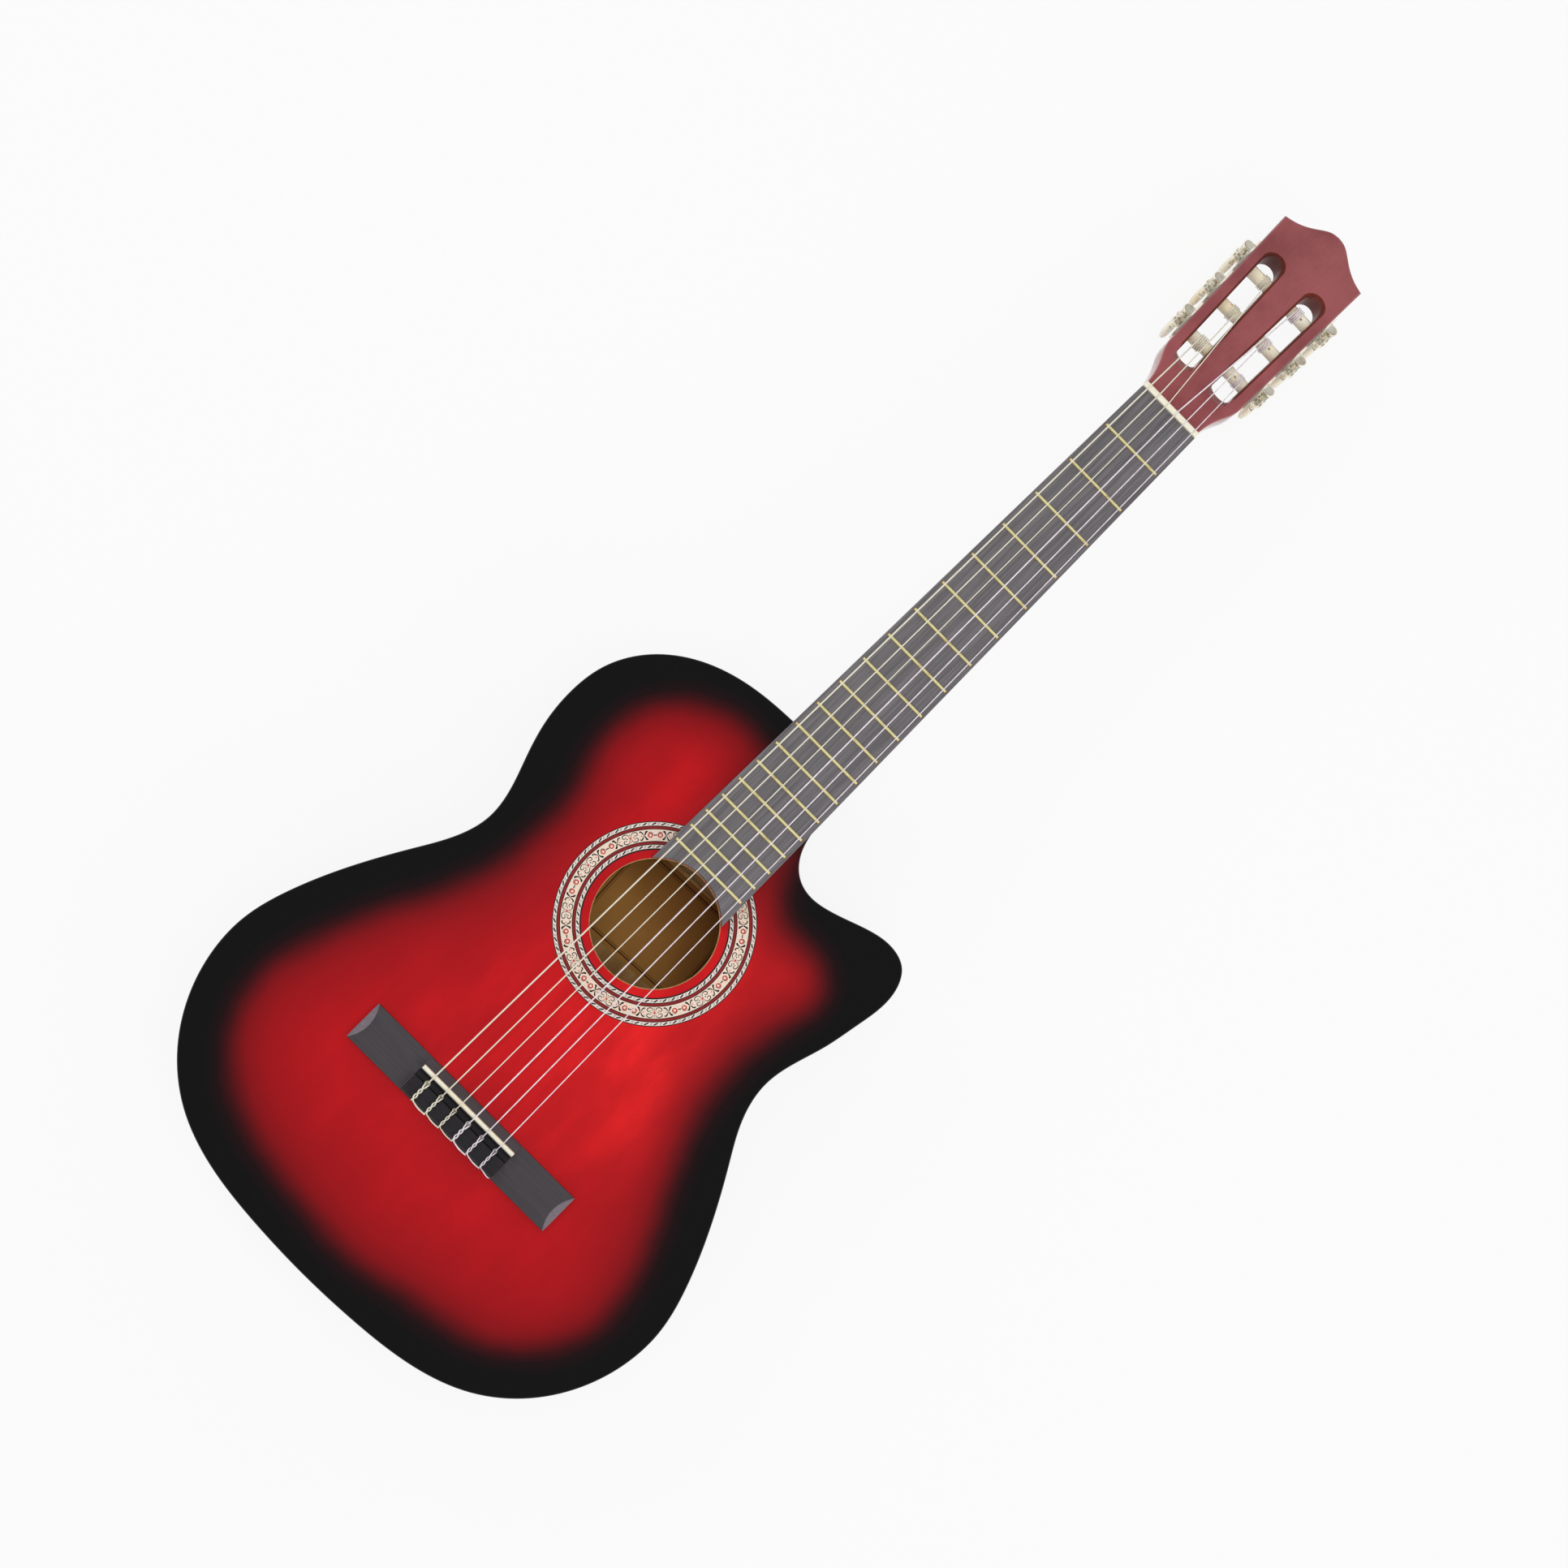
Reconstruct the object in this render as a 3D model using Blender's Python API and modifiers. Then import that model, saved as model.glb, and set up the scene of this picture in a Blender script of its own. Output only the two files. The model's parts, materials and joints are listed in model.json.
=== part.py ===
"""Cutaway nylon-string guitar with a slotted head, as its separate pieces.

Metres, +Z up. The guitar lies on its back. The origin is on the outer face of the
back plate, on the centre line, below the saddle end of the scale. +Y runs along the
strings towards the head, +X towards the treble side with the cutaway, +Z out of
the soundboard.
"""

import math

import bmesh
import bpy
import numpy as np
from mathutils import Matrix, Vector

# Fit between pieces
GAP = 0.0003
RUNNING_GAP = 0.00045
TURN = 2 * math.pi

# Body
SCALE_LENGTH = 0.650
BODY_DEPTH = 0.094
LOWER_BOUT_HALF = 0.1875
WAIST_HALF = 0.1243
UPPER_BOUT_HALF = 0.1453
HORN_HALF = 0.1430
TAIL_Y = -0.144
NECK_JOINT_FRET = 12
NECK_JOINT_PAST_FRET = 0.0010
CUTAWAY_WALL_X = 0.0295
TOP_THICK = 0.0028
BACK_THICK = 0.0030
SIDE_THICK = 0.0024
LINING_THICK = 0.0055
LINING_HEIGHT = 0.014
NECK_BLOCK_HALF = 0.0262
NECK_BLOCK_LENGTH = 0.038
TAIL_BLOCK_LENGTH = 0.016
OUTLINE_STEPS = 2

# Soundhole and rosette
LAST_FRET_TO_HOLE = 0.0484
HOLE_RADIUS = 0.042
ROSETTE_INNER = 0.0477
ROSETTE_OUTER = 0.0663
ROSETTE_THICK = 0.0008
HOLE_STEPS = 48
LABEL_WIDTH = 0.100
LABEL_LENGTH = 0.072
LABEL_THICK = 0.0003

# Braces
HARMONIC_BAR_BELOW_HOLE = 0.052
HARMONIC_BAR_ABOVE_HOLE = 0.062
HARMONIC_BAR_HEIGHT = 0.017
HARMONIC_BAR_WIDTH = 0.007
FAN_STRUTS = 5
FAN_SPACING = 0.034
FAN_SPREAD = math.radians(7)
FAN_STRUT_LENGTH = 0.190
FAN_STRUT_HEIGHT = 0.0055
FAN_STRUT_WIDTH = 0.0055
FAN_TO_BAR = 0.0060
FAN_STAGGER = 0.0020
BACK_BAR_HEIGHT = 0.013
BACK_BAR_WIDTH = 0.008
BACK_BAR_ABOVE_HOLE = 0.0465
BACK_BAR_BELOW_HOLE = 0.1485
BAR_TOE_LENGTH = 0.022

# Neck and fingerboard
BOARD_THICK = 0.007
BOARD_NUT_HALF = 0.02475
BOARD_TAPER = 0.0154
BOARD_HOLE_MARGIN = 0.0007
BOARD_END_STEPS = 12
FRET_COUNT = 19
FRET_HEIGHT = 0.0010
FRET_WIDTH = 0.0023
FRET_INSET = 0.0015
FRET_TANG = 0.0009
SHAFT_DEPTH_NUT = 0.0150
SHAFT_DEPTH_HEEL = 0.0175
SHAFT_UNDERCUT = 0.0004
HEEL_LENGTH = 0.050
HEEL_BACK_MARGIN = 0.002
SHAFT_INTO_HEAD = 0.018

# Nut, saddle and bridge; heights are measured from the soundboard
NUT_THICK = 0.0047
NUT_HEIGHT = 0.0095
NUT_SLOT_DEPTH = 0.0009
BRIDGE_HALF = 0.088
BRIDGE_REAR_Y = -0.0198
BRIDGE_FRONT_Y = 0.0088
BRIDGE_CENTRE_HALF = 0.0405
BRIDGE_WING_HEIGHT = 0.0045
BRIDGE_TIP_HEIGHT = 0.0026
BRIDGE_TIP_LENGTH = 0.0058
BRIDGE_EDGE_HEIGHT = 0.0034
SADDLE_REGION_HEIGHT = 0.0085
TIE_GROOVE_HEIGHT = 0.0042
TIE_BLOCK_HEIGHT = 0.0098
TIE_BLOCK_FRONT_Y = -0.0062
TIE_BLOCK_REAR_Y = -0.0178
TIE_HOLE_HEIGHT = 0.0062
SADDLE_HALF = 0.0400
SADDLE_THICK = 0.0030
SADDLE_Y = 0.0015
SADDLE_HEIGHT = 0.0132
SADDLE_SLOT_DEPTH = 0.0032

# Head; its own frame has x across, s along the head and n out of its face
HEAD_TILT = math.radians(12.5)
HEAD_RISE = 0.0015
HEAD_THICK = 0.017
HEAD_TAPER = math.radians(1.75)
HEAD_SIDE_FROM = 0.036
HEAD_SIDE_TO = 0.173
HEAD_SIDE_HALF = 0.0335
HEAD_TIP = 0.192
SLOT_WIDTH = 0.016
SLOT_INBOARD = 0.017
SLOT_FROM = 0.0345
SLOT_TO = 0.1444
SLOT_RAMP_LENGTH = 0.0072
SLOT_RAMP_DEPTH = 0.0115
SLOT_END_STEPS = 6

# Tuning machines; each frame sits on the head's side face, on the roller's axis
ROLLER_FIRST = 0.0565
ROLLER_SPACING = 0.035
ROLLER_RADIUS = 0.00475
ROLLER_REACH = 0.0292
JOURNAL_RADIUS = 0.0021
PLATE_THICK = 0.0012
PLATE_HALF = 0.0042
PLATE_LOBE_HALF = 0.0080
PLATE_END = 0.018
SCREW_HEAD_RADIUS = 0.0020
GEAR_TEETH = 14
GEAR_TIP_RADIUS = 0.0072
GEAR_ROOT_RADIUS = 0.0056
GEAR_PITCH_RADIUS = 0.0066
GEAR_WIDTH = 0.0030
GEAR_OUT = 0.0050
CENTRE_DISTANCE = 0.0090
WORM_CREST_RADIUS = 0.0030
WORM_ROOT_RADIUS = 0.0016
WORM_HALF_LENGTH = 0.0045
SHAFT_RADIUS = 0.0013
TAB_FROM = 0.0055
TAB_FRONT_THICK = 0.0023
TAB_REAR_THICK = 0.0011
TAB_HALF = 0.0036
BUTTON_FROM = 0.0103
BUTTON_LENGTH = 0.0230
BUTTON_GRIP = 0.0045
BUTTON_HALF_WIDTH = 0.0080
BUTTON_HALF_THICK = 0.0037

# Strap button at the tail
STRAP_NECK_RADIUS = 0.00345
STRAP_FLANGE_RADIUS = 0.00635
STRAP_LENGTH = 0.0066

# Strings, from the thin treble one to the thick bass one
STRING_SPACING_SADDLE = 0.0121
STRING_SPACING_NUT = 0.0084
STRING_DIAMETERS = (0.00071, 0.00082, 0.00102, 0.00074, 0.00089, 0.00109)
STRING_SADDLE_LIFT = 0.0003
TIE_STRAND_GAP = 0.00058
TIE_TWIST_TURNS = 1.25
TIE_TWIST_STEPS = 10
WIND_TURNS = 3.2
WIND_STEPS = 11
WIND_SELF_GAP = 0.00046
# For each string: the roller counted from the nut, the distance inboard of the
# head's side where the string reaches it, and the way its turns go from there.
STRING_ROLLERS = (
    (0, 0.0130, -1),
    (1, 0.0219, 1),
    (2, 0.0221, 1),
    (2, 0.0225, 1),
    (1, 0.0208, 1),
    (0, 0.0146, -1),
)

def fret_y(number):
    """Place of a fret along the strings, by the rule of twelve to the octave."""
    return SCALE_LENGTH * 2 ** (-number / 12)


# Values that follow from those above
NECK_JOINT_Y = fret_y(NECK_JOINT_FRET) + NECK_JOINT_PAST_FRET
HOLE_Y = fret_y(FRET_COUNT) - LAST_FRET_TO_HOLE
TOP_Z = BODY_DEPTH
TOP_UNDERSIDE_Z = BODY_DEPTH - TOP_THICK
SIDE_TOP_Z = TOP_UNDERSIDE_Z - GAP
SIDE_BOTTOM_Z = BACK_THICK + GAP
BOARD_TOP_Z = TOP_Z + GAP + BOARD_THICK
HEAD_START_Y = SCALE_LENGTH + NUT_THICK + GAP
WORM_LEAD = TURN * GEAR_PITCH_RADIUS / GEAR_TEETH
HEAD_FRAME = Matrix.Translation((0, HEAD_START_Y, TOP_Z + HEAD_RISE)) @ Matrix.Rotation(-HEAD_TILT, 4, "X")
# Turns a piece drawn in the X-Y plane so that its thickness runs along +X.
THICKNESS_TO_X = Matrix(((0, 0, 1, 0), (1, 0, 0, 0), (0, 1, 0, 0), (0, 0, 0, 1)))


def clear_scene():
    for obj in list(bpy.data.objects):
        bpy.data.objects.remove(obj)


def finish(name, colour, roughness, metallic=0.0):
    material = bpy.data.materials.new(name)
    material.use_nodes = True
    shader = material.node_tree.nodes["Principled BSDF"]
    shader.inputs["Base Color"].default_value = (*colour, 1.0)
    shader.inputs["Roughness"].default_value = roughness
    shader.inputs["Metallic"].default_value = metallic
    return material


clear_scene()
PARTS = bpy.data.collections.new("cutaway_guitar")
CUTTERS = bpy.data.collections.new("cutters")
for collection in (PARTS, CUTTERS):
    bpy.context.scene.collection.children.link(collection)
CUTTERS.hide_render = True

RED_TOP = finish("red_burst_lacquer", (0.55, 0.01, 0.015), 0.15)
BLACK_LACQUER = finish("black_lacquer", (0.01, 0.01, 0.01), 0.12)
WINE_LACQUER = finish("wine_red_lacquer", (0.24, 0.06, 0.07), 0.2)
DARK_WOOD = finish("dark_fingerboard_wood", (0.09, 0.085, 0.085), 0.55)
BARE_WOOD = finish("bare_spruce", (0.62, 0.43, 0.24), 0.7)
BONE = finish("cream_bone", (0.87, 0.82, 0.66), 0.35)
NICKEL = finish("nickel_plate", (0.75, 0.73, 0.70), 0.2, 1.0)
BRASS = finish("brass", (0.83, 0.66, 0.32), 0.25, 1.0)
PAPER = finish("paper", (0.72, 0.60, 0.40), 0.8)
INLAY = finish("rosette_inlay", (0.85, 0.76, 0.66), 0.3)
NYLON = finish("clear_nylon", (0.85, 0.83, 0.82), 0.15)
WOUND = finish("wound_string", (0.78, 0.72, 0.58), 0.3, 1.0)


def add(name, mesh, material, parent=None, location=(0, 0, 0), turn=0.0):
    """One named piece, placed by its location and its turn about the parent's Z."""
    obj = bpy.data.objects.new(name, mesh)
    obj.parent = parent
    obj.location = location
    obj.rotation_euler = (0, 0, turn)
    if not mesh.materials:
        mesh.materials.append(material)
    if isinstance(mesh, bpy.types.Mesh):
        mesh.shade_smooth()
        mesh.set_sharp_from_angle(angle=math.radians(35))
    PARTS.objects.link(obj)
    return obj


def add_frame(name, matrix):
    frame = bpy.data.objects.new(name, None)
    frame.empty_display_size = 0.01
    frame.matrix_world = matrix
    PARTS.objects.link(frame)
    return frame


def tidy(mesh):
    """Welds doubled points and turns the faces out."""
    work = bmesh.new()
    work.from_mesh(mesh)
    bmesh.ops.remove_doubles(work, verts=work.verts, dist=1e-6)
    bmesh.ops.recalc_face_normals(work, faces=work.faces)
    work.to_mesh(mesh)
    work.free()
    return mesh


def evaluated(data, modify=None):
    """The mesh of a curve or a mesh, after the modifiers that modify() adds."""
    holder = bpy.data.objects.new("holder", data)
    bpy.context.scene.collection.objects.link(holder)
    if modify:
        modify(holder)
    bpy.context.view_layer.update()
    graph = bpy.context.evaluated_depsgraph_get()
    mesh = bpy.data.meshes.new_from_object(holder.evaluated_get(graph))
    bpy.data.objects.remove(holder)
    return mesh


def flat_mesh(loops, low, high):
    """A flat piece between two heights; a loop inside the first one is a hole."""
    curve = bpy.data.curves.new("outline", "CURVE")
    curve.dimensions = "2D"
    curve.fill_mode = "BOTH"
    curve.extrude = (high - low) / 2
    for loop in loops:
        spline = curve.splines.new("POLY")
        spline.points.add(len(loop) - 1)
        for point, (x, y) in zip(spline.points, loop):
            point.co = (x, y, 0, 1)
        spline.use_cyclic_u = True
    mesh = evaluated(curve)
    mesh.transform(Matrix.Translation((0, 0, (low + high) / 2)))
    return tidy(mesh)


def turned_mesh(profile, steps):
    """A solid of revolution about Z, from (radius, height) points that start and end on the axis."""
    line = bpy.data.meshes.new("profile")
    points = [(radius, 0, height) for radius, height in profile]
    line.from_pydata(points, [(i, i + 1) for i in range(len(points) - 1)], [])

    def spin(holder):
        screw = holder.modifiers.new("spin", "SCREW")
        screw.axis = "Z"
        screw.steps = steps
        screw.render_steps = steps
        screw.use_merge_vertices = True
        screw.merge_threshold = 1e-6

    return tidy(evaluated(line, spin))


def lofted_mesh(rings):
    """A closed skin over rings of equally many points, with a flat cap on each end."""
    count = len(rings[0])
    points = [tuple(point) for ring in rings for point in ring]
    faces = [tuple(range(count)), tuple(range(len(points) - count, len(points)))]
    for ring in range(len(rings) - 1):
        start = ring * count
        for i in range(count):
            j = (i + 1) % count
            faces.append((start + i, start + j, start + count + j, start + count + i))
    mesh = bpy.data.meshes.new("loft")
    mesh.from_pydata(points, [], faces)
    return tidy(mesh)


def joined(meshes):
    """Several solids that don't meet, as one mesh for a single Boolean."""
    work = bmesh.new()
    for mesh in meshes:
        work.from_mesh(mesh)
    result = bpy.data.meshes.new("joined")
    work.to_mesh(result)
    work.free()
    return result


def placed(mesh, matrix):
    result = mesh.copy()
    result.transform(matrix)
    return result


def combined(mesh, tool_mesh, operation):
    """The mesh after one exact Boolean with the tool."""
    tool = bpy.data.objects.new("tool", tool_mesh)
    tool.hide_render = True
    tool.display_type = "WIRE"
    CUTTERS.objects.link(tool)

    def apply(holder):
        boolean = holder.modifiers.new(operation.lower(), "BOOLEAN")
        boolean.operation = operation
        boolean.solver = "EXACT"
        boolean.object = tool

    result = evaluated(mesh, apply)
    bpy.data.objects.remove(tool)
    return tidy(result)


def united(mesh, tool_mesh):
    return combined(mesh, tool_mesh, "UNION")


def cut(mesh, tool_mesh):
    return combined(mesh, tool_mesh, "DIFFERENCE")


def box_mesh(low, high):
    work = bmesh.new()
    size = [b - a for a, b in zip(low, high)]
    centre = [(a + b) / 2 for a, b in zip(low, high)]
    bmesh.ops.create_cube(work, size=1.0, matrix=Matrix.Translation(centre) @ Matrix.Diagonal((*size, 1)))
    mesh = bpy.data.meshes.new("box")
    work.to_mesh(mesh)
    work.free()
    return mesh


def rod_mesh(radius, start, end, steps):
    """A round rod between two points."""
    start, end = Vector(start), Vector(end)
    direction = end - start
    place = Matrix.Translation((start + end) / 2) @ direction.to_track_quat("Z", "Y").to_matrix().to_4x4()
    work = bmesh.new()
    bmesh.ops.create_cone(
        work,
        cap_ends=True,
        segments=steps,
        radius1=radius,
        radius2=radius,
        depth=direction.length,
        matrix=place,
    )
    mesh = bpy.data.meshes.new("rod")
    work.to_mesh(mesh)
    work.free()
    return mesh


def circle(x, y, radius, steps):
    angles = [TURN * i / steps for i in range(steps)]
    return [(x + radius * math.cos(angle), y + radius * math.sin(angle)) for angle in angles]


def smooth_through(points, per_span):
    """Points along the natural cubic curve through the given ones."""
    knots = np.array(points, float)
    spans = np.linalg.norm(np.diff(knots, axis=0), axis=1)
    count = len(knots)
    system = np.zeros((count, count))
    right = np.zeros_like(knots)
    system[0, 0] = system[-1, -1] = 1.0
    for i in range(1, count - 1):
        before, after = spans[i - 1], spans[i]
        system[i, i - 1 : i + 2] = before, 2 * (before + after), after
        right[i] = 6 * ((knots[i + 1] - knots[i]) / after - (knots[i] - knots[i - 1]) / before)
    bends = np.linalg.solve(system, right)
    result = []
    for i in range(count - 1):
        for step in range(per_span):
            f = step / per_span
            g = 1 - f
            bend = (g**3 - g) * bends[i] + (f**3 - f) * bends[i + 1]
            result.append(g * knots[i] + f * knots[i + 1] + bend * spans[i] ** 2 / 6)
    result.append(knots[-1])
    return [tuple(float(value) for value in point) for point in result]


def body_outline():
    """The body's outline, from the neck joint round the bass side, the tail and the cutaway.

    Each point has its place across the body and its share of the body's length
    from the tail.
    """
    low, waist, high, horn = LOWER_BOUT_HALF, WAIST_HALF, UPPER_BOUT_HALF, HORN_HALF
    length = NECK_JOINT_Y - TAIL_Y
    lower_bout = [
        (1.046 * waist, 0.5596),
        (0.768 * low, 0.5043),
        (0.875 * low, 0.4255),
        (0.960 * low, 0.3447),
        (low, 0.2766),
        (0.997 * low, 0.2298),
        (0.949 * low, 0.1617),
        (0.843 * low, 0.0957),
        (0.683 * low, 0.0447),
        (0.480 * low, 0.0157),
        (0.240 * low, 0.0034),
    ]
    bass = [
        (0.0, 1.0),
        (0.206 * high, 0.9989),
        (0.482 * high, 0.9894),
        (0.716 * high, 0.9617),
        (0.888 * high, 0.9160),
        (0.977 * high, 0.8638),
        (high, 0.8043),
        (0.981 * high, 0.7532),
        (0.931 * high, 0.7021),
        (1.021 * waist, 0.6511),
        (waist, 0.6064),
    ]
    treble = [
        (waist, 0.6191),
        (1.030 * waist, 0.6638),
        (0.944 * horn, 0.7128),
        (0.977 * horn, 0.7617),
        (horn, 0.8085),
        (0.988 * horn, 0.8404),
        (0.938 * horn, 0.8649),
        (0.839 * horn, 0.8749),
        (0.727 * horn, 0.8702),
        (0.615 * horn, 0.8585),
        (0.503 * horn, 0.8474),
        (0.406 * horn, 0.8438),
        (0.320 * horn, 0.8517),
        (0.252 * horn, 0.8734),
        (1.041 * CUTAWAY_WALL_X, 0.9085),
        (CUTAWAY_WALL_X, 0.9511),
    ]
    knots = [(-x, share) for x, share in bass + lower_bout] + [(0.0, 0.0)] + lower_bout[::-1] + treble
    path = smooth_through([(x, TAIL_Y + length * share) for x, share in knots], OUTLINE_STEPS)
    tail_index = OUTLINE_STEPS * len(bass + lower_bout)
    return path + [(CUTAWAY_WALL_X, NECK_JOINT_Y)], tail_index


def inset(loop, distance):
    """The closed loop moved inwards by a distance; the loop runs anticlockwise."""
    points = np.array(loop)
    along = np.roll(points, -1, axis=0) - points
    along /= np.linalg.norm(along, axis=1)[:, None]
    after = np.stack([-along[:, 1], along[:, 0]], axis=1)
    before = np.roll(after, 1, axis=0)
    shift = (before + after) / (1 + (before * after).sum(axis=1))[:, None]
    return [(float(x), float(y)) for x, y in points + distance * shift]


OUTLINE, TAIL_INDEX = body_outline()
LAST_INDEX = len(OUTLINE)


def strip(outer, inner, indices):
    """A closed loop along the outer path and back along the inner one."""
    return [outer[i % LAST_INDEX] for i in indices] + [inner[i % LAST_INDEX] for i in reversed(indices)]


def soundboard():
    """Spruce plate with the soundhole and a shallow recess for the rosette."""
    hole = circle(0, HOLE_Y, HOLE_RADIUS, HOLE_STEPS)
    plate = flat_mesh([OUTLINE, hole], TOP_UNDERSIDE_Z, TOP_Z)
    recess = flat_mesh(
        [
            circle(0, HOLE_Y, ROSETTE_OUTER + GAP, HOLE_STEPS),
            circle(0, HOLE_Y, ROSETTE_INNER - GAP, HOLE_STEPS),
        ],
        TOP_Z - ROSETTE_THICK - GAP,
        TOP_Z + TOP_THICK,
    )
    add("soundboard", cut(plate, recess), RED_TOP)
    ring = [circle(0, HOLE_Y, radius, HOLE_STEPS) for radius in (ROSETTE_OUTER, ROSETTE_INNER)]
    add("rosette", flat_mesh(ring, TOP_Z - ROSETTE_THICK, TOP_Z), INLAY)


def back_and_sides():
    """The back plate and the two bent sides, which meet on the centre line."""
    add("back_plate", flat_mesh([OUTLINE], 0, BACK_THICK), BLACK_LACQUER)
    inner = inset(OUTLINE, SIDE_THICK)
    for name, indices, edge in (
        ("bass_side", list(range(0, TAIL_INDEX + 1)), -GAP / 2),
        ("treble_side", list(range(TAIL_INDEX, LAST_INDEX + 1)), GAP / 2),
    ):
        loop = [(edge if abs(x) < GAP else x, y) for x, y in strip(OUTLINE, inner, indices)]
        add(name, flat_mesh([loop], SIDE_BOTTOM_Z, SIDE_TOP_Z), BLACK_LACQUER)


def blocks_and_linings():
    """End blocks inside the body, and the strips that widen the glue edges of the sides."""
    seat = inset(OUTLINE, SIDE_THICK + GAP)
    inside = inset(OUTLINE, SIDE_THICK + GAP + LINING_THICK)
    block_top = TOP_UNDERSIDE_Z - GAP
    block_bottom = BACK_THICK + GAP
    neck_end = NECK_JOINT_Y - SIDE_THICK - GAP
    block = [
        (-NECK_BLOCK_HALF, neck_end - GAP),
        (-NECK_BLOCK_HALF, neck_end - NECK_BLOCK_LENGTH),
        (NECK_BLOCK_HALF, neck_end - NECK_BLOCK_LENGTH),
        (NECK_BLOCK_HALF, neck_end - GAP),
    ]
    add("neck_block", flat_mesh([block], block_bottom, block_top), BARE_WOOD)
    tail_seat = [seat[TAIL_INDEX + i] for i in range(-2, 3)]
    front = TAIL_Y + SIDE_THICK + GAP + TAIL_BLOCK_LENGTH
    tail = tail_seat + [(tail_seat[-1][0], front), (tail_seat[0][0], front)]
    add("tail_block", flat_mesh([tail], block_bottom, block_top), BARE_WOOD)
    bass = [i for i in range(0, TAIL_INDEX - 2) if inside[i][0] < -NECK_BLOCK_HALF - 2 * GAP]
    treble = [i for i in range(TAIL_INDEX + 3, LAST_INDEX - 3) if inside[i][1] < neck_end - NECK_BLOCK_LENGTH]
    for name, indices in (("bass", bass), ("treble", treble)):
        loop = strip(seat, inside, indices)
        add(name + "_top_lining", flat_mesh([loop], block_top - LINING_HEIGHT, block_top), BARE_WOOD)
        add(name + "_back_lining", flat_mesh([loop], block_bottom, block_bottom + LINING_HEIGHT), BARE_WOOD)


def half_width_inside(y, side):
    """Free half width of the body at y, inside the linings, on one side."""
    lining = inset(OUTLINE, SIDE_THICK + 2 * GAP + LINING_THICK)
    reach = []
    for (x0, y0), (x1, y1) in zip(lining, lining[1:]):
        if (y0 - y) * (y1 - y) <= 0 and y0 != y1 and x0 * side > 0:
            reach.append(abs(x0 + (x1 - x0) * (y - y0) / (y1 - y0)))
    return max(reach)


def bar_mesh(left, right, width, height):
    """A brace along X with a ridged top and thinner ends, standing up from z = 0."""
    toe = 0.28
    rings = []
    for x, share in ((left, toe), (left + BAR_TOE_LENGTH, 1.0), (right - BAR_TOE_LENGTH, 1.0), (right, toe)):
        top = height * share
        profile = ((-0.5, 0), (0.5, 0), (0.5, 0.62 * top), (0, top), (-0.5, 0.62 * top))
        rings.append([(x, width * y, z) for y, z in profile])
    return lofted_mesh(rings)


def crossing_bar(y, width, height):
    """A brace that reaches from lining to lining at y."""
    edges = (y - width / 2, y + width / 2)
    left = min(half_width_inside(edge, -1) for edge in edges)
    right = min(half_width_inside(edge, 1) for edge in edges)
    return bar_mesh(-left, right, width, height)


def braces():
    """Harmonic bars and fan struts under the soundboard, and cross bars on the back."""
    hang = Matrix.Translation((0, 0, TOP_UNDERSIDE_Z - GAP)) @ Matrix.Rotation(math.pi, 4, "Y")
    mirror = Matrix.Scale(-1, 4, (1, 0, 0))
    for name, y in (
        ("upper_harmonic_bar", HOLE_Y + HARMONIC_BAR_ABOVE_HOLE),
        ("lower_harmonic_bar", HOLE_Y - HARMONIC_BAR_BELOW_HOLE),
    ):
        mesh = crossing_bar(y, HARMONIC_BAR_WIDTH, HARMONIC_BAR_HEIGHT)
        mesh = tidy(placed(mesh, Matrix.Translation((0, y, 0)) @ hang @ mirror))
        add(name, mesh, BARE_WOOD)
    fan_end_y = HOLE_Y - HARMONIC_BAR_BELOW_HOLE - HARMONIC_BAR_WIDTH / 2 - FAN_TO_BAR
    strut = bar_mesh(-FAN_STRUT_LENGTH / 2, FAN_STRUT_LENGTH / 2, FAN_STRUT_WIDTH, FAN_STRUT_HEIGHT)
    for i in range(FAN_STRUTS):
        rank = i - (FAN_STRUTS - 1) / 2
        angle = rank * FAN_SPREAD
        reach = FAN_STRUT_LENGTH / 2 * math.cos(angle)
        spot = (rank * FAN_SPACING, fan_end_y - reach - abs(rank) * FAN_STAGGER, 0)
        place = Matrix.Translation(spot) @ Matrix.Rotation(math.pi / 2 + angle, 4, "Z") @ hang
        add(f"fan_strut_{i + 1}", placed(strut, place), BARE_WOOD)
    for name, y in (
        ("upper_back_bar", HOLE_Y + BACK_BAR_ABOVE_HOLE),
        ("lower_back_bar", HOLE_Y - BACK_BAR_BELOW_HOLE),
    ):
        mesh = crossing_bar(y, BACK_BAR_WIDTH, BACK_BAR_HEIGHT)
        add(name, placed(mesh, Matrix.Translation((0, y, BACK_THICK + GAP))), BARE_WOOD)


def label():
    """Plain paper label on the back, seen through the soundhole."""
    half, length = LABEL_WIDTH / 2, LABEL_LENGTH / 2
    near, far = HOLE_Y - length, HOLE_Y + length
    loop = [(-half, near), (half, near), (half, far), (-half, far)]
    bottom = BACK_THICK + GAP
    add("label", flat_mesh([loop], bottom, bottom + LABEL_THICK), PAPER)


def board_half(y):
    """Half width of the fingerboard at y."""
    return BOARD_NUT_HALF + (SCALE_LENGTH - y) * BOARD_TAPER


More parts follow.
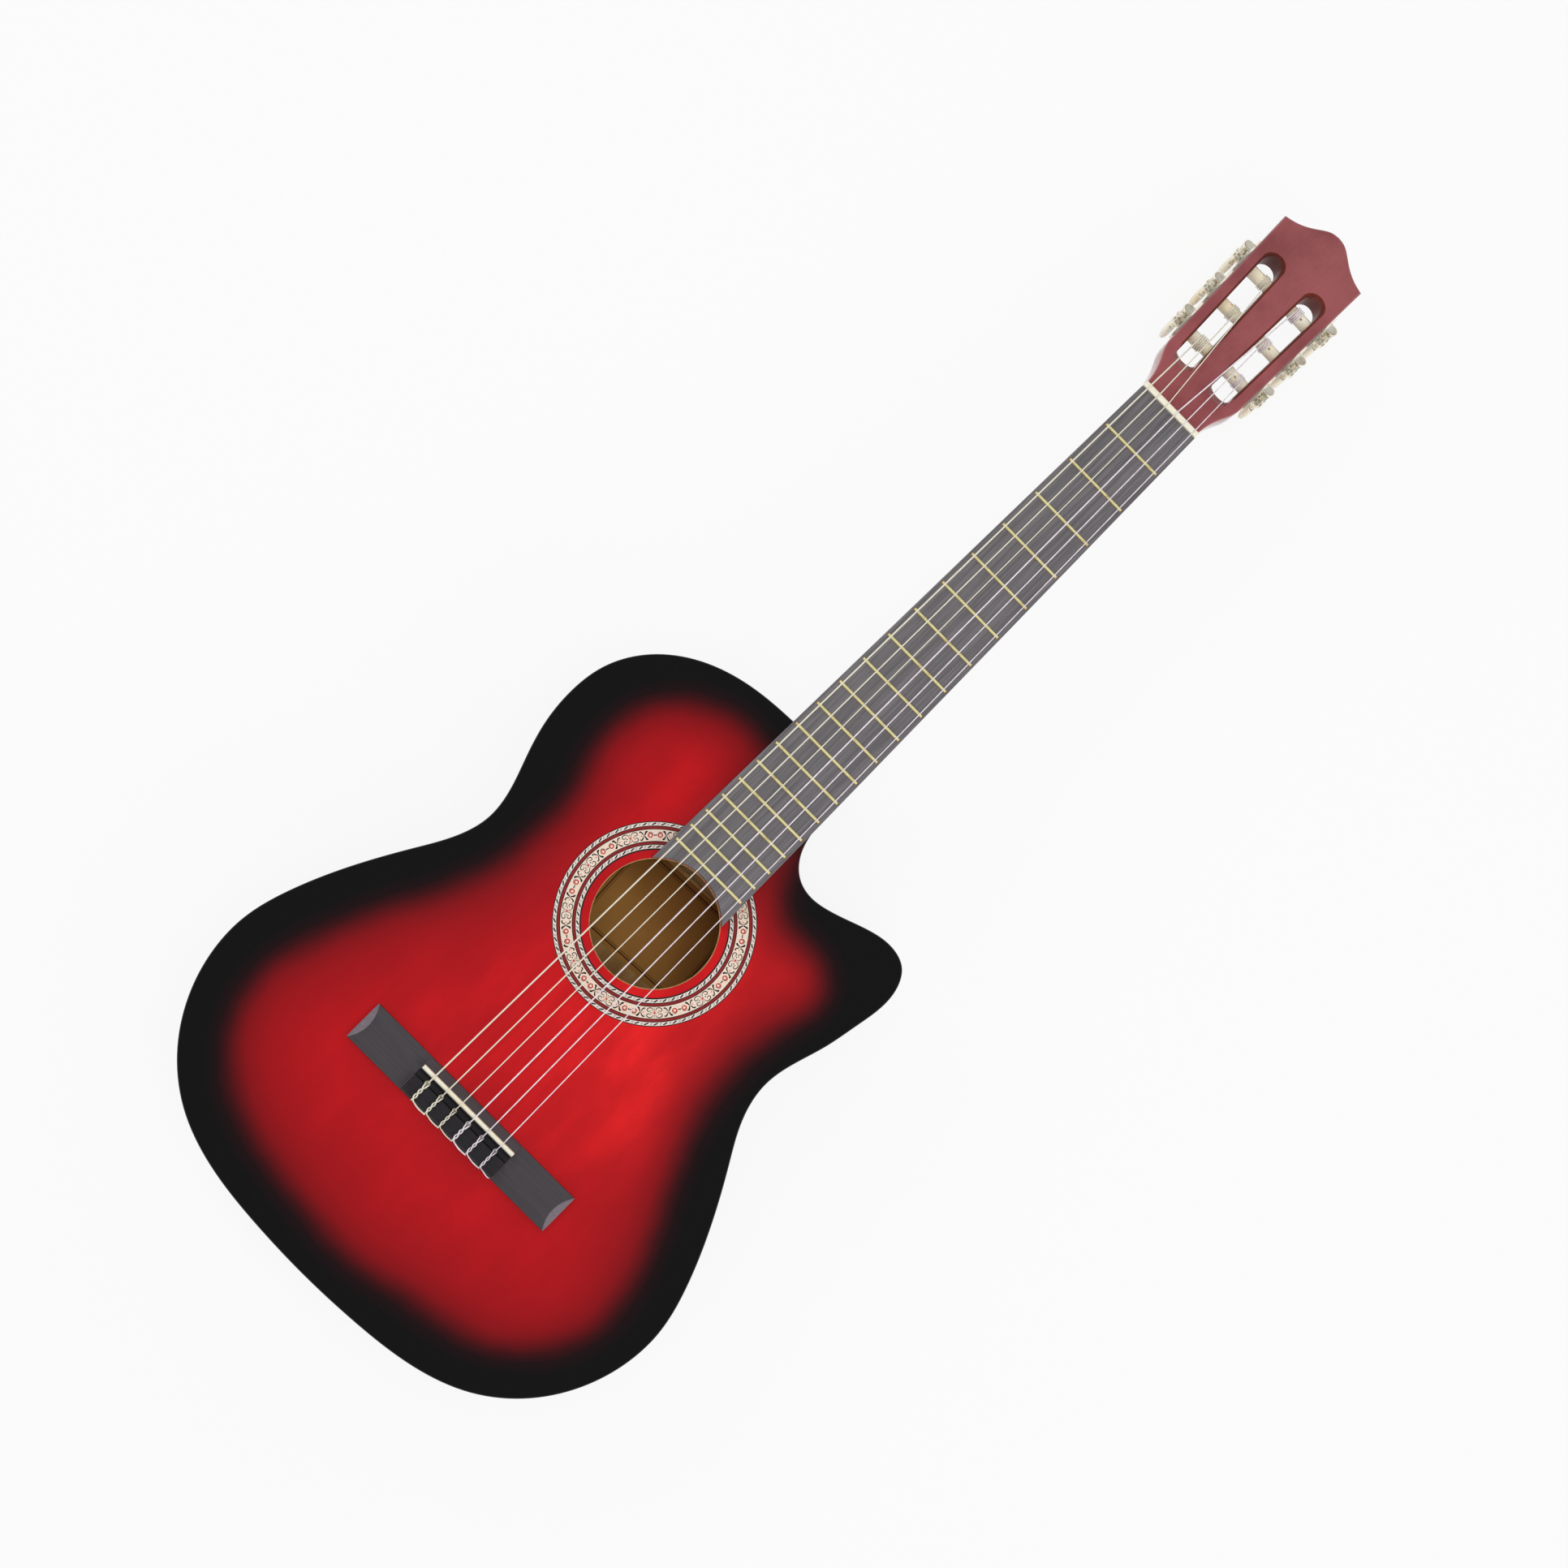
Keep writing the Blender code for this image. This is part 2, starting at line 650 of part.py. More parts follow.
def fingerboard():
    """Tapered board whose end follows the soundhole, with its frets pressed in."""
    radius = HOLE_RADIUS + BOARD_HOLE_MARGIN
    corner_y = HOLE_Y + radius / 2
    for _ in range(20):
        corner_y = HOLE_Y + math.sqrt(radius**2 - board_half(corner_y) ** 2)
    spread = math.asin(board_half(corner_y) / radius)
    end = []
    for i in range(BOARD_END_STEPS + 1):
        angle = spread * (2 * i / BOARD_END_STEPS - 1)
        end.append((radius * math.sin(angle), HOLE_Y + radius * math.cos(angle)))
    nut_y = SCALE_LENGTH - GAP
    loop = end + [(board_half(nut_y), nut_y), (-board_half(nut_y), nut_y)]
    board = flat_mesh([loop], TOP_Z + GAP, BOARD_TOP_Z)
    half, shoulder = FRET_WIDTH / 2, 0.27 * FRET_WIDTH
    frets = []
    for number in range(1, FRET_COUNT + 1):
        y = fret_y(number)
        crown = [
            (y - half, BOARD_TOP_Z - FRET_TANG),
            (y + half, BOARD_TOP_Z - FRET_TANG),
            (y + half, BOARD_TOP_Z + 0.15 * FRET_HEIGHT),
            (y + shoulder, BOARD_TOP_Z + 0.85 * FRET_HEIGHT),
            (y, BOARD_TOP_Z + FRET_HEIGHT),
            (y - shoulder, BOARD_TOP_Z + 0.85 * FRET_HEIGHT),
            (y - half, BOARD_TOP_Z + 0.15 * FRET_HEIGHT),
        ]
        reach = board_half(y) - FRET_INSET
        frets.append(placed(flat_mesh([crown], -reach, reach), THICKNESS_TO_X))
    add("fingerboard", united(board, joined(frets)), DARK_WOOD)


def neck_ring(y, half, shaft_depth, heel_depth, heel_share):
    """One cross section of the neck: flat on top, round below, drawn down where the heel is."""
    shaft = ((1.0, 0.0), (0.985, 0.30), (0.90, 0.58), (0.71, 0.81), (0.42, 0.955), (0.14, 1.0))
    heel = ((1.0, 0.0), (0.96, 0.10), (0.86, 0.24), (0.66, 0.50), (0.50, 0.80), (0.42, 1.0))
    side = []
    for (x0, z0), (x1, z1) in zip(shaft, heel):
        x = half * (x0 + (x1 - x0) * heel_share)
        depth = z0 * shaft_depth + (z1 * heel_depth - z0 * shaft_depth) * heel_share
        side.append((x, TOP_Z - depth))
    return [(x, y, z) for x, z in side] + [(-x, y, z) for x, z in reversed(side)]


def head_outline():
    """The head's outline in its own frame: flared shoulders, tapered sides and a crest."""
    top_half = head_half(HEAD_SIDE_TO)
    start = BOARD_NUT_HALF - 0.0008
    rise = HEAD_SIDE_HALF - start
    shoulder = smooth_through(
        [
            (start, 0.001),
            (start + 0.10 * rise, 0.008),
            (start + 0.29 * rise, 0.016),
            (start + 0.60 * rise, 0.024),
            (start + 0.89 * rise, 0.031),
            (HEAD_SIDE_HALF, HEAD_SIDE_FROM),
        ],
        2,
    )
    crest = smooth_through(
        [
            (top_half, HEAD_SIDE_TO),
            (0.77 * top_half, HEAD_TIP - 0.0164),
            (0.53 * top_half, HEAD_TIP - 0.0114),
            (0.32 * top_half, HEAD_TIP - 0.0050),
            (0.15 * top_half, HEAD_TIP - 0.0010),
            (0.0, HEAD_TIP),
        ],
        2,
    )
    right = shoulder + crest
    return right + [(-x, s) for x, s in reversed(right[:-1])]


def head_half(s):
    """Half width of the head between its tapered sides."""
    return HEAD_SIDE_HALF + (s - HEAD_SIDE_FROM) * math.tan(HEAD_TAPER)


def machine_frame(number, tip):
    """Frame of one tuning machine: x out of the head's side, z out of its face.

    tip is 1 on the treble side and -1 on the bass side, so the head's tip lies
    towards tip * y.
    """
    s = ROLLER_FIRST + number * ROLLER_SPACING
    spot = Matrix.Translation((tip * head_half(s), s, -HEAD_THICK / 2))
    angle = -HEAD_TAPER if tip > 0 else math.pi + HEAD_TAPER
    return HEAD_FRAME @ spot @ Matrix.Rotation(angle, 4, "Z")


def screw_spots(tip):
    """Places of a plate's screws along its length, from the middle machine's frame."""
    pitch = ROLLER_SPACING / math.cos(HEAD_TAPER)
    middle = tip * CENTRE_DISTANCE / 2
    reach = pitch + PLATE_END - 0.0045
    return [middle + share for share in (-reach, -pitch / 2, pitch / 2, reach)]


def head_cutters():
    """The two string slots with their ramps, and a bore for each roller."""
    cutters = []
    half, middle = SLOT_WIDTH / 2, ROLLER_FIRST + ROLLER_SPACING
    for tip in (-1, 1):
        low, high = SLOT_FROM - middle + half, SLOT_TO - middle - half
        loop = []
        for centre, first in ((high, 0), (low, SLOT_END_STEPS)):
            for i in range(first, first + SLOT_END_STEPS + 1):
                angle = math.pi * i / SLOT_END_STEPS
                loop.append((half * math.cos(angle) - SLOT_INBOARD, tip * (centre + half * math.sin(angle))))
        face = HEAD_THICK / 2
        slot = flat_mesh([loop], -face - 0.002, face + 0.002)
        start = SLOT_FROM - middle - SLOT_RAMP_LENGTH
        run = SLOT_RAMP_LENGTH + half
        wedge = [
            (tip * (start - run * 0.12), face + 0.12 * SLOT_RAMP_DEPTH),
            (tip * (start + run), face - SLOT_RAMP_DEPTH),
            (tip * (start + run), face + 0.12 * SLOT_RAMP_DEPTH),
        ]
        ramp = flat_mesh([wedge], -SLOT_INBOARD - half * 0.86, -SLOT_INBOARD + half * 0.86)
        ramp.transform(THICKNESS_TO_X)
        solid = united(slot, tidy(ramp))
        place = machine_frame(1, tip)
        bores = []
        for number in range(3):
            shift = tip * (number - 1) * ROLLER_SPACING / math.cos(HEAD_TAPER)
            radius = ROLLER_RADIUS + RUNNING_GAP
            inner_end = -ROLLER_REACH - RUNNING_GAP
            bores.append(rod_mesh(radius, (inner_end, shift, 0), (0.002, shift, 0), 12))
        for bore in bores:
            solid = united(solid, bore)
        cutters.append(placed(solid, place))
    return cutters


def neck():
    """Shaft, heel and slotted head in one piece of wood."""
    start_y = NECK_JOINT_Y + GAP
    nut_y = HEAD_START_Y
    heel_depth = BODY_DEPTH - HEEL_BACK_MARGIN
    spots = [start_y + HEEL_LENGTH * share for share in (0, 0.05, 0.12, 0.21, 0.33, 0.48, 0.68, 1.0)]
    spots += [start_y + HEEL_LENGTH + (nut_y - start_y - HEEL_LENGTH) * share for share in (0.35, 0.7, 1.0)]
    rings = []
    for y in spots:
        share = (y - start_y) / (nut_y - start_y)
        depth = SHAFT_DEPTH_HEEL + (SHAFT_DEPTH_NUT - SHAFT_DEPTH_HEEL) * share
        run = min((y - start_y) / HEEL_LENGTH, 1.0)
        half = board_half(min(y, SCALE_LENGTH)) - SHAFT_UNDERCUT
        if y < start_y + HEEL_LENGTH:
            half = min(half, CUTAWAY_WALL_X)
        rings.append(neck_ring(y, half, depth, heel_depth, (1 - run) ** 2.4))
    half = BOARD_NUT_HALF * 0.8
    inside_head = neck_ring(0, half, HEAD_THICK * 0.7, 0, 0)
    drop = TOP_Z + HEAD_THICK * 0.15
    rings.append([HEAD_FRAME @ Vector((x, SHAFT_INTO_HEAD, z - drop)) for x, _, z in inside_head])
    head = flat_mesh([head_outline()], -HEAD_THICK, 0)
    wood = united(lofted_mesh(rings), placed(head, HEAD_FRAME))
    for cutter in head_cutters():
        wood = cut(wood, cutter)
    add("neck", wood, WINE_LACQUER)


def string_x(number, spacing):
    """Place across the neck of a string, counted from the treble side."""
    return (2.5 - number) * spacing


def nut():
    """Bone nut with a slot for each string."""
    half = board_half(SCALE_LENGTH) - 0.0002
    low, high = SCALE_LENGTH, SCALE_LENGTH + NUT_THICK
    bottom, top = TOP_Z + GAP, TOP_Z + NUT_HEIGHT
    profile = [
        (low, bottom),
        (high, bottom),
        (high, top - 0.0016),
        (high - 0.0012, top - 0.0004),
        (low + 0.0004, top),
        (low, top - 0.0004),
    ]
    bone = flat_mesh([profile], -half, half)
    bone.transform(THICKNESS_TO_X)
    slots = []
    for number, diameter in enumerate(STRING_DIAMETERS):
        x = string_x(number, STRING_SPACING_NUT)
        reach = diameter / 2 + GAP
        slots.append(
            box_mesh((x - reach, low - 0.001, top - NUT_SLOT_DEPTH), (x + reach, high + 0.001, top + 0.002))
        )
    add("nut", cut(tidy(bone), joined(slots)), BONE)


def bridge_profile(x):
    """Cross section of the bridge at x, front to rear, as (y, height) above the soundboard."""
    front, rear = BRIDGE_FRONT_Y, BRIDGE_REAR_Y
    saddle_front = SADDLE_Y + SADDLE_THICK / 2
    saddle_rear = SADDLE_Y - SADDLE_THICK / 2
    if abs(x) <= BRIDGE_CENTRE_HALF:
        heights = [
            (front, BRIDGE_EDGE_HEIGHT),
            (saddle_front + 0.0016, SADDLE_REGION_HEIGHT - 0.0004),
            (saddle_front + 0.0006, SADDLE_REGION_HEIGHT),
            (saddle_rear - 0.0009, SADDLE_REGION_HEIGHT - 0.0006),
            (saddle_rear - 0.0020, TIE_GROOVE_HEIGHT),
            (TIE_BLOCK_FRONT_Y + 0.0005, TIE_GROOVE_HEIGHT),
            (TIE_BLOCK_FRONT_Y, TIE_BLOCK_HEIGHT),
            (TIE_BLOCK_REAR_Y, TIE_BLOCK_HEIGHT),
            (TIE_BLOCK_REAR_Y - 0.0003, TIE_GROOVE_HEIGHT),
            (rear, TIE_GROOVE_HEIGHT - 0.0008),
        ]
    else:
        tip = min((BRIDGE_HALF - abs(x)) / BRIDGE_TIP_LENGTH, 1.0)
        crown = BRIDGE_TIP_HEIGHT + (BRIDGE_WING_HEIGHT - BRIDGE_TIP_HEIGHT) * math.sqrt(tip)
        middle, reach = (front + rear) / 2, (front - rear) / 2
        stations = [front, saddle_front + 0.0016, saddle_front + 0.0006, saddle_rear - 0.0009]
        stations += [saddle_rear - 0.0020, TIE_BLOCK_FRONT_Y + 0.0005, TIE_BLOCK_FRONT_Y]
        stations += [TIE_BLOCK_REAR_Y, TIE_BLOCK_REAR_Y - 0.0003, rear]
        heights = [(y, crown * (1 - 0.30 * abs((y - middle) / reach) ** 3)) for y in stations]
    return [(x, y, TOP_Z + height) for y, height in heights]


def bridge_and_saddle():
    """Bridge with wings, tie block, tie holes and a saddle slot, and the bone saddle in it."""
    wing_start = BRIDGE_CENTRE_HALF + 0.0004
    stations = [BRIDGE_CENTRE_HALF, wing_start, BRIDGE_HALF - BRIDGE_TIP_LENGTH]
    stations += [BRIDGE_HALF - BRIDGE_TIP_LENGTH * share for share in (0.55, 0.2, 0.0)]
    rings = []
    for x in [-value for value in reversed(stations)] + stations:
        top = bridge_profile(x)
        base = TOP_Z + GAP
        rings.append([(x, BRIDGE_FRONT_Y, base)] + top + [(x, BRIDGE_REAR_Y, base)])
    wood = lofted_mesh(rings)
    slot_floor = TOP_Z + SADDLE_REGION_HEIGHT - SADDLE_SLOT_DEPTH
    half = SADDLE_THICK / 2 + GAP
    slot = box_mesh(
        (-SADDLE_HALF - GAP, SADDLE_Y - half, slot_floor), (SADDLE_HALF + GAP, SADDLE_Y + half, TOP_Z + 0.02)
    )
    holes = [slot]
    for number, diameter in enumerate(STRING_DIAMETERS):
        x = string_x(number, STRING_SPACING_SADDLE)
        z = TOP_Z + TIE_HOLE_HEIGHT
        start = (x, TIE_BLOCK_FRONT_Y + 0.001, z)
        end = (x, TIE_BLOCK_REAR_Y - 0.001, z)
        holes.append(rod_mesh(diameter / 2 + RUNNING_GAP, start, end, 8))
    add("bridge", cut(wood, joined(holes)), DARK_WOOD)
    low, high = SADDLE_Y - SADDLE_THICK / 2, SADDLE_Y + SADDLE_THICK / 2
    top = TOP_Z + SADDLE_HEIGHT
    profile = [
        (low, slot_floor + GAP),
        (high, slot_floor + GAP),
        (high, top - 0.0009),
        (SADDLE_Y + 0.0008, top - 0.0002),
        (SADDLE_Y, top),
        (SADDLE_Y - 0.0006, top - 0.0003),
        (SADDLE_Y - 0.0010, top - 0.0009),
        (low, top - 0.0019),
    ]
    bone = flat_mesh([profile], -SADDLE_HALF, SADDLE_HALF)
    bone.transform(THICKNESS_TO_X)
    add("saddle", tidy(bone), BONE)


def strap_button():
    """Turned button at the middle of the tail."""
    neck_radius, flange, length = STRAP_NECK_RADIUS, STRAP_FLANGE_RADIUS, STRAP_LENGTH
    profile = [
        (0, 0),
        (flange * 0.9, 0),
        (flange * 0.9, 0.0008),
        (neck_radius, 0.0016),
        (neck_radius, length * 0.62),
        (flange * 0.92, length * 0.72),
        (flange, length * 0.84),
        (flange * 0.86, length),
        (flange * 0.42, length),
        (flange * 0.36, length * 0.9),
        (0, length * 0.9),
    ]
    mesh = turned_mesh(profile, 12)
    mesh.transform(Matrix.Rotation(math.pi / 2, 4, "X"))
    add("strap_button", mesh, BRASS, location=(0, TAIL_Y - GAP, BODY_DEPTH / 2))


def gear_mesh():
    """Gear with slanted teeth, a hub towards the plate, a screw head outside and a blind bore."""
    pitch = TURN / GEAR_TEETH
    twist = WORM_LEAD / (TURN * (CENTRE_DISTANCE - GEAR_PITCH_RADIUS)) / GEAR_PITCH_RADIUS
    flank = (
        (-0.25, GEAR_ROOT_RADIUS),
        (-0.10, GEAR_TIP_RADIUS),
        (0.10, GEAR_TIP_RADIUS),
        (0.25, GEAR_ROOT_RADIUS),
    )
    rings = []
    for x in (-GEAR_WIDTH / 2, GEAR_WIDTH / 2):
        ring = []
        for tooth in range(GEAR_TEETH):
            for share, radius in flank:
                angle = (tooth + 0.5 + share) * pitch + twist * x
                ring.append((GEAR_OUT + x, radius * math.cos(angle), radius * math.sin(angle)))
        rings.append(ring)
    toothed = lofted_mesh(rings)
    hub_radius, head_radius = GEAR_ROOT_RADIUS * 0.62, GEAR_ROOT_RADIUS * 0.52
    hub_start = PLATE_THICK + 2 * GAP
    outer = GEAR_OUT + GEAR_WIDTH / 2
    profile = [
        (0, hub_start),
        (hub_radius, hub_start),
        (hub_radius, outer + 0.0003),
        (head_radius, outer + 0.0005),
        (head_radius, outer + 0.0016),
        (head_radius * 0.72, outer + 0.0022),
        (0, outer + 0.0024),
    ]
    hub = turned_mesh(profile, 12)
    hub.transform(Matrix.Rotation(math.pi / 2, 4, "Y"))
    bore = rod_mesh(JOURNAL_RADIUS + GAP, (0, 0, 0), (GEAR_OUT + GAP, 0, 0), 12)
    return cut(united(toothed, tidy(hub)), bore)


def worm_mesh():
    """Worm on its shaft along z, with the thread as one helix that runs out at both ends."""
    columns, rows = 10, 16
    rear = -(BUTTON_FROM + BUTTON_GRIP)
    front = TAB_FROM + TAB_FRONT_THICK * 0.5
    collar = WORM_HALF_LENGTH + 0.0002
    collar_end = TAB_FROM - GAP - 0.0001
    rings = []

    def plain(z, radius):
        rings.append([(x, y, z) for x, y in circle(0, 0, radius, columns)])

    plain(rear, SHAFT_RADIUS)
    plain(-collar_end, SHAFT_RADIUS)
    plain(-collar_end + 0.00002, WORM_ROOT_RADIUS * 1.35)
    plain(-collar, WORM_ROOT_RADIUS * 1.35)
    for row in range(rows):
        z = WORM_HALF_LENGTH * (2 * row / (rows - 1) - 1)
        fade = 0.0 if row in (0, rows - 1) else 1.0
        ring = []
        for i in range(columns):
            angle = TURN * i / columns
            phase = z / WORM_LEAD - angle / TURN - 0.25
            away = abs(phase - round(phase))
            rise = min(max((0.25 - away) / 0.17, 0.0), 1.0) * fade
            radius = WORM_ROOT_RADIUS + (WORM_CREST_RADIUS - WORM_ROOT_RADIUS) * rise
            ring.append((radius * math.cos(angle), radius * math.sin(angle), z))
        rings.append(ring)
    plain(collar, WORM_ROOT_RADIUS * 1.35)
    plain(collar_end - 0.00002, WORM_ROOT_RADIUS * 1.35)
    plain(collar_end, SHAFT_RADIUS)
    plain(front, SHAFT_RADIUS)
    return lofted_mesh(rings)


def button_mesh():
    """Flattened, flared button behind the head, with a blind bore for the worm shaft's end."""
    sections = (
        (0.00, 0.36, 0.78, 2.0),
        (0.10, 0.40, 0.84, 2.0),
        (0.22, 0.50, 0.80, 2.2),
        (0.48, 0.82, 0.94, 2.4),
        (0.78, 1.00, 1.00, 2.6),
        (0.93, 0.93, 0.90, 2.4),
        (1.00, 0.66, 0.52, 2.2),
    )
    columns = 12
    rings = []
    for along, wide, thick, power in sections:
        ring = []
        for i in range(columns):
            angle = TURN * (i + 0.5) / columns
            cosine, sine = math.cos(angle), math.sin(angle)
            size = (abs(cosine) ** power + abs(sine) ** power) ** (-1 / power)
            x = BUTTON_HALF_THICK * thick * size * cosine
            y = BUTTON_HALF_WIDTH * wide * size * sine
            ring.append((x, y, -BUTTON_FROM + GAP - along * BUTTON_LENGTH))
        rings.append(ring)
    bore_end = -BUTTON_FROM - BUTTON_GRIP - GAP
    bore = rod_mesh(SHAFT_RADIUS + GAP, (0, 0, -BUTTON_FROM + 0.001), (0, 0, bore_end), 8)
    return cut(lofted_mesh(rings), bore)


def roller_mesh():
    """String roller along x with its thinner journal, and the cross hole for the string's end."""
    shoulder = -0.0004
    profile = [
        (0, -ROLLER_REACH),
        (ROLLER_RADIUS * 0.93, -ROLLER_REACH),
        (ROLLER_RADIUS, -ROLLER_REACH + 0.0005),
        (ROLLER_RADIUS, shoulder),
        (JOURNAL_RADIUS, shoulder),
        (JOURNAL_RADIUS, GEAR_OUT - GAP),
        (0, GEAR_OUT - GAP),
    ]
    mesh = turned_mesh(profile, 16)
    mesh.transform(Matrix.Rotation(math.pi / 2, 4, "Y"))
    return tidy(mesh)


def plate_mesh(tip):
    """Side plate with its screw heads, a lobe at each machine and two tabs for each worm's shaft."""
    pitch = ROLLER_SPACING / math.cos(HEAD_TAPER)
    middle = tip * CENTRE_DISTANCE / 2
    end = pitch + PLATE_END
    steps = 26
    upper = []
    for i in range(steps + 1):
        along = end * (2 * i / steps - 1)
        wave = 0.5 + 0.5 * math.cos(TURN * along / pitch)
        edge = min((end - abs(along)) / 0.006, 1.0)
        rounding = math.sqrt(max(1 - (1 - edge) ** 2, 0.05))
        height = PLATE_HALF + (PLATE_LOBE_HALF - PLATE_HALF) * wave**0.7
        upper.append((middle + along, height * rounding))
    loop = upper + [(y, -z) for y, z in reversed(upper)]
    plate = flat_mesh([loop], GAP, GAP + PLATE_THICK)
    plate.transform(THICKNESS_TO_X)
    tabs, bores = [], []
    journal_radius = JOURNAL_RADIUS + RUNNING_GAP
    for number in range(3):
        shift = tip * (number - 1) * pitch
        worm_y = shift + tip * CENTRE_DISTANCE
        tab = [(GAP + PLATE_THICK * 0.4, worm_y - TAB_HALF), (GEAR_OUT, worm_y - TAB_HALF)]
        for i in range(1, 6):
            angle = math.pi * (i / 6 - 0.5)
            tab.append((GEAR_OUT + TAB_HALF * math.cos(angle), worm_y + TAB_HALF * math.sin(angle)))
        tab += [(GEAR_OUT, worm_y + TAB_HALF), (GAP + PLATE_THICK * 0.4, worm_y + TAB_HALF)]
        tabs.append(flat_mesh([tab], TAB_FROM, TAB_FROM + TAB_FRONT_THICK))
        tabs.append(flat_mesh([tab], -TAB_FROM - TAB_REAR_THICK, -TAB_FROM))
        shaft_end = TAB_FROM + TAB_FRONT_THICK * 0.5 + GAP
        shaft_start = -TAB_FROM - 2 * TAB_REAR_THICK
        bore = ((GEAR_OUT, worm_y, shaft_start), (GEAR_OUT, worm_y, shaft_end))
        bores.append(rod_mesh(SHAFT_RADIUS + GAP, *bore, 8))
        bores.append(rod_mesh(journal_radius, (-0.002, shift, 0), (0.003, shift, 0), 12))
    middle_plane = GAP + PLATE_THICK / 2
    profile = [
        (0, middle_plane),
        (SCREW_HEAD_RADIUS, middle_plane),
        (SCREW_HEAD_RADIUS, GAP + PLATE_THICK + 0.0003),
        (0.6 * SCREW_HEAD_RADIUS, GAP + PLATE_THICK + 0.0011),
        (0, GAP + PLATE_THICK + 0.0013),
    ]
    head = turned_mesh(profile, 8)
    head.transform(Matrix.Rotation(math.pi / 2, 4, "Y"))
    heads = [placed(head, Matrix.Translation((0, spot, 0))) for spot in screw_spots(tip)]
    return cut(united(tidy(plate), joined(tabs + heads)), joined(bores))


def tuning_machines():
    """Three machines on each side: roller and gear on one axis, worm and button on the other."""
    roller, gear, worm, button = roller_mesh(), gear_mesh(), worm_mesh(), button_mesh()
    for side, tip in (("treble", 1), ("bass", -1)):
        middle = add_frame(side + "_plate_frame", machine_frame(1, tip))
        add(side + "_machine_plate", plate_mesh(tip), NICKEL, parent=middle)
        for number in range(3):
            name = f"{side}_{number + 1}"
            frame = add_frame("machine_frame_" + name, machine_frame(number, tip))
            worm_spot = (GEAR_OUT, tip * CENTRE_DISTANCE, 0)
            turn = 0.0 if tip > 0 else math.pi
            add("roller_" + name, roller, BONE, parent=frame)
            add("gear_" + name, gear, NICKEL, parent=frame)
            add("worm_" + name, worm, NICKEL, parent=frame, location=worm_spot, turn=turn)
            add("button_" + name, button, BONE, parent=frame, location=worm_spot, turn=turn)


def tie_route(number):
    """A string's tie at the bridge, from its loose tail to where it leaves the tie hole for the saddle.

    The string runs back through its hole, forward over the block, under itself in
    the groove and back again, so that its two strands twist together on the block.
    """
    radius = STRING_DIAMETERS[number] / 2
    x = string_x(number, STRING_SPACING_SADDLE)
    top, front, rear = TOP_Z + TIE_BLOCK_HEIGHT, TIE_BLOCK_FRONT_Y, TIE_BLOCK_REAR_Y
    hole_z = TOP_Z + TIE_HOLE_HEIGHT
    lie = radius + GAP
    twist = radius + TIE_STRAND_GAP / 2
    middle = top + lie + twist
    first, second = [], []
    for i in range(TIE_TWIST_STEPS + 1):
        share = i / TIE_TWIST_STEPS
        angle = TURN * TIE_TWIST_TURNS * share
        y = rear + 0.0006 + (front - rear - 0.0013) * share
        across, up = twist * math.sin(angle), twist * math.cos(angle)
        first.append((x + across, y, middle - up))
        second.append((x - across, y, middle + up))
    behind = rear - 0.0003 - lie
    tail = [
        (x + 0.0088, behind - 0.0003, top - 0.0021),
        (x + 0.0058, behind - 0.0005, top - 0.0013),
        (x + 2 * radius + 0.0016, behind, top - 0.0004),
        (x + radius + 0.0006, rear - 0.0004, middle + 0.6 * twist),
    ]
    side = 2 * radius + TIE_STRAND_GAP
    saddle_point = Vector(saddle_rear_point(number))
    drop = (saddle_point - Vector((x, front, hole_z))).normalized()
    crossing = Vector((x, front + 0.0010, hole_z)) + drop * 0.0011
    under = crossing + side * Vector((0, drop.z, -drop.y))
    loop = [
        Vector(second[-1]),
        Vector((x - 0.9 * side, front + 0.0007, top + 0.0003 + radius)),
        crossing + Vector((-side, 0.0003, 0.0004)),
        under,
        crossing + Vector((side, 0.0003, 0.0004)),
        Vector((x + 0.9 * side, front + 0.0007, top + 0.0003 + radius)),
        Vector(first[-1]),
    ]
    round_rear = [
        (x, rear, top + lie),
        (x, rear - 0.75 * lie, top + 0.75 * lie),
        (x, rear - 0.0001 - lie, top - 0.0002),
        (x, behind, hole_z + 0.0010),
        (x, rear - 0.0006, hole_z + 0.0001),
        (x, rear + 0.0002, hole_z),
    ]
    start = smooth_through(tail, 2)
    return start + second[:-1] + smooth_through(loop, 3) + first[-2::-1] + round_rear


def saddle_rear_point(number):
    """Where a string leaves the rear of the saddle's crown."""
    radius = STRING_DIAMETERS[number] / 2
    x = string_x(number, STRING_SPACING_SADDLE)
    return (x, SADDLE_Y - 0.0018, TOP_Z + SADDLE_HEIGHT + STRING_SADDLE_LIFT + radius - 0.0011)


def winding(number, nut_point):
    """A string's turns round its roller, from where it meets the roller, as world points."""
    roller, inboard, way = STRING_ROLLERS[number]
    diameter = STRING_DIAMETERS[number]
    tip = 1 if number < 3 else -1
    frame = machine_frame(roller, tip)
    start = frame.inverted() @ Vector(nut_point)
    radius = ROLLER_RADIUS + GAP + diameter / 2
    ahead, above = tip * start.y, start.z
    meet = math.atan2(ahead, above) + math.acos(radius / math.hypot(ahead, above))
    pitch = diameter + WIND_SELF_GAP
    points = []
    for i in range(round(WIND_TURNS * WIND_STEPS) + 1):
        turns = i / WIND_STEPS
        angle = meet + TURN * turns
        x = way * pitch * turns - inboard
        points.append(frame @ Vector((x, tip * radius * math.sin(angle), radius * math.cos(angle))))
    return [tuple(point) for point in points]


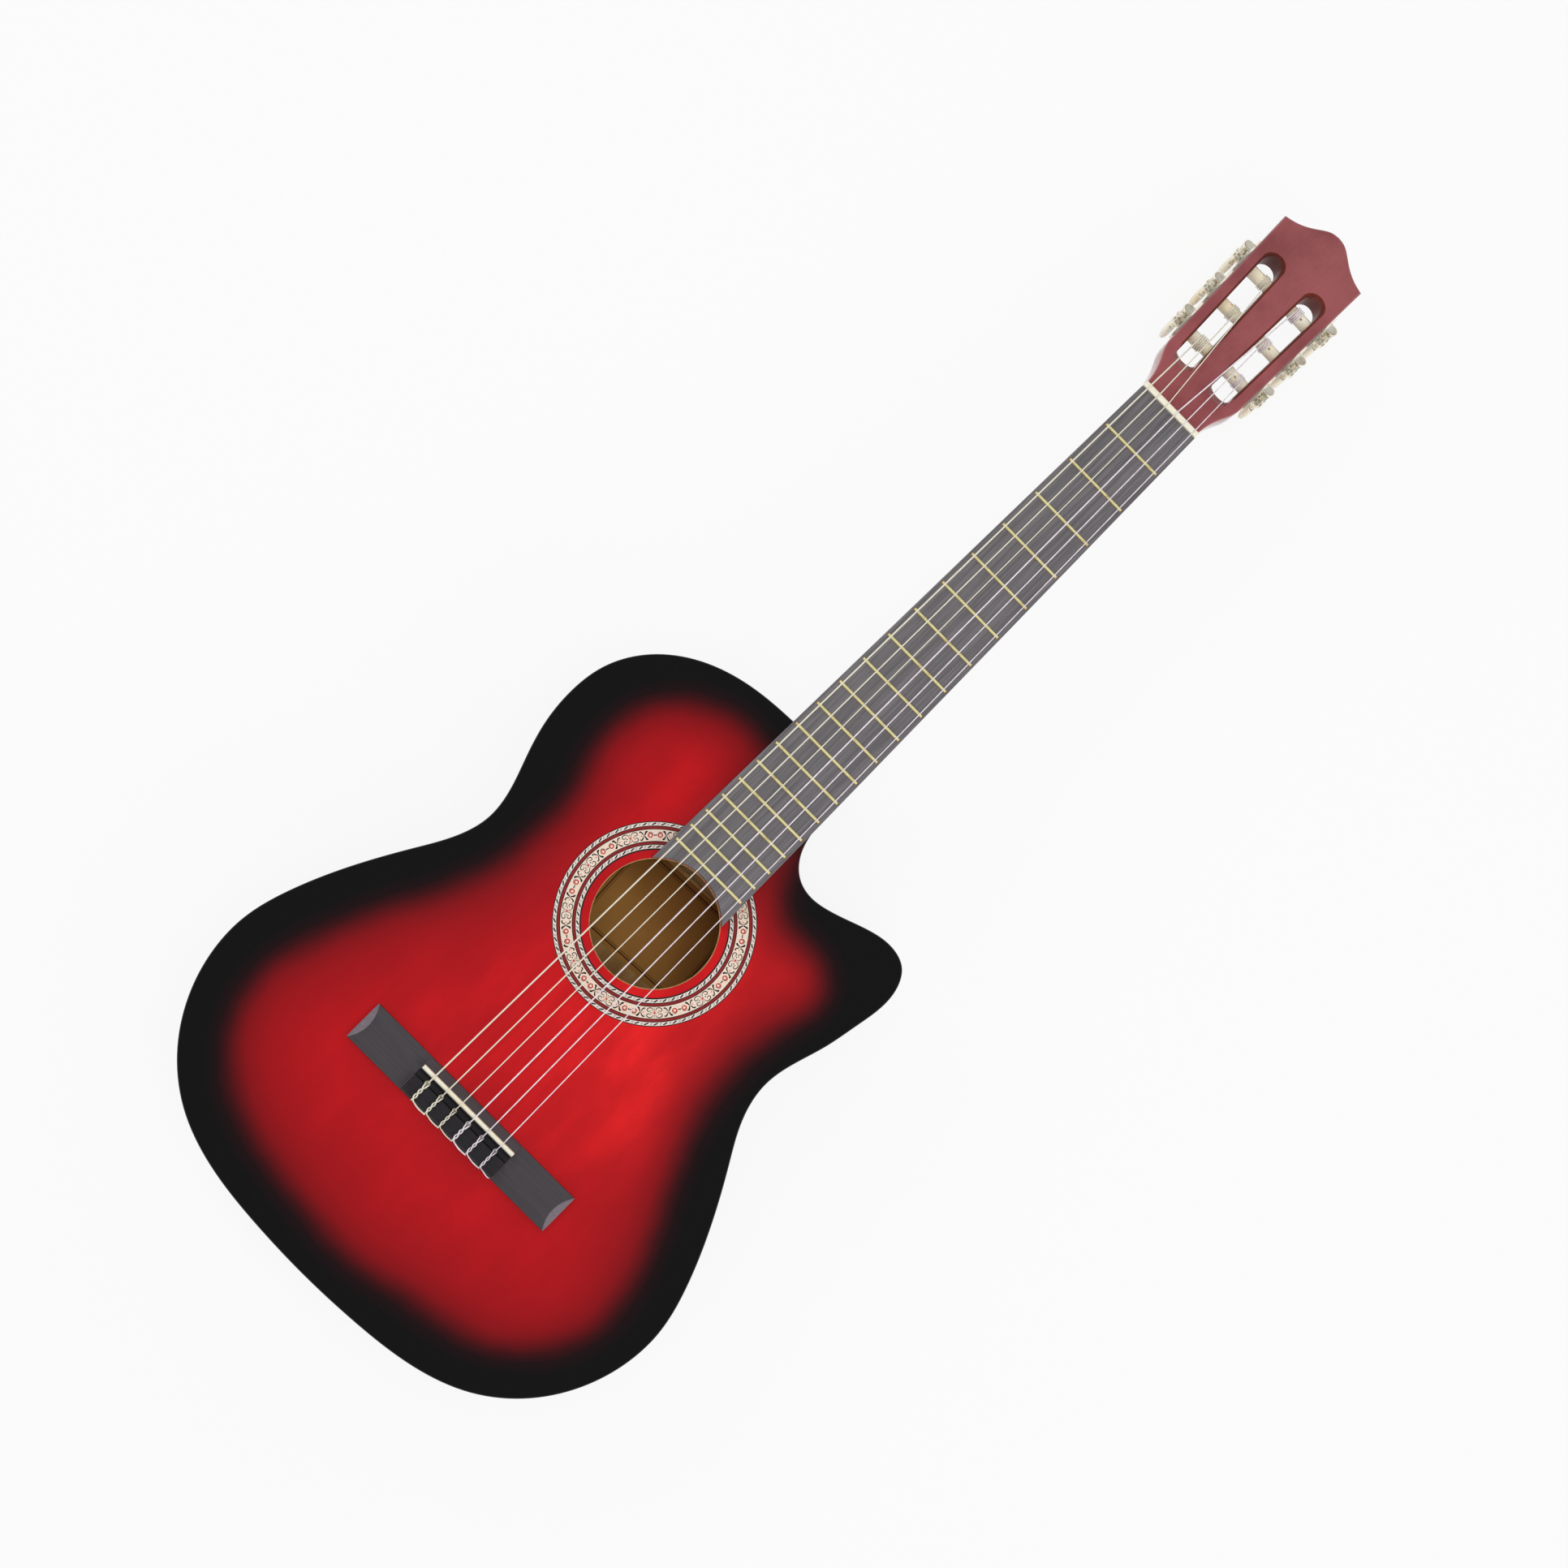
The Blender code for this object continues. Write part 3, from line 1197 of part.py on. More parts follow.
def string_route(number):
    """Points along a string, from its loose end at the bridge to its last turn on the roller."""
    radius = STRING_DIAMETERS[number] / 2
    x = string_x(number, STRING_SPACING_SADDLE)
    nut_x = string_x(number, STRING_SPACING_NUT)
    saddle_z = TOP_Z + SADDLE_HEIGHT + STRING_SADDLE_LIFT + radius
    nut_z = TOP_Z + NUT_HEIGHT - NUT_SLOT_DEPTH + GAP + radius
    over_saddle = [
        (x, TIE_BLOCK_FRONT_Y + 0.0003, TOP_Z + TIE_HOLE_HEIGHT),
        saddle_rear_point(number),
        (x, SADDLE_Y - 0.0009, saddle_z - 0.0003),
        (x, SADDLE_Y, saddle_z),
    ]
    over_nut = [(nut_x, SCALE_LENGTH, nut_z), (nut_x, SCALE_LENGTH + NUT_THICK, nut_z)]
    return tie_route(number) + over_saddle + over_nut + winding(number, over_nut[-1])


def strings():
    """Six strings, each one unbroken tube from its tie at the bridge to its roller."""
    for number, diameter in enumerate(STRING_DIAMETERS):
        curve = bpy.data.curves.new("string", "CURVE")
        curve.dimensions = "3D"
        curve.bevel_depth = diameter / 2
        curve.bevel_resolution = 1
        curve.use_fill_caps = True
        route = string_route(number)
        line = curve.splines.new("POLY")
        line.points.add(len(route) - 1)
        for point, spot in zip(line.points, route):
            point.co = (*spot, 1)
        add(f"string_{number + 1}", tidy(evaluated(curve)), NYLON if number < 3 else WOUND)


def main():
    soundboard()
    back_and_sides()
    blocks_and_linings()
    braces()
    label()
    fingerboard()
    neck()
    nut()
    bridge_and_saddle()
    strap_button()
    tuning_machines()
    strings()


main()
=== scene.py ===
"""Looks of the cutaway nylon-string guitar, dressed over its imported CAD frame.

Metres, +Z up, in the frame of the CAD: the guitar lies on its back, +Y runs along
the strings towards the head and +X towards the cutaway. Each sub-assembly is a class
that builds its own meshes in place and rides them on the bodies of the frame.
"""

from __future__ import annotations

import json
import logging
from collections.abc import Sequence
from dataclasses import dataclass, field
from enum import Enum
from math import acos, atan2, cos, hypot, pi, radians, sin, sqrt, tan

import bmesh
import bpy
import numpy as np
from bpy.types import ColorRamp, Material, Mesh, Node, NodeSocket, World
from mathutils import Matrix, Vector
from mathutils.geometry import delaunay_2d_cdt

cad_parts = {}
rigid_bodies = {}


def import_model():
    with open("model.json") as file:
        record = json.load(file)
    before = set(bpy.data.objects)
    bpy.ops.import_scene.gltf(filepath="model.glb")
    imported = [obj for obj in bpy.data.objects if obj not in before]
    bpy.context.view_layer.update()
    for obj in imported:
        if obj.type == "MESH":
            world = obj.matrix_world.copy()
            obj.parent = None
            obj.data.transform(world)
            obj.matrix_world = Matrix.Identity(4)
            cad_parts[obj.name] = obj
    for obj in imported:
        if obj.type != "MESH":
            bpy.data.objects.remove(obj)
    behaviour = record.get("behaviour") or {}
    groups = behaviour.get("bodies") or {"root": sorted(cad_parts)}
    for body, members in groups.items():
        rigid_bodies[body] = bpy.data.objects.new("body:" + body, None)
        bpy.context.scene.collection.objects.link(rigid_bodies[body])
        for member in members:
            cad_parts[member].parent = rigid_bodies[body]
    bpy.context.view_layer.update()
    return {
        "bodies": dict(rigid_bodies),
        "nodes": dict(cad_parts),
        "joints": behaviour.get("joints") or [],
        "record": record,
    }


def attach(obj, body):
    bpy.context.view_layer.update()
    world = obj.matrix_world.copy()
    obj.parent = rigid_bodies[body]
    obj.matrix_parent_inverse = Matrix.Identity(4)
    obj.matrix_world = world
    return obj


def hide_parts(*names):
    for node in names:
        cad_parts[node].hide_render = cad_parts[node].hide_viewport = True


LOG = logging.getLogger("guitar")
TURN = 2 * pi
MM = 0.001
ROOT_BODY = "guitar_body"

Tone = tuple[float, float, float, float]
Point = tuple[float, float]
Spot = tuple[float, float, float]
Loop = list[Point]
Loops = Sequence[Sequence[Point]]
Ring = list[Spot]
Faces = list[tuple[int, ...]]

# A form turned round Z, or drawn flat with its thickness along Z, laid along X.
TURNED_TO_X = Matrix.Rotation(pi / 2, 4, "Y")
THICKNESS_TO_X = Matrix(((0, 0, 1, 0), (1, 0, 0, 0), (0, 1, 0, 0), (0, 0, 0, 1)))


def tone(red: float, green: float, blue: float) -> Tone:
    """The linear colour that shaders take, from screen shares of 0 to 255."""
    shares = [value / 255 for value in (red, green, blue)]
    return (*(s / 12.92 if s <= 0.04045 else ((s + 0.055) / 1.055) ** 2.4 for s in shares), 1.0)


class Side(Enum):
    """The two sides of the head, each with the sign of its X."""

    TREBLE = 1
    BASS = -1

    @property
    def word(self) -> str:
        """Name of the side as the CAD nodes write it."""
        return self.name.lower()


class Slot(Enum):
    """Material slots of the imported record."""

    RED_BURST = "red_burst_lacquer"
    BLACK = "black_lacquer"
    WINE = "wine_red_lacquer"
    DARK_WOOD = "dark_fingerboard_wood"
    BONE = "cream_bone"
    PLASTIC = "cream_plastic"
    NICKEL = "nickel_plate"
    BRASS = "brass"
    PAPER = "paper"
    INLAY = "rosette_inlay"
    NYLON = "clear_nylon"
    WOUND = "wound_string"


class Wire:
    """One output of a node, written in sums and products as if it were a number."""

    def __init__(self, recipe: Recipe, socket: NodeSocket) -> None:
        """Keeps the output, and the recipe that its next nodes go into."""
        self.recipe = recipe
        self.socket = socket

    def math(self, operation: str, *numbers: Wire | float) -> Wire:
        """Adds a Math node with its numbers in order."""
        node = self.recipe.node("ShaderNodeMath", {"operation": operation}, dict(enumerate(numbers)))
        return self.recipe.wire(node)

    def __add__(self, other: Wire | float) -> Wire:
        """The sum."""
        return self.math("ADD", self, other)

    def __sub__(self, other: Wire | float) -> Wire:
        """The difference."""
        return self.math("SUBTRACT", self, other)

    def __rsub__(self, other: float) -> Wire:
        """A plain number less this one."""
        return self.math("SUBTRACT", other, self)

    def __mul__(self, other: Wire | float) -> Wire:
        """The product."""
        return self.math("MULTIPLY", self, other)

    def __truediv__(self, other: Wire | float) -> Wire:
        """The quotient."""
        return self.math("DIVIDE", self, other)

    def __rtruediv__(self, other: float) -> Wire:
        """A plain number over this one."""
        return self.math("DIVIDE", other, self)

    # Sums and products read the same with the plain number first.
    __radd__ = __add__
    __rmul__ = __mul__

    def sine(self) -> Wire:
        """The sine."""
        return self.math("SINE", self)

    def size(self) -> Wire:
        """The number without its sign."""
        return self.math("ABSOLUTE", self)

    def most(self, other: Wire | float) -> Wire:
        """The greater of the two."""
        return self.math("MAXIMUM", self, other)

    def rise(self, low: float, high: float) -> Wire:
        """A smooth step of this number.

        Args:
            low: Where the step is still 0.
            high: Where the step has reached 1.

        Returns:
            The step, from 0 to 1.
        """
        settings = {"interpolation_type": "SMOOTHSTEP"}
        sockets = {"Value": self, "From Min": low, "From Max": high}
        return self.recipe.wire(self.recipe.node("ShaderNodeMapRange", settings, sockets))


class Recipe:
    """The nodes of one material, round its Principled shader."""

    def __init__(self, name: str) -> None:
        """Makes the material.

        Args:
            name: Its name.
        """
        self.material = bpy.data.materials.new(name)
        self.material.use_nodes = True
        self.tree = self.material.node_tree
        self.shader = self.tree.nodes["Principled BSDF"]
        self._place: Wire | None = None

    def node(
        self,
        kind: str,
        settings: dict[str, object] | None = None,
        sockets: dict[str | int, object] | None = None,
    ) -> Node:
        """Adds a node: its settings first, then what its sockets hold.

        Args:
            kind: The node's type.
            settings: Its settings by name; "stops" holds a ramp's places and colours.
            sockets: Values or wires for its inputs, by name or number.

        Returns:
            The node.
        """
        made = self.tree.nodes.new(kind)
        for name, value in (settings or {}).items():
            if name == "stops":
                self._set_stops(made.color_ramp, value)
            else:
                setattr(made, name, value)
        for key, value in (sockets or {}).items():
            self.feed(made.inputs[key], value)
        return made

    @staticmethod
    def _set_stops(ramp: ColorRamp, stops: Sequence[tuple[float, Tone]]) -> None:
        """Gives a colour ramp its stops.

        Args:
            ramp: The ramp.
            stops: Places from 0 to 1, each with its colour.
        """
        while len(ramp.elements) < len(stops):
            ramp.elements.new(1.0)
        for element, (place, colour) in zip(ramp.elements, stops):
            element.position = place
            element.color = colour

    def feed(self, socket: NodeSocket, value: object) -> None:
        """Links an input to a wire, or sets it to a plain value.

        Args:
            socket: The input.
            value: A wire, a number or a colour.
        """
        if isinstance(value, Wire):
            self.tree.links.new(value.socket, socket)
        else:
            socket.default_value = value

    def wire(self, node: Node, output: str | int = 0) -> Wire:
        """One output of a node as a wire."""
        return Wire(self, node.outputs[output])

    def place(self) -> Wire:
        """The place on the guitar, in metres."""
        self._place = self._place or self.wire(self.node("ShaderNodeTexCoord"), "Object")
        return self._place

    def noise(self, scale: float, detail: float = 2.0, where: Wire | None = None) -> Wire:
        """Random variation round one half: features to the metre, and finer layers on top."""
        sockets = {"Vector": where or self.place(), "Scale": scale, "Detail": detail}
        return self.wire(self.node("ShaderNodeTexNoise", None, sockets))

    def streaks(self, detail: float, scales: Spot) -> Wire:
        """Random variation with its own scale along each axis."""
        mapping = self.node("ShaderNodeMapping", None, {"Vector": self.place(), "Scale": scales})
        return self.noise(1.0, detail, self.wire(mapping))

    def attribute(self, name: str) -> Wire:
        """A number that the mesh carries at its points."""
        return self.wire(self.node("ShaderNodeAttribute", {"attribute_name": name}), "Fac")

    def part_of_place(self, axis: str) -> Wire:
        """One coordinate of the place."""
        return self.wire(self.node("ShaderNodeSeparateXYZ", None, {0: self.place()}), axis)

    def mix(self, share: Wire | float, first: Wire | Tone, second: Wire | Tone) -> Wire:
        """Mixes two colours, with a share of the second."""
        settings = {"data_type": "RGBA", "clamp_factor": True}
        return self.wire(self.node("ShaderNodeMix", settings, {0: share, 6: first, 7: second}), 2)

    def ramp(self, value: Wire, stops: Sequence[tuple[float, Tone]]) -> Wire:
        """A colour read from a ramp of stops."""
        return self.wire(self.node("ShaderNodeValToRGB", {"stops": stops}, {0: value}))

    def bump(self, height: Wire, depth: float) -> None:
        """Gives the surface a relief, so many metres deep where the height is 1."""
        sockets = {"Height": height, "Distance": depth, "Strength": 1.0}
        self.feed(self.shader.inputs["Normal"], self.wire(self.node("ShaderNodeBump", None, sockets)))

    def surface(
        self,
        colour: Wire | Tone,
        roughness: Wire | float,
        specular: float = 0.5,
        coat: tuple[float, float] = (0.0, 0.03),
        **others: float | Spot,
    ) -> Material:
        """Sets the shader's own inputs.

        Args:
            colour: The base colour.
            roughness: The roughness.
            specular: How strongly the bare surface reflects.
            coat: The clear coat's weight and its roughness.
            others: More inputs by name, in small letters.

        Returns:
            The material.
        """
        inputs = {"Base Color": colour, "Roughness": roughness, "Specular IOR Level": specular}
        inputs |= {"Coat Weight": coat[0], "Coat Roughness": coat[1]}
        inputs |= {name.replace("_", " ").title(): value for name, value in others.items()}
        for name, value in inputs.items():
            self.feed(self.shader.inputs[name], value)
        return self.material


@dataclass(frozen=True)
class BurstLacquer:
    """Clear-coated red that fades to black towards the edge of the soundboard.

    The mesh carries "burst", the distance inside the red area's middle line in
    metres, and "glow", the share of painted highlight that brightens the red.
    """

    name: str = "burst lacquer"
    reach_out: float = 0.018
    reach_in: float = 0.062
    waver: float = 0.010
    # Places on the way in, from 0 to 1, each with its red, green and blue.
    fades: tuple[tuple[float, int, int, int], ...] = (
        (0.00, 9, 8, 9), (0.10, 28, 6, 9), (0.17, 60, 6, 11), (0.24, 98, 6, 13), (0.33, 136, 7, 16),
        (0.48, 162, 8, 18), (0.72, 182, 9, 19), (1.00, 194, 10, 21),
    )

    def make(self) -> Material:
        """Makes the material.

        Returns:
            The material.
        """
        recipe = Recipe(self.name)
        cloud = recipe.noise(16, 3)
        depth = recipe.attribute("burst") + (cloud - 0.5) * self.waver
        share = (depth + self.reach_out) / (self.reach_out + self.reach_in)
        fade = recipe.ramp(share, [(place, tone(*colour)) for place, *colour in self.fades])
        mottle = recipe.streaks(4, (46, 21, 46)).rise(0.30, 0.78)
        grain = recipe.streaks(3, (900, 24, 900))
        red = share.rise(0.25, 0.7)
        # Painted highlight: where the glow numbers say, the red is lifted towards a bright red.
        bright = recipe.attribute("glow") * (0.55 + 0.45 * mottle) * red
        colour = recipe.mix(bright, fade, tone(246, 30, 32))
        deep = (1 - mottle) * red * 0.22 + (grain - 0.5) * red * 0.16
        colour = recipe.mix(deep, colour, tone(128, 5, 13))
        recipe.bump(grain * 0.25 + cloud, 0.00003)
        return recipe.surface(colour, 0.30 + 0.10 * cloud, specular=0.08, coat=(1.0, 0.035))


@dataclass(frozen=True)
class Finish:
    """A named finish that mixes two colours by what its layers say."""

    name: str
    colour: Tone
    second: Tone


@dataclass(frozen=True)
class GlossLacquer(Finish):
    """Thick gloss lacquer with faint clouds of colour and a ripple that bends reflections."""

    grain: float = 0.0
    coat: float = 1.0

    def make(self) -> Material:
        """Makes the material.

        Returns:
            The material.
        """
        recipe = Recipe(self.name)
        cloud = recipe.noise(22, 4)
        lines = recipe.streaks(3, (520, 9, 520))
        share = cloud.rise(0.30, 0.72) * (1 - self.grain) + lines * self.grain
        dust = recipe.noise(2600, 1).rise(0.68, 0.78)
        recipe.bump(recipe.noise(70, 2), 0.00004)
        colour = recipe.mix(share, self.colour, self.second)
        return recipe.surface(colour, 0.28 + 0.20 * cloud + 0.15 * dust, 0.15, (self.coat, 0.04))


@dataclass(frozen=True)
class BareWood(Finish):
    """Unfinished softwood, with its growth lines along one axis."""

    scales: Spot

    def make(self) -> Material:
        """Makes the material.

        Returns:
            The material.
        """
        recipe = Recipe(self.name)
        lines = recipe.streaks(4, self.scales)
        fibre = recipe.streaks(3, tuple(scale * 5 for scale in self.scales))
        stain = recipe.noise(24, 3)
        share = lines.rise(0.38, 0.66) * 0.65 + fibre * 0.25 + stain * 0.15
        recipe.bump(lines * 0.6 + fibre * 0.4, 0.00012)
        return recipe.surface(recipe.mix(share, self.colour, self.second), 0.62 + 0.22 * fibre)


@dataclass(frozen=True)
class DyedWood(Finish):
    """Dark dyed hardwood with streaks along its grain and short open pores."""

    scales: Spot
    roughness: float
    strength: float = 1.0
    pore: Tone = tone(24, 22, 23)

    def make(self) -> Material:
        """Makes the material.

        Returns:
            The material.
        """
        recipe = Recipe(self.name)
        lines = recipe.streaks(5, self.scales)
        fine = recipe.streaks(3, tuple(scale * 3.2 for scale in self.scales))
        cloud = recipe.noise(34, 3)
        pores = fine.rise(0.60, 0.70)
        share = (lines.rise(0.30, 0.72) * 0.6 + fine * 0.35) * self.strength + cloud * 0.25
        colour = recipe.mix(share, self.colour, self.second)
        colour = recipe.mix(pores * 0.35 * self.strength, colour, self.pore)
        recipe.bump(lines * 0.4 + fine * 0.3 - pores * 0.5, 0.00009)
        return recipe.surface(colour, self.roughness + 0.16 * cloud + 0.10 * pores, specular=0.4)


@dataclass(frozen=True)
class Cream(Finish):
    """Bone or cast plastic: cloudy cream with fine scratches and a little depth."""

    roughness: float
    scales: Spot = (60, 60, 60)
    depths: Spot = (0.002, 0.0016, 0.001)

    def make(self) -> Material:
        """Makes the material.

        Returns:
            The material.
        """
        recipe = Recipe(self.name)
        cloud = recipe.streaks(4, self.scales)
        specks = recipe.noise(1900, 2)
        recipe.bump(specks * 0.3 + cloud, 0.00003)
        colour = recipe.mix(cloud.rise(0.34, 0.74), self.colour, self.second)
        depth = {"subsurface_weight": 0.06, "subsurface_radius": self.depths, "subsurface_scale": 1.0}
        return recipe.surface(colour, self.roughness + 0.18 * specks, **depth)


@dataclass(frozen=True)
class Metal(Finish):
    """Plated or drawn metal with a slight haze and fine scratches, and painted shade low down where a piece
    has it.
    """

    roughness: float
    scales: Spot = (700, 700, 700)
    metallic: float = 1.0
    # Heights between which the painted shade below gives way to the plain colour above, where a piece has
    # them.
    rubbed: Point | None = None

    def make(self) -> Material:
        """Makes the material.

        Returns:
            The material.
        """
        recipe = Recipe(self.name)
        haze = recipe.noise(180, 3)
        scratch = recipe.streaks(3, self.scales)
        share = haze.rise(0.42, 0.80) * 0.55 + scratch.rise(0.62, 0.80) * 0.30
        # Painted shade: below these heights the metal takes its darker second colour.
        if self.rubbed:
            share = share.most(1 - recipe.part_of_place("Z").rise(*self.rubbed))
        recipe.bump(scratch * 0.5 + haze, 0.00002)
        colour = recipe.mix(share, self.colour, self.second)
        roughness = self.roughness + 0.16 * haze + 0.10 * scratch
        return recipe.surface(colour, roughness, metallic=self.metallic)


@dataclass(frozen=True)
class Dye(Finish):
    """One dyed veneer of the rosette under the clear coat."""

    def make(self) -> Material:
        """Makes the material.

        Returns:
            The material.
        """
        recipe = Recipe(self.name)
        fibre = recipe.noise(950, 3)
        cloud = recipe.noise(130, 2)
        share = fibre.rise(0.35, 0.75) * 0.6 + cloud * 0.3
        recipe.bump(fibre, 0.00001)
        colour = recipe.mix(share, self.colour, self.second)
        return recipe.surface(colour, 0.34 + 0.12 * cloud, specular=0.3, coat=(0.8, 0.05))


@dataclass(frozen=True)
class LabelPaper:
    """Paper, darker towards the neck and the treble side as painted shade, with a border of one broad line
    and a thin one inside it.

    The mesh carries "frame", the distance inside the broad line in metres.
    """

    name: str = "label paper"
    paper: Tone = tone(216, 158, 84)
    # Colour of the paper in its painted shade.
    aged: Tone = tone(160, 106, 52)
    ink: Tone = tone(66, 38, 18)
    thin_apart: float = 0.0017
    thick_half: float = 0.0005
    thin_half: float = 0.00022

    def make(self) -> Material:
        """Makes the material.

        Returns:
            The material.
        """
        recipe = Recipe(self.name)
        cloud = recipe.noise(26, 3)
        fibre = recipe.noise(1500, 3)
        across, along = recipe.part_of_place("X"), recipe.part_of_place("Y")
        # Painted shade: the paper darkens towards the neck and the treble side, with random clouds in it.
        painted_shade = (cloud * 0.5 + (along - 0.145) * 9.0 + across * 4.0).rise(-0.1, 0.9)
        colour = recipe.mix(painted_shade, self.paper, self.aged)
        frame = recipe.attribute("frame") + (fibre - 0.5) * 0.0002
        broad = 1 - frame.size().rise(self.thick_half * 0.7, self.thick_half * 1.4)
        thin = 1 - (frame - self.thin_apart).size().rise(self.thin_half * 0.6, self.thin_half * 1.8)
        colour = recipe.mix(broad.most(thin * 0.8) * 0.85, colour, self.ink)
        recipe.bump(fibre, 0.00006)
        return recipe.surface(colour, 0.72 + 0.18 * fibre)


@dataclass(frozen=True)
class Nylon(Finish):
    """Clear drawn nylon, cloudy in random patches.

    The mesh carries "along", the length along the string in metres.
    """

    def make(self) -> Material:
        """Makes the material.

        Returns:
            The material.
        """
        recipe = Recipe(self.name)
        cloud = recipe.noise(320, 3)
        draw = (recipe.attribute("along") * 5200.0 + cloud * 5).sine() * 0.5 + 0.5
        recipe.bump(draw, 0.00001)
        colour = recipe.mix(cloud.rise(0.3, 0.75), self.colour, self.second)
        return recipe.surface(colour, 0.16 + 0.14 * cloud, coat=(0.5, 0.05))


@dataclass(frozen=True)
class Winding(Finish):
    """Fine plated wire wound round a string, a groove between each two turns.

    The mesh carries "along", the length along the string in metres.
    """

    pitch: float = 0.00034

    def make(self) -> Material:
        """Makes the material.

        Returns:
            The material.
        """
        recipe = Recipe(self.name)
        haze = recipe.noise(140, 3)
        turns = (recipe.attribute("along") * (TURN / self.pitch)).sine() * 0.5 + 0.5
        tarnish = recipe.noise(900, 2).rise(0.5, 0.8)
        # The darker second colour in the grooves between turns is painted shade; haze and tarnish mix in
        # random spots of it.
        share = (1 - turns) * 0.40 + haze * 0.25 + tarnish * 0.25
        recipe.bump(turns, 0.00005)
        colour = recipe.mix(share, self.colour, self.second)
        return recipe.surface(colour, 0.26 + 0.18 * haze, metallic=0.15)


@dataclass(frozen=True)
class Floor(Finish):
    """White paper floor: it takes the guitar's shadow and shows white to a camera."""

    glow: float = 0.88

    def make(self) -> Material:
        """Makes the material.

        Returns:
            The material.
        """
        recipe = Recipe(self.name)
        fibre = recipe.noise(900, 2)
        rays = recipe.node("ShaderNodeLightPath")
        seen = recipe.wire(rays, "Is Camera Ray").most(recipe.wire(rays, "Is Glossy Ray"))
        seen = seen.most(recipe.wire(rays, "Is Transmission Ray"))
        recipe.surface(recipe.mix(fibre, self.colour, self.second), 0.9, specular=0.1)
        paper = recipe.wire(recipe.shader)
        white = recipe.wire(recipe.node("ShaderNodeEmission", None, {"Strength": 1.0}))
        both = recipe.node("ShaderNodeMixShader", None, {0: seen * self.glow, 1: paper, 2: white})
        recipe.feed(recipe.tree.nodes["Material Output"].inputs["Surface"], recipe.wire(both))
        return recipe.material


class Finishes:
    """Every material of the guitar, made once and shared by its pieces."""

    def __init__(self) -> None:
        """Makes the materials."""
        self.burst = BurstLacquer().make()
        self.black = GlossLacquer("black gloss lacquer", tone(7, 6, 7), tone(12, 11, 12)).make()
        self.wine = GlossLacquer("wine gloss lacquer", tone(168, 88, 90), tone(126, 54, 58), 0.3).make()
        # A darker wine for the slot walls, painted shade inside the slots, with a thin coat.
        shade = tone(122, 50, 36), tone(66, 24, 20)
        self.wine_shade = GlossLacquer("wine slot lacquer", *shade, grain=0.5, coat=0.12).make()
        pale, deep = tone(205, 165, 112), tone(160, 112, 64)
        self.spruce = BareWood("spruce along", pale, deep, (520, 14, 520)).make()
        pale, deep = tone(212, 176, 124), tone(176, 130, 80)
        self.brace = BareWood("spruce across", pale, deep, (14, 520, 520)).make()
        pale, deep = tone(226, 178, 116), tone(186, 138, 80)
        self.inside = BareWood("inner veneer", pale, deep, (90, 9, 90)).make()
        dark, light = tone(84, 81, 84), tone(130, 126, 129)
        self.board = DyedWood("fingerboard wood", dark, light, (1100, 15, 1100), 0.46).make()
        dark, light = tone(62, 58, 61), tone(82, 77, 81)
        self.bridge = DyedWood("bridge wood", dark, light, (26, 900, 900), 0.36, 0.5).make()
        # Lighter cut wood for the wing facets, also used as a painted highlight along the centre block's
        # edges.
        dark, light = tone(106, 96, 104), tone(138, 127, 135)
        self.scoop = DyedWood("cut bridge wood", dark, light, (900, 900, 26), 0.42, 0.7).make()
        # Dark polished tie block; the same finish paints shade into the groove before it.
        dark, light = tone(36, 34, 37), tone(50, 47, 51)
        self.tie = DyedWood("polished tie block", dark, light, (26, 900, 900), 0.18, 0.3).make()
        self.bone = Cream("bone", tone(253, 248, 228), tone(242, 231, 192), 0.24, (30, 260, 260)).make()
        self.plastic = Cream("cream plastic", tone(255, 248, 228), tone(248, 232, 198), 0.20).make()
        plate = tone(255, 249, 232), tone(176, 144, 100)
        self.nickel = Metal("nickel plate", *plate, 0.10, metallic=0.78).make()
        wire, worn = (tone(255, 252, 190), tone(186, 142, 62)), (40, 1400, 1400)
        # The frets' lower flanks take the darker brass as painted shade; above the board the crowns keep the
        # plain colour.
        heights = (LAYOUT.board_z + 0.0004, LAYOUT.board_z + 0.0010)
        self.brass = Metal("fret brass", *wire, 0.24, worn, 0.35, rubbed=heights).make()
        self.gold = Metal("lacquered brass", tone(216, 190, 122), tone(150, 122, 66), 0.22).make()
        self.paper = LabelPaper().make()
        self.nylon = Nylon("clear nylon", tone(250, 242, 246), tone(226, 212, 220)).make()
        self.winding = Winding("wound string wire", tone(255, 253, 242), tone(230, 216, 172)).make()
        # In the order of the rosette's veneers.
        dyes = (
            ("ivory", (247, 228, 210), (234, 208, 186)),
            ("white", (242, 232, 222), (222, 208, 196)),
            ("black", (24, 20, 20), (40, 32, 32)),
            ("red", (150, 34, 32), (118, 22, 24)),
            ("coral", (206, 62, 52), (186, 46, 40)),
        )
        self.veneers = [Dye(name + " veneer", tone(*one), tone(*two)).make() for name, one, two in dyes]


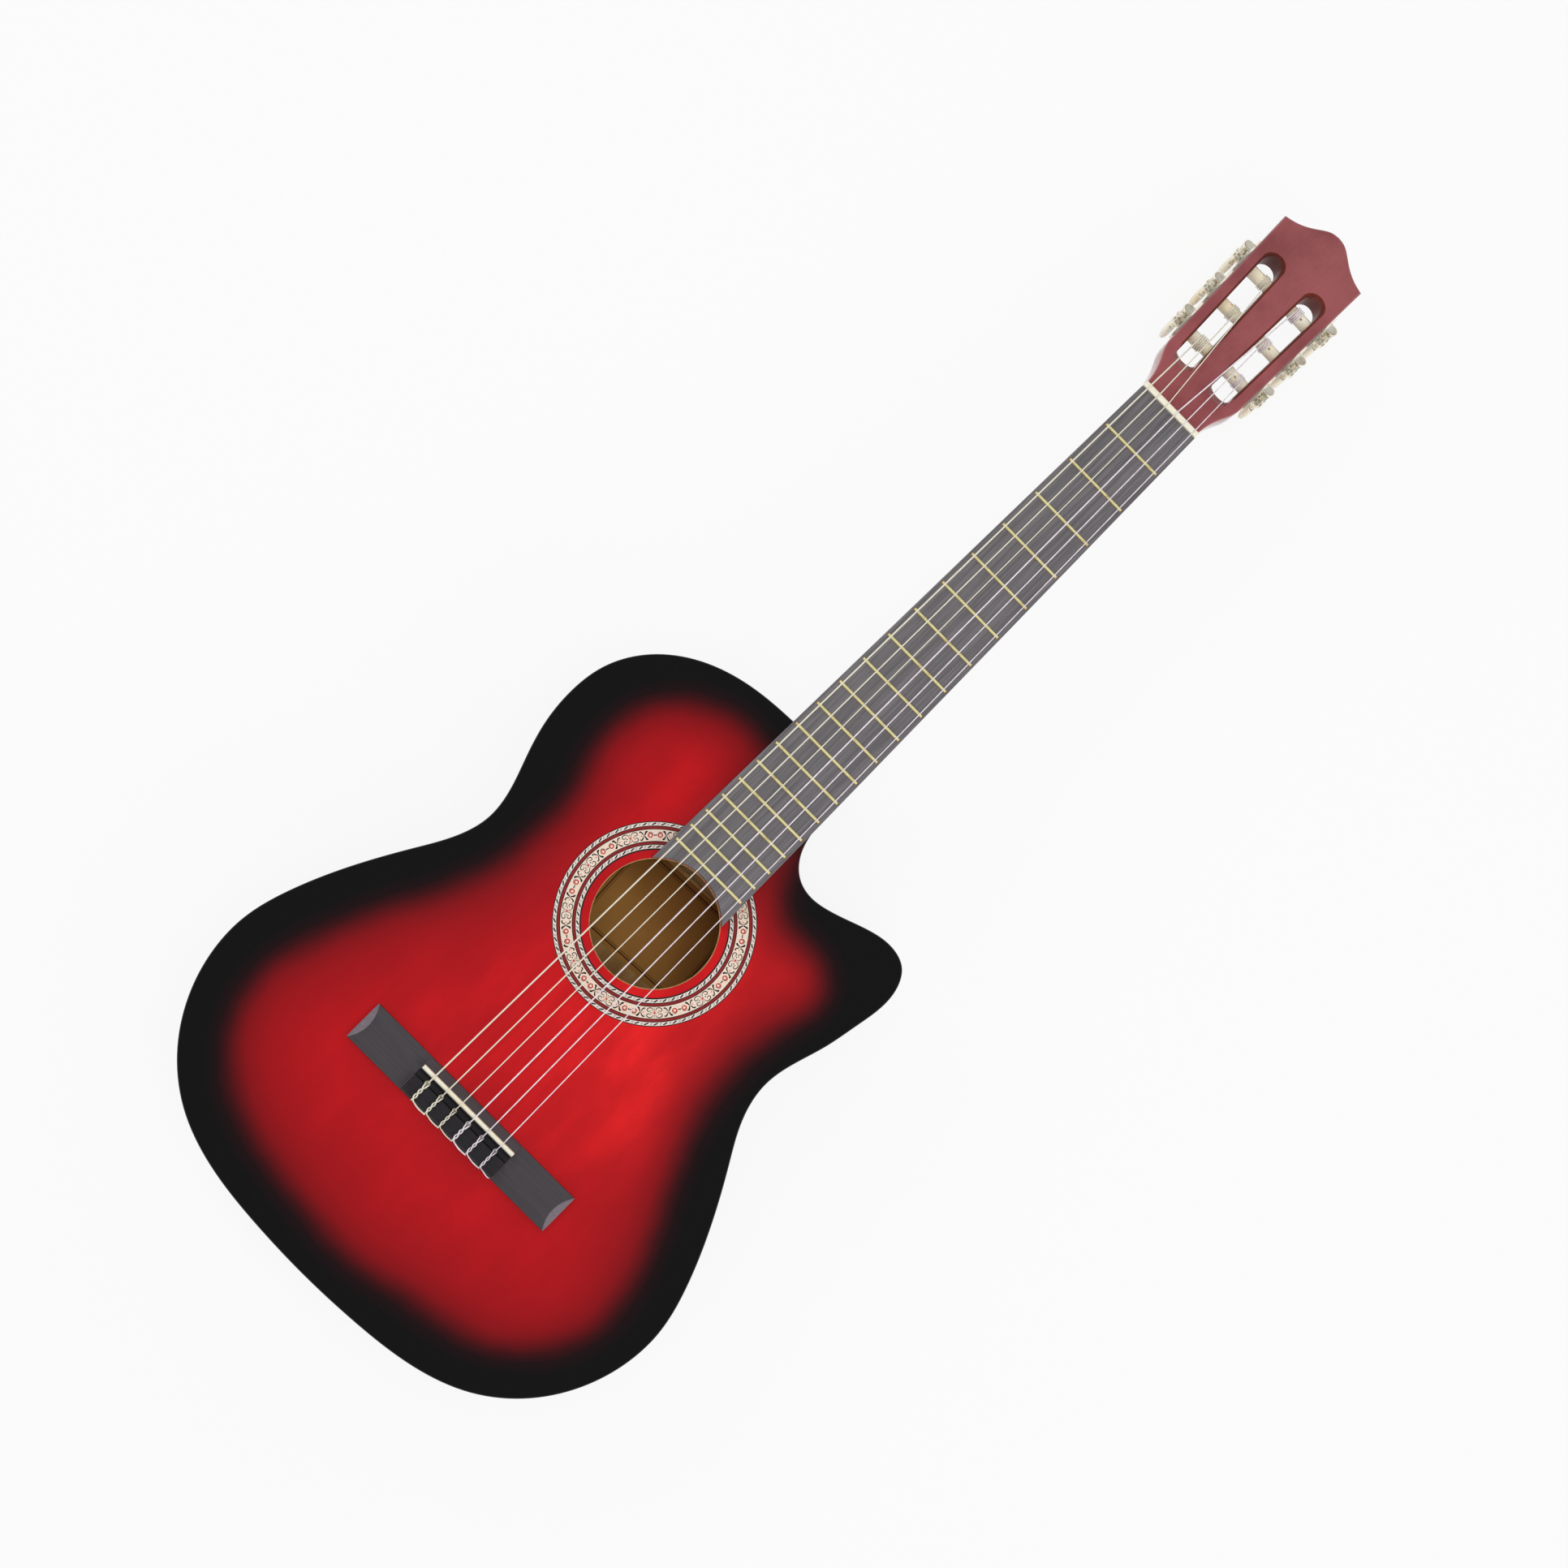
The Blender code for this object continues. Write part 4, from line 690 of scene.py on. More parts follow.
@dataclass(frozen=True)
class Layout:
    """Sizes that several sub-assemblies share, and the places that follow from them."""

    gap: float = 0.0003
    running_gap: float = 0.00045
    scale_length: float = 0.650
    body_depth: float = 0.094
    tail_y: float = -0.144
    top_thick: float = 0.0028
    wall_x: float = 0.0295
    board_thick: float = 0.007
    board_nut_half: float = 0.02475
    board_taper: float = 0.0154
    fret_count: int = 19
    last_fret_to_hole: float = 0.0484
    hole_radius: float = 0.042
    hole_steps: int = 330
    rosette_thick: float = 0.0008
    nut_thick: float = 0.0047
    nut_height: float = 0.0095
    nut_slot_depth: float = 0.0009
    head_tilt: float = radians(12.5)
    head_rise: float = 0.0015
    head_thick: float = 0.017
    head_taper: float = radians(1.75)
    head_side_from: float = 0.036
    head_side_half: float = 0.0335
    roller_first: float = 0.0565
    roller_spacing: float = 0.035
    roller_radius: float = 0.00475
    roller_reach: float = 0.0292

    @property
    def top_z(self) -> float:
        """Height of the soundboard's face."""
        return self.body_depth

    @property
    def underside_z(self) -> float:
        """Height of the soundboard's underside."""
        return self.body_depth - self.top_thick

    @property
    def board_z(self) -> float:
        """Height of the fingerboard's face."""
        return self.body_depth + self.gap + self.board_thick

    @property
    def hole_y(self) -> float:
        """Place of the soundhole's centre along the strings."""
        return self.fret_y(self.fret_count) - self.last_fret_to_hole

    @property
    def neck_joint_y(self) -> float:
        """Place where the neck leaves the body."""
        return self.fret_y(12) + 0.001

    @property
    def head_start_y(self) -> float:
        """Place behind the nut where the head starts."""
        return self.scale_length + self.nut_thick + self.gap

    @property
    def head_frame(self) -> Matrix:
        """Frame of the head: X across, Y along it and Z out of its face."""
        spot = Matrix.Translation((0, self.head_start_y, self.top_z + self.head_rise))
        return spot @ Matrix.Rotation(-self.head_tilt, 4, "X")

    def fret_y(self, number: int) -> float:
        """Place of a fret along the strings, twelve to the octave."""
        return self.scale_length * 2 ** (-number / 12)

    def board_half(self, y: float) -> float:
        """Half width of the fingerboard at a place along it."""
        return self.board_nut_half + (self.scale_length - y) * self.board_taper

    def head_half(self, s: float) -> float:
        """Half width of the head between its tapered sides."""
        return self.head_side_half + (s - self.head_side_from) * tan(self.head_taper)

    def machine_frame(self, number: int, side: Side) -> Matrix:
        """Frame of one tuning machine: X out of the head's side, Z out of its face.

        Args:
            number: The machine, 0 to 2 from the nut.
            side: The side of the head.

        Returns:
            The frame, on the roller's axis at the head's side face.
        """
        tip = side.value
        s = self.roller_first + number * self.roller_spacing
        spot = Matrix.Translation((tip * self.head_half(s), s, -self.head_thick / 2))
        angle = -self.head_taper if tip > 0 else pi + self.head_taper
        return self.head_frame @ spot @ Matrix.Rotation(angle, 4, "Z")


LAYOUT = Layout()


def circle(x: float, y: float, radius: float, steps: int, clockwise: bool = False) -> Loop:
    """A round loop of so many points round a middle, clockwise for a hole."""
    angles = [(-TURN if clockwise else TURN) * i / steps for i in range(steps)]
    return [(x + radius * cos(angle), y + radius * sin(angle)) for angle in angles]


def arc(x: float, y: float, radius: float, first: float, last: float, steps: int) -> Loop:
    """So many steps along an arc round a middle, from one angle to another."""
    angles = [first + (last - first) * i / steps for i in range(steps + 1)]
    return [(x + radius * cos(angle), y + radius * sin(angle)) for angle in angles]


def smooth_through(points: Sequence[Sequence[float]], per_span: int) -> list[tuple[float, ...]]:
    """Points along the natural cubic curve through the given ones.

    Args:
        points: The points that the curve passes.
        per_span: How many points each span between two of them gets.

    Returns:
        The curve's points.
    """
    knots = np.array(points, float)
    spans = np.linalg.norm(np.diff(knots, axis=0), axis=1)
    count = len(knots)
    system = np.zeros((count, count))
    right = np.zeros_like(knots)
    system[0, 0] = system[-1, -1] = 1.0
    for i in range(1, count - 1):
        before, after = spans[i - 1], spans[i]
        system[i, i - 1 : i + 2] = before, 2 * (before + after), after
        right[i] = 6 * ((knots[i + 1] - knots[i]) / after - (knots[i] - knots[i - 1]) / before)
    bends = np.linalg.solve(system, right)
    result = []
    for i in range(count - 1):
        for step in range(per_span):
            f = step / per_span
            g = 1 - f
            bend = (g**3 - g) * bends[i] + (f**3 - f) * bends[i + 1]
            result.append(g * knots[i] + f * knots[i + 1] + bend * spans[i] ** 2 / 6)
    result.append(knots[-1])
    return [tuple(float(value) for value in point) for point in result]


def smooth_ring(points: Sequence[Point], per_span: int) -> Loop:
    """The smooth closed curve through the given points.

    Args:
        points: The points that the curve passes, in order.
        per_span: How many points each span gets.

    Returns:
        The closed loop.
    """
    lap = 3
    wrapped = [*points[-lap:], *points, *points[: lap + 1]]
    curve = smooth_through(wrapped, per_span)
    return [(x, y) for x, y in curve[lap * per_span : (lap + len(points)) * per_span]]


def inset(loop: Sequence[Point], distance: float) -> Loop:
    """A closed loop moved to its left by a distance.

    Args:
        loop: The loop; its material is on the left.
        distance: How far it moves.

    Returns:
        The moved loop, with as many points.
    """
    points = np.array(loop)
    along = np.roll(points, -1, axis=0) - points
    along /= np.linalg.norm(along, axis=1)[:, None]
    after = np.stack([-along[:, 1], along[:, 0]], axis=1)
    before = np.roll(after, 1, axis=0)
    shift = (before + after) / (1 + (before * after).sum(axis=1))[:, None]
    return [(float(x), float(y)) for x, y in points + distance * shift]


def inside(spots: np.ndarray, loops: Loops) -> np.ndarray:
    """Tells which spots lie within closed loops, with inner loops as holes.

    Args:
        spots: The spots, one row each.
        loops: The loops.

    Returns:
        One truth value for each spot.
    """
    crossings = np.zeros(len(spots), int)
    x, y = spots[:, 0], spots[:, 1]
    for loop in loops:
        points = np.array(loop)
        following = np.roll(points, -1, axis=0)
        for (x0, y0), (x1, y1) in zip(points, following):
            if y0 == y1:
                continue
            straddles = (y0 > y) != (y1 > y)
            crossings += straddles & (x < x0 + (y - y0) * (x1 - x0) / (y1 - y0))
    return crossings % 2 == 1


def distance_to(spots: np.ndarray, loops: Loops) -> np.ndarray:
    """Shortest distance from each spot to the loops.

    Args:
        spots: The spots, one row each.
        loops: The closed loops.

    Returns:
        One distance for each spot.
    """
    least = np.full(len(spots), np.inf)
    for loop in loops:
        points = np.array(loop)
        for start, end in zip(points, np.roll(points, -1, axis=0)):
            way = end - start
            share = np.clip(((spots - start) @ way) / max(way @ way, 1e-18), 0, 1)
            off = spots - start - share[:, None] * way
            least = np.minimum(least, np.hypot(off[:, 0], off[:, 1]))
    return least


def triangles_over(loops: Loops, extra: Sequence[Point] = ()) -> tuple[Loop, Faces, np.ndarray]:
    """Triangles over everything that some loops reach, with no triangle across a loop.

    Args:
        loops: The closed loops.
        extra: More points.

    Returns:
        The points, the triangles over them and the triangles' middles.
    """
    points = [point for loop in loops for point in loop]
    edges = []
    start = 0
    for loop in loops:
        count = len(loop)
        edges += [(start + i, start + (i + 1) % count) for i in range(count)]
        start += count
    result = delaunay_2d_cdt([Vector(point) for point in [*points, *extra]], edges, [], 0, 1e-7)
    made = [(float(point[0]), float(point[1])) for point in result[0]]
    triangles = [tuple(face) for face in result[2]]
    corners = np.array(made)[np.array(triangles)]
    return made, triangles, corners.mean(axis=1)


def sheet(loops: Loops, spacing: float = 0.0) -> tuple[Loop, Faces]:
    """Triangles that fill a flat region.

    Args:
        loops: The region's edge and the edges of its holes.
        spacing: Distance between added points inside, or 0 for none.

    Returns:
        The points and the triangles over them.
    """
    extra = []
    if spacing:
        points = [point for loop in loops for point in loop]
        low, high = np.min(points, axis=0), np.max(points, axis=0)
        rows = np.arange(low[1], high[1], spacing * 0.87)
        columns = np.arange(low[0], high[0], spacing)
        grid = np.array([(x + spacing / 2 * (row % 2), y) for row, y in enumerate(rows) for x in columns])
        grid = grid[inside(grid, loops)]
        grid = grid[distance_to(grid, loops) > spacing * 0.5]
        extra = [(float(x), float(y)) for x, y in grid]
    made, triangles, middles = triangles_over(loops, extra)
    kept = inside(middles, loops)
    return made, [face for face, keep in zip(triangles, kept) if keep]


def raised(loop: Sequence[Point], z: float) -> Ring:
    """A flat loop as a ring at one height."""
    return [(x, y, z) for x, y in loop]


@dataclass
class Form:
    """A mesh in the making: its points, and its faces with the number of their finish."""

    points: list[Spot] = field(default_factory=list)
    faces: Faces = field(default_factory=list)
    finishes: list[int] = field(default_factory=list)

    @classmethod
    def over(cls, rings: Sequence[Sequence[Spot]], finish: int | Sequence[int] = 0) -> Form:
        """A form of its own with a capped skin over rings.

        Args:
            rings: The rings in order.
            finish: One finish, or one for each band between two rings.

        Returns:
            The form.
        """
        form = cls()
        form.skin(rings, finish, capped=True)
        return form

    def add(self, points: Sequence[Spot], faces: Sequence[Sequence[int]], finish: int = 0) -> None:
        """Adds points and the faces over them.

        Args:
            points: The points.
            faces: The faces, counted from the first of these points.
            finish: The number of their finish.
        """
        start = len(self.points)
        self.points += [tuple(float(value) for value in point) for point in points]
        self.faces += [tuple(start + i for i in face) for face in faces]
        self.finishes += [finish] * len(faces)

    def skin(
        self,
        rings: Sequence[Sequence[Spot]],
        finish: int | Sequence[int] = 0,
        capped: bool = False,
        closed: bool = True,
    ) -> None:
        """Adds a skin over rings of equally many points.

        Args:
            rings: The rings in order.
            finish: One finish, or one for each band between two rings.
            capped: Whether each end gets a flat cap.
            closed: Whether each ring closes on itself.
        """
        count, start = len(rings[0]), len(self.points)
        bands = [finish] * (len(rings) - 1) if isinstance(finish, int) else finish
        self.points += [tuple(float(value) for value in point) for ring in rings for point in ring]
        for band, number in enumerate(bands):
            base = start + band * count
            for i in range(count if closed else count - 1):
                j = (i + 1) % count
                self.faces.append((base + i, base + j, base + count + j, base + count + i))
                self.finishes.append(number)
        if capped:
            end = start + len(bands) * count
            self.faces.append(tuple(start + i for i in reversed(range(count))))
            self.faces.append(tuple(end + i for i in range(count)))
            self.finishes += [bands[0], bands[-1]]

    def flat(self, loops: Loops, z: float, finish: int = 0, spacing: float = 0.0, down: bool = False) -> None:
        """Adds a filled flat region at one height.

        Args:
            loops: The region's edge and its holes.
            z: The height.
            finish: The number of its finish.
            spacing: Distance between added points inside, or 0.
            down: Whether it faces down.
        """
        points, triangles = sheet(loops, spacing)
        faces = []
        for a, b, c in triangles:
            (ax, ay), (bx, by), (cx, cy) = points[a], points[b], points[c]
            upward = (bx - ax) * (cy - ay) - (by - ay) * (cx - ax) > 0
            faces.append((a, b, c) if upward != down else (a, c, b))
        self.add(raised(points, z), faces, finish)

    def moved(self, matrix: Matrix) -> Form:
        """The same form in another place."""
        points = [tuple(matrix @ Vector(point)) for point in self.points]
        return Form(points, list(self.faces), list(self.finishes))

    def joined(self, other: Form) -> Form:
        """This form with another one's points and faces added.

        Args:
            other: The form that joins it.

        Returns:
            This form.
        """
        start = len(self.points)
        self.points += other.points
        self.faces += [tuple(start + i for i in face) for face in other.faces]
        self.finishes += other.finishes
        return self

    def mesh(self, name: str, weld: float = 1e-6, outward: bool = True) -> Mesh:
        """Makes the mesh.

        Args:
            name: Its name.
            weld: Points closer than this become one; 0 keeps them all.
            outward: Whether its faces are turned to look out.

        Returns:
            The mesh.
        """
        mesh = bpy.data.meshes.new(name)
        mesh.from_pydata(self.points, [], self.faces)
        mesh.polygons.foreach_set("material_index", self.finishes)
        work = bmesh.new()
        work.from_mesh(mesh)
        if weld:
            bmesh.ops.remove_doubles(work, verts=work.verts, dist=weld)
        if outward:
            bmesh.ops.recalc_face_normals(work, faces=work.faces)
        work.to_mesh(mesh)
        work.free()
        return mesh


@dataclass
class Slab:
    """A flat piece between two heights, with rounded edges and with holes.

    Its first loop runs anticlockwise and the loops of its holes run clockwise.
    """

    loops: list[Loop]
    low: float
    high: float
    top_round: float = 0.0
    bottom_round: float = 0.0
    spacing: float = 0.0
    steps: int = 4
    hold: float = 0.0003

    def rows(self) -> list[Point]:
        """The wall's rows from the bottom to the top.

        Returns:
            The inset and the height of each row.
        """
        quarter = [pi / 2 * i / self.steps for i in range(self.steps + 1)]
        under, over = self.bottom_round, self.top_round
        rows = [(0.0, self.low)]
        if under:
            rows = [(under + self.hold, self.low)]
            rows += [(under * (1 - sin(a)), self.low + under * (1 - cos(a))) for a in quarter]
        if not over:
            return [*rows, (0.0, self.high)]
        rows += [(over * (1 - cos(a)), self.high - over * (1 - sin(a))) for a in quarter]
        return [*rows, (over + self.hold, self.high)]

    def form(self, face: int = 0, wall: int = 0, back: int = 0, holes: int = 0) -> Form:
        """Builds the slab.

        Args:
            face: Finish of the upper face.
            wall: Finish of the outer walls.
            back: Finish of the lower face.
            holes: Finish of the walls of the holes.

        Returns:
            The slab's form.
        """
        result = Form()
        rows = self.rows()
        for number, loop in enumerate(self.loops):
            result.skin([raised(inset(loop, away), z) for away, z in rows], holes if number else wall)
        result.flat([inset(loop, rows[-1][0]) for loop in self.loops], self.high, face, self.spacing)
        result.flat([inset(loop, rows[0][0]) for loop in self.loops], self.low, back, down=True)
        return result


def turned(profile: Sequence[Point], steps: int) -> Form:
    """A form turned round Z.

    Args:
        profile: Radius and height of its points, starting and ending on the axis.
        steps: How many points go round.

    Returns:
        The form.
    """
    result = Form()
    result.skin([raised(circle(0, 0, max(radius, 1e-7), steps), height) for radius, height in profile])
    return result


def rounded(path: Sequence[Sequence[float]], bends: Sequence[float], steps: int) -> list[tuple[float, ...]]:
    """A path whose corners are rounded.

    Args:
        path: The path's points.
        bends: How far from each point its bend starts, or 0 for a sharp corner.
        steps: Steps on each bend.

    Returns:
        The rounded path.
    """
    result = []
    for i, (point, bend) in enumerate(zip(path, bends)):
        if not bend or i in (0, len(path) - 1):
            result.append(tuple(point))
            continue
        here = Vector(point)
        back, ahead = (Vector(path[j]) - here for j in (i - 1, i + 1))
        back *= min(bend / back.length, 0.45)
        ahead *= min(bend / ahead.length, 0.45)
        for step in range(steps + 1):
            f = step / steps
            result.append(tuple(here + back * (1 - f) ** 2 + ahead * f**2))
    return result


def profile_of(corners: Sequence[tuple[float, float, float]]) -> list[Point]:
    """A profile from its corners, each with its radius, its height and its rounding."""
    return rounded([corner[:2] for corner in corners], [corner[2] for corner in corners], 4)


def rod(radius: float, start: Spot, end: Spot, steps: int) -> Form:
    """A round rod between two points, for boring holes.

    Args:
        radius: Its radius.
        start: One end of its axis.
        end: The other end.
        steps: How many points go round.

    Returns:
        The rod's form.
    """
    way = Vector(end) - Vector(start)
    turn = way.to_track_quat("Z", "Y").to_matrix().to_4x4()
    rod_along_z = Form.over([raised(circle(0, 0, radius, steps), z) for z in (0, way.length)])
    return rod_along_z.moved(Matrix.Translation(start) @ turn)


def block(low: Spot, high: Spot) -> Form:
    """A straight-sided block between two corners, for cutting grooves."""
    loop = [(low[0], low[1]), (high[0], low[1]), (high[0], high[1]), (low[0], high[1])]
    return Form.over([raised(loop, z) for z in (low[2], high[2])])


def combined(mesh: Mesh, tool: Form, operation: str = "DIFFERENCE") -> Mesh:
    """A mesh after one exact Boolean.

    Args:
        mesh: The mesh.
        tool: The form that cuts it or is added to it.
        operation: The Boolean's operation.

    Returns:
        The new mesh.
    """
    holder = bpy.data.objects.new("holder", mesh)
    helper = bpy.data.objects.new("tool", tool.mesh("tool"))
    for obj in (holder, helper):
        bpy.context.scene.collection.objects.link(obj)
    boolean = holder.modifiers.new("boolean", "BOOLEAN")
    boolean.operation = operation
    boolean.solver = "EXACT"
    boolean.object = helper
    bpy.context.view_layer.update()
    graph = bpy.context.evaluated_depsgraph_get()
    result = bpy.data.meshes.new_from_object(holder.evaluated_get(graph))
    bpy.data.objects.remove(holder)
    bpy.data.objects.remove(helper)
    return result


def tube(route: Sequence[Spot], radius: float, sides: int) -> tuple[Form, list[float]]:
    """A round tube along a route.

    Args:
        route: Points along its middle.
        radius: Its radius.
        sides: How many points go round.

    Returns:
        The tube, and at each of its points the length along the route.
    """
    path = [Vector(route[0])]
    for spot in route[1:]:
        if (Vector(spot) - path[-1]).length > 1e-7:
            path.append(Vector(spot))
    last = len(path) - 1
    ways = [(path[min(i + 1, last)] - path[max(i - 1, 0)]).normalized() for i in range(len(path))]
    side = ways[0].orthogonal().normalized()
    rings, lengths, run = [], [], 0.0
    for i, (spot, way) in enumerate(zip(path, ways)):
        if i:
            side = (ways[i - 1].rotation_difference(way) @ side).normalized()
            run += (spot - path[i - 1]).length
        side = (side - way * side.dot(way)).normalized()
        up = way.cross(side)
        rings.append([tuple(spot + side * x + up * y) for x, y in circle(0, 0, radius, sides)])
        lengths += [run] * sides
    return Form.over(rings), lengths


def give_numbers(mesh: Mesh, name: str, values: Sequence[float]) -> None:
    """Stores one number at each point of a mesh, for its material to read."""
    attribute = mesh.attributes.new(name, "FLOAT", "POINT")
    attribute.data.foreach_set("value", np.array(values, np.float32))


def flat_places(mesh: Mesh) -> np.ndarray:
    """X and Y of every point of a mesh.

    Args:
        mesh: The mesh.

    Returns:
        One row for each point.
    """
    places = np.zeros(len(mesh.vertices) * 3)
    mesh.vertices.foreach_get("co", places)
    return places.reshape(-1, 3)[:, :2]


@dataclass
class Bench:
    """Where finished pieces are put on the guitar and reported.

    It holds the materials, the loaded CAD nodes by name and the count of its pieces.
    """

    finishes: Finishes
    nodes: dict[str, bpy.types.Object]
    count: int = 0

    def show(
        self,
        mesh: Mesh,
        name: str,
        materials: Sequence[Material],
        slot: Slot,
        replaces: Sequence[str] = (),
        body: str = ROOT_BODY,
        sharp: float = 38.0,
    ) -> None:
        """Puts a piece on the guitar.

        Args:
            mesh: Its mesh, in place.
            name: Its name.
            materials: Its materials in the order of the finish numbers.
            slot: The record's slot for its finish; not used.
            replaces: The CAD nodes that it stands for.
            body: The body that it rides on.
            sharp: Edges bent by more degrees than this stay sharp.
        """
        numbers = [face.material_index for face in mesh.polygons]
        mesh.materials.clear()
        for material in materials:
            mesh.materials.append(material)
        mesh.polygons.foreach_set("material_index", numbers)
        mesh.shade_smooth()
        mesh.set_sharp_from_angle(angle=radians(sharp))
        piece = bpy.data.objects.new(name, mesh)
        bpy.context.scene.collection.objects.link(piece)
        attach(piece, body)
        if replaces:
            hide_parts(*replaces)
        self.count += 1
        LOG.info("%s: %d faces on %s", name, len(mesh.polygons), body)

    def dress(self, names: Sequence[str], material: Material) -> None:
        """Gives CAD nodes that stay as they are their material.

        Args:
            names: The nodes.
            material: The material.
        """
        for name in names:
            for slot in self.nodes[name].material_slots:
                slot.material = material
            LOG.info("%s: dressed", name)


@dataclass
class SoundBox:
    """The hollow body: soundboard, back, sides, inner wood, label and strap button.

    Places of the red area and of its painted highlights are in millimetres. The outlines
    pair a share of a half width with a share of the way from the tail to the neck joint.
    """

    bench: Bench
    lower_half: float = 0.18744
    waist_half: float = 0.1243
    upper_half: float = 0.1453
    horn_half: float = 0.1430
    back_thick: float = 0.0030
    side_thick: float = 0.0024
    edge_round: float = 0.0011
    hole_lip: float = 0.0005
    outline_steps: int = 8
    grid: float = 0.0046
    rosette_inner: float = 0.0477
    rosette_outer: float = 0.0663
    label_width: float = 0.100
    label_length: float = 0.072
    label_thick: float = 0.0003
    label_grid: float = 0.0009
    label_middle: Point = (0.0035, 0.1730)
    label_turn: float = 0.052
    border_half: Point = (0.0424, 0.0324)
    flange: float = 0.00635
    button_neck: float = 0.00345
    button_length: float = 0.0066
    red_area: tuple[Point, ...] = (
        (-50, 298), (-82, 287), (-103, 262), (-108, 227), (-97, 190), (-94, 160), (-97, 120),
        (-114, 78), (-133, 38), (-148, 0), (-151, -38), (-138, -70), (-106, -94), (-60, -108),
        (-10, -114), (45, -110), (100, -98), (138, -74), (155, -40), (153, -6), (141, 25),
        (124, 60), (109, 98), (101, 140), (105, 180), (108, 212), (92, 226), (62, 228),
        (44, 240), (32, 262),
    )
    # For each painted highlight on the red: its place, its reach and its strength.
    glows: tuple[tuple[float, float, float, float], ...] = (
        (62, 96, 52, 0.70), (40, 60, 60, 0.35), (0, 118, 40, 0.30), (-20, 10, 60, 0.16),
        (84, 200, 40, 0.22), (-66, 250, 44, 0.14), (20, 190, 60, 0.40),
    )

    def outline(self) -> tuple[Loop, int]:
        """The body's outline, from the neck joint round the bass side and the tail.

        Returns:
            The loop, and the index of its point at the tail.
        """
        low, waist, high, horn = self.lower_half, self.waist_half, self.upper_half, self.horn_half
        lower = [(1.046 * waist, 0.5596)]
        lower += [
            (low * share, place)
            for share, place in (
                (0.768, 0.5043), (0.875, 0.4255), (0.960, 0.3447), (1, 0.2766), (0.997, 0.2298),
                (0.949, 0.1617), (0.843, 0.0957), (0.683, 0.0447), (0.480, 0.0157), (0.240, 0.0034),
            )
        ]
        bass = [
            (high * share, place)
            for share, place in (
                (0, 1.0), (0.206, 0.9989), (0.482, 0.9894), (0.716, 0.9617), (0.888, 0.9160),
                (0.977, 0.8638), (1, 0.8043), (0.981, 0.7532), (0.931, 0.7021),
            )
        ]
        bass += [(1.021 * waist, 0.6511), (waist, 0.6064)]
        treble = [(waist, 0.6191), (1.030 * waist, 0.6638)]
        treble += [
            (horn * share, place)
            for share, place in (
                (0.944, 0.7128), (0.977, 0.7617), (1, 0.8085), (0.988, 0.8404), (0.938, 0.8649),
                (0.839, 0.8749), (0.727, 0.8702), (0.615, 0.8585), (0.503, 0.8474), (0.406, 0.8438),
                (0.320, 0.8517), (0.252, 0.8734),
            )
        ]
        treble += [(1.041 * LAYOUT.wall_x, 0.9085), (LAYOUT.wall_x, 0.9511)]
        tail_y, length = LAYOUT.tail_y, LAYOUT.neck_joint_y - LAYOUT.tail_y
        knots = [(-x, share) for x, share in bass + lower] + [(0.0, 0.0)] + lower[::-1] + treble
        path = smooth_through([(x, tail_y + length * share) for x, share in knots], self.outline_steps)
        return [*path, (LAYOUT.wall_x, LAYOUT.neck_joint_y)], self.outline_steps * len(bass + lower)

    def burst_numbers(self, mesh: Mesh) -> None:
        """Stores how far inside the red area each point lies, and its share of painted highlight.

        Args:
            mesh: The soundboard's mesh.
        """
        places = flat_places(mesh)
        area = smooth_ring([(x * MM, y * MM) for x, y in self.red_area], 5)
        sign = np.where(inside(places, [area]), 1.0, -1.0)
        give_numbers(mesh, "burst", sign * distance_to(places, [area]))
        glow = np.zeros(len(places))
        for x, y, reach, strength in self.glows:
            away = np.hypot(places[:, 0] - x * MM, places[:, 1] - y * MM)
            glow += strength * np.exp(-((away / (reach * MM)) ** 2))
        give_numbers(mesh, "glow", np.clip(glow, 0, 1))

    def soundboard(self) -> None:
        """Spruce top with its rounded edge, the soundhole and the rosette's recess."""
        outline, _ = self.outline()
        low, high, lip = LAYOUT.underside_z, LAYOUT.top_z, self.hole_lip
        hole_y, hole, around = LAYOUT.hole_y, LAYOUT.hole_radius, LAYOUT.hole_steps
        form = Form()
        rows = Slab([outline], low, high, top_round=self.edge_round).rows()
        form.skin([raised(inset(outline, away), z) for away, z in rows])
        rim = circle(0, hole_y, self.rosette_outer, around)
        form.flat([inset(outline, rows[-1][0]), rim], high, spacing=self.grid)
        floor = high - LAYOUT.rosette_thick - LAYOUT.gap
        stations = [
            (self.rosette_outer, high), (self.rosette_outer, floor), (self.rosette_inner, floor),
            (self.rosette_inner, high), (hole + 0.0012, high), (hole + lip, high),
            (hole + 0.3 * lip, high - 0.3 * lip), (hole, high - lip), (hole, low),
        ]
        rings = [raised(circle(0, hole_y, radius, around), z) for radius, z in stations]
        form.skin(rings, [1, 1, 1, 0, 0, 2, 2, 1])
        form.flat([outline, circle(0, hole_y, hole, around)], low, 1, down=True)
        mesh = form.mesh("soundboard")
        self.burst_numbers(mesh)
        made = self.bench.finishes
        materials = [made.burst, made.inside, made.spruce]
        self.bench.show(mesh, "top", materials, Slot.RED_BURST, ["soundboard"])

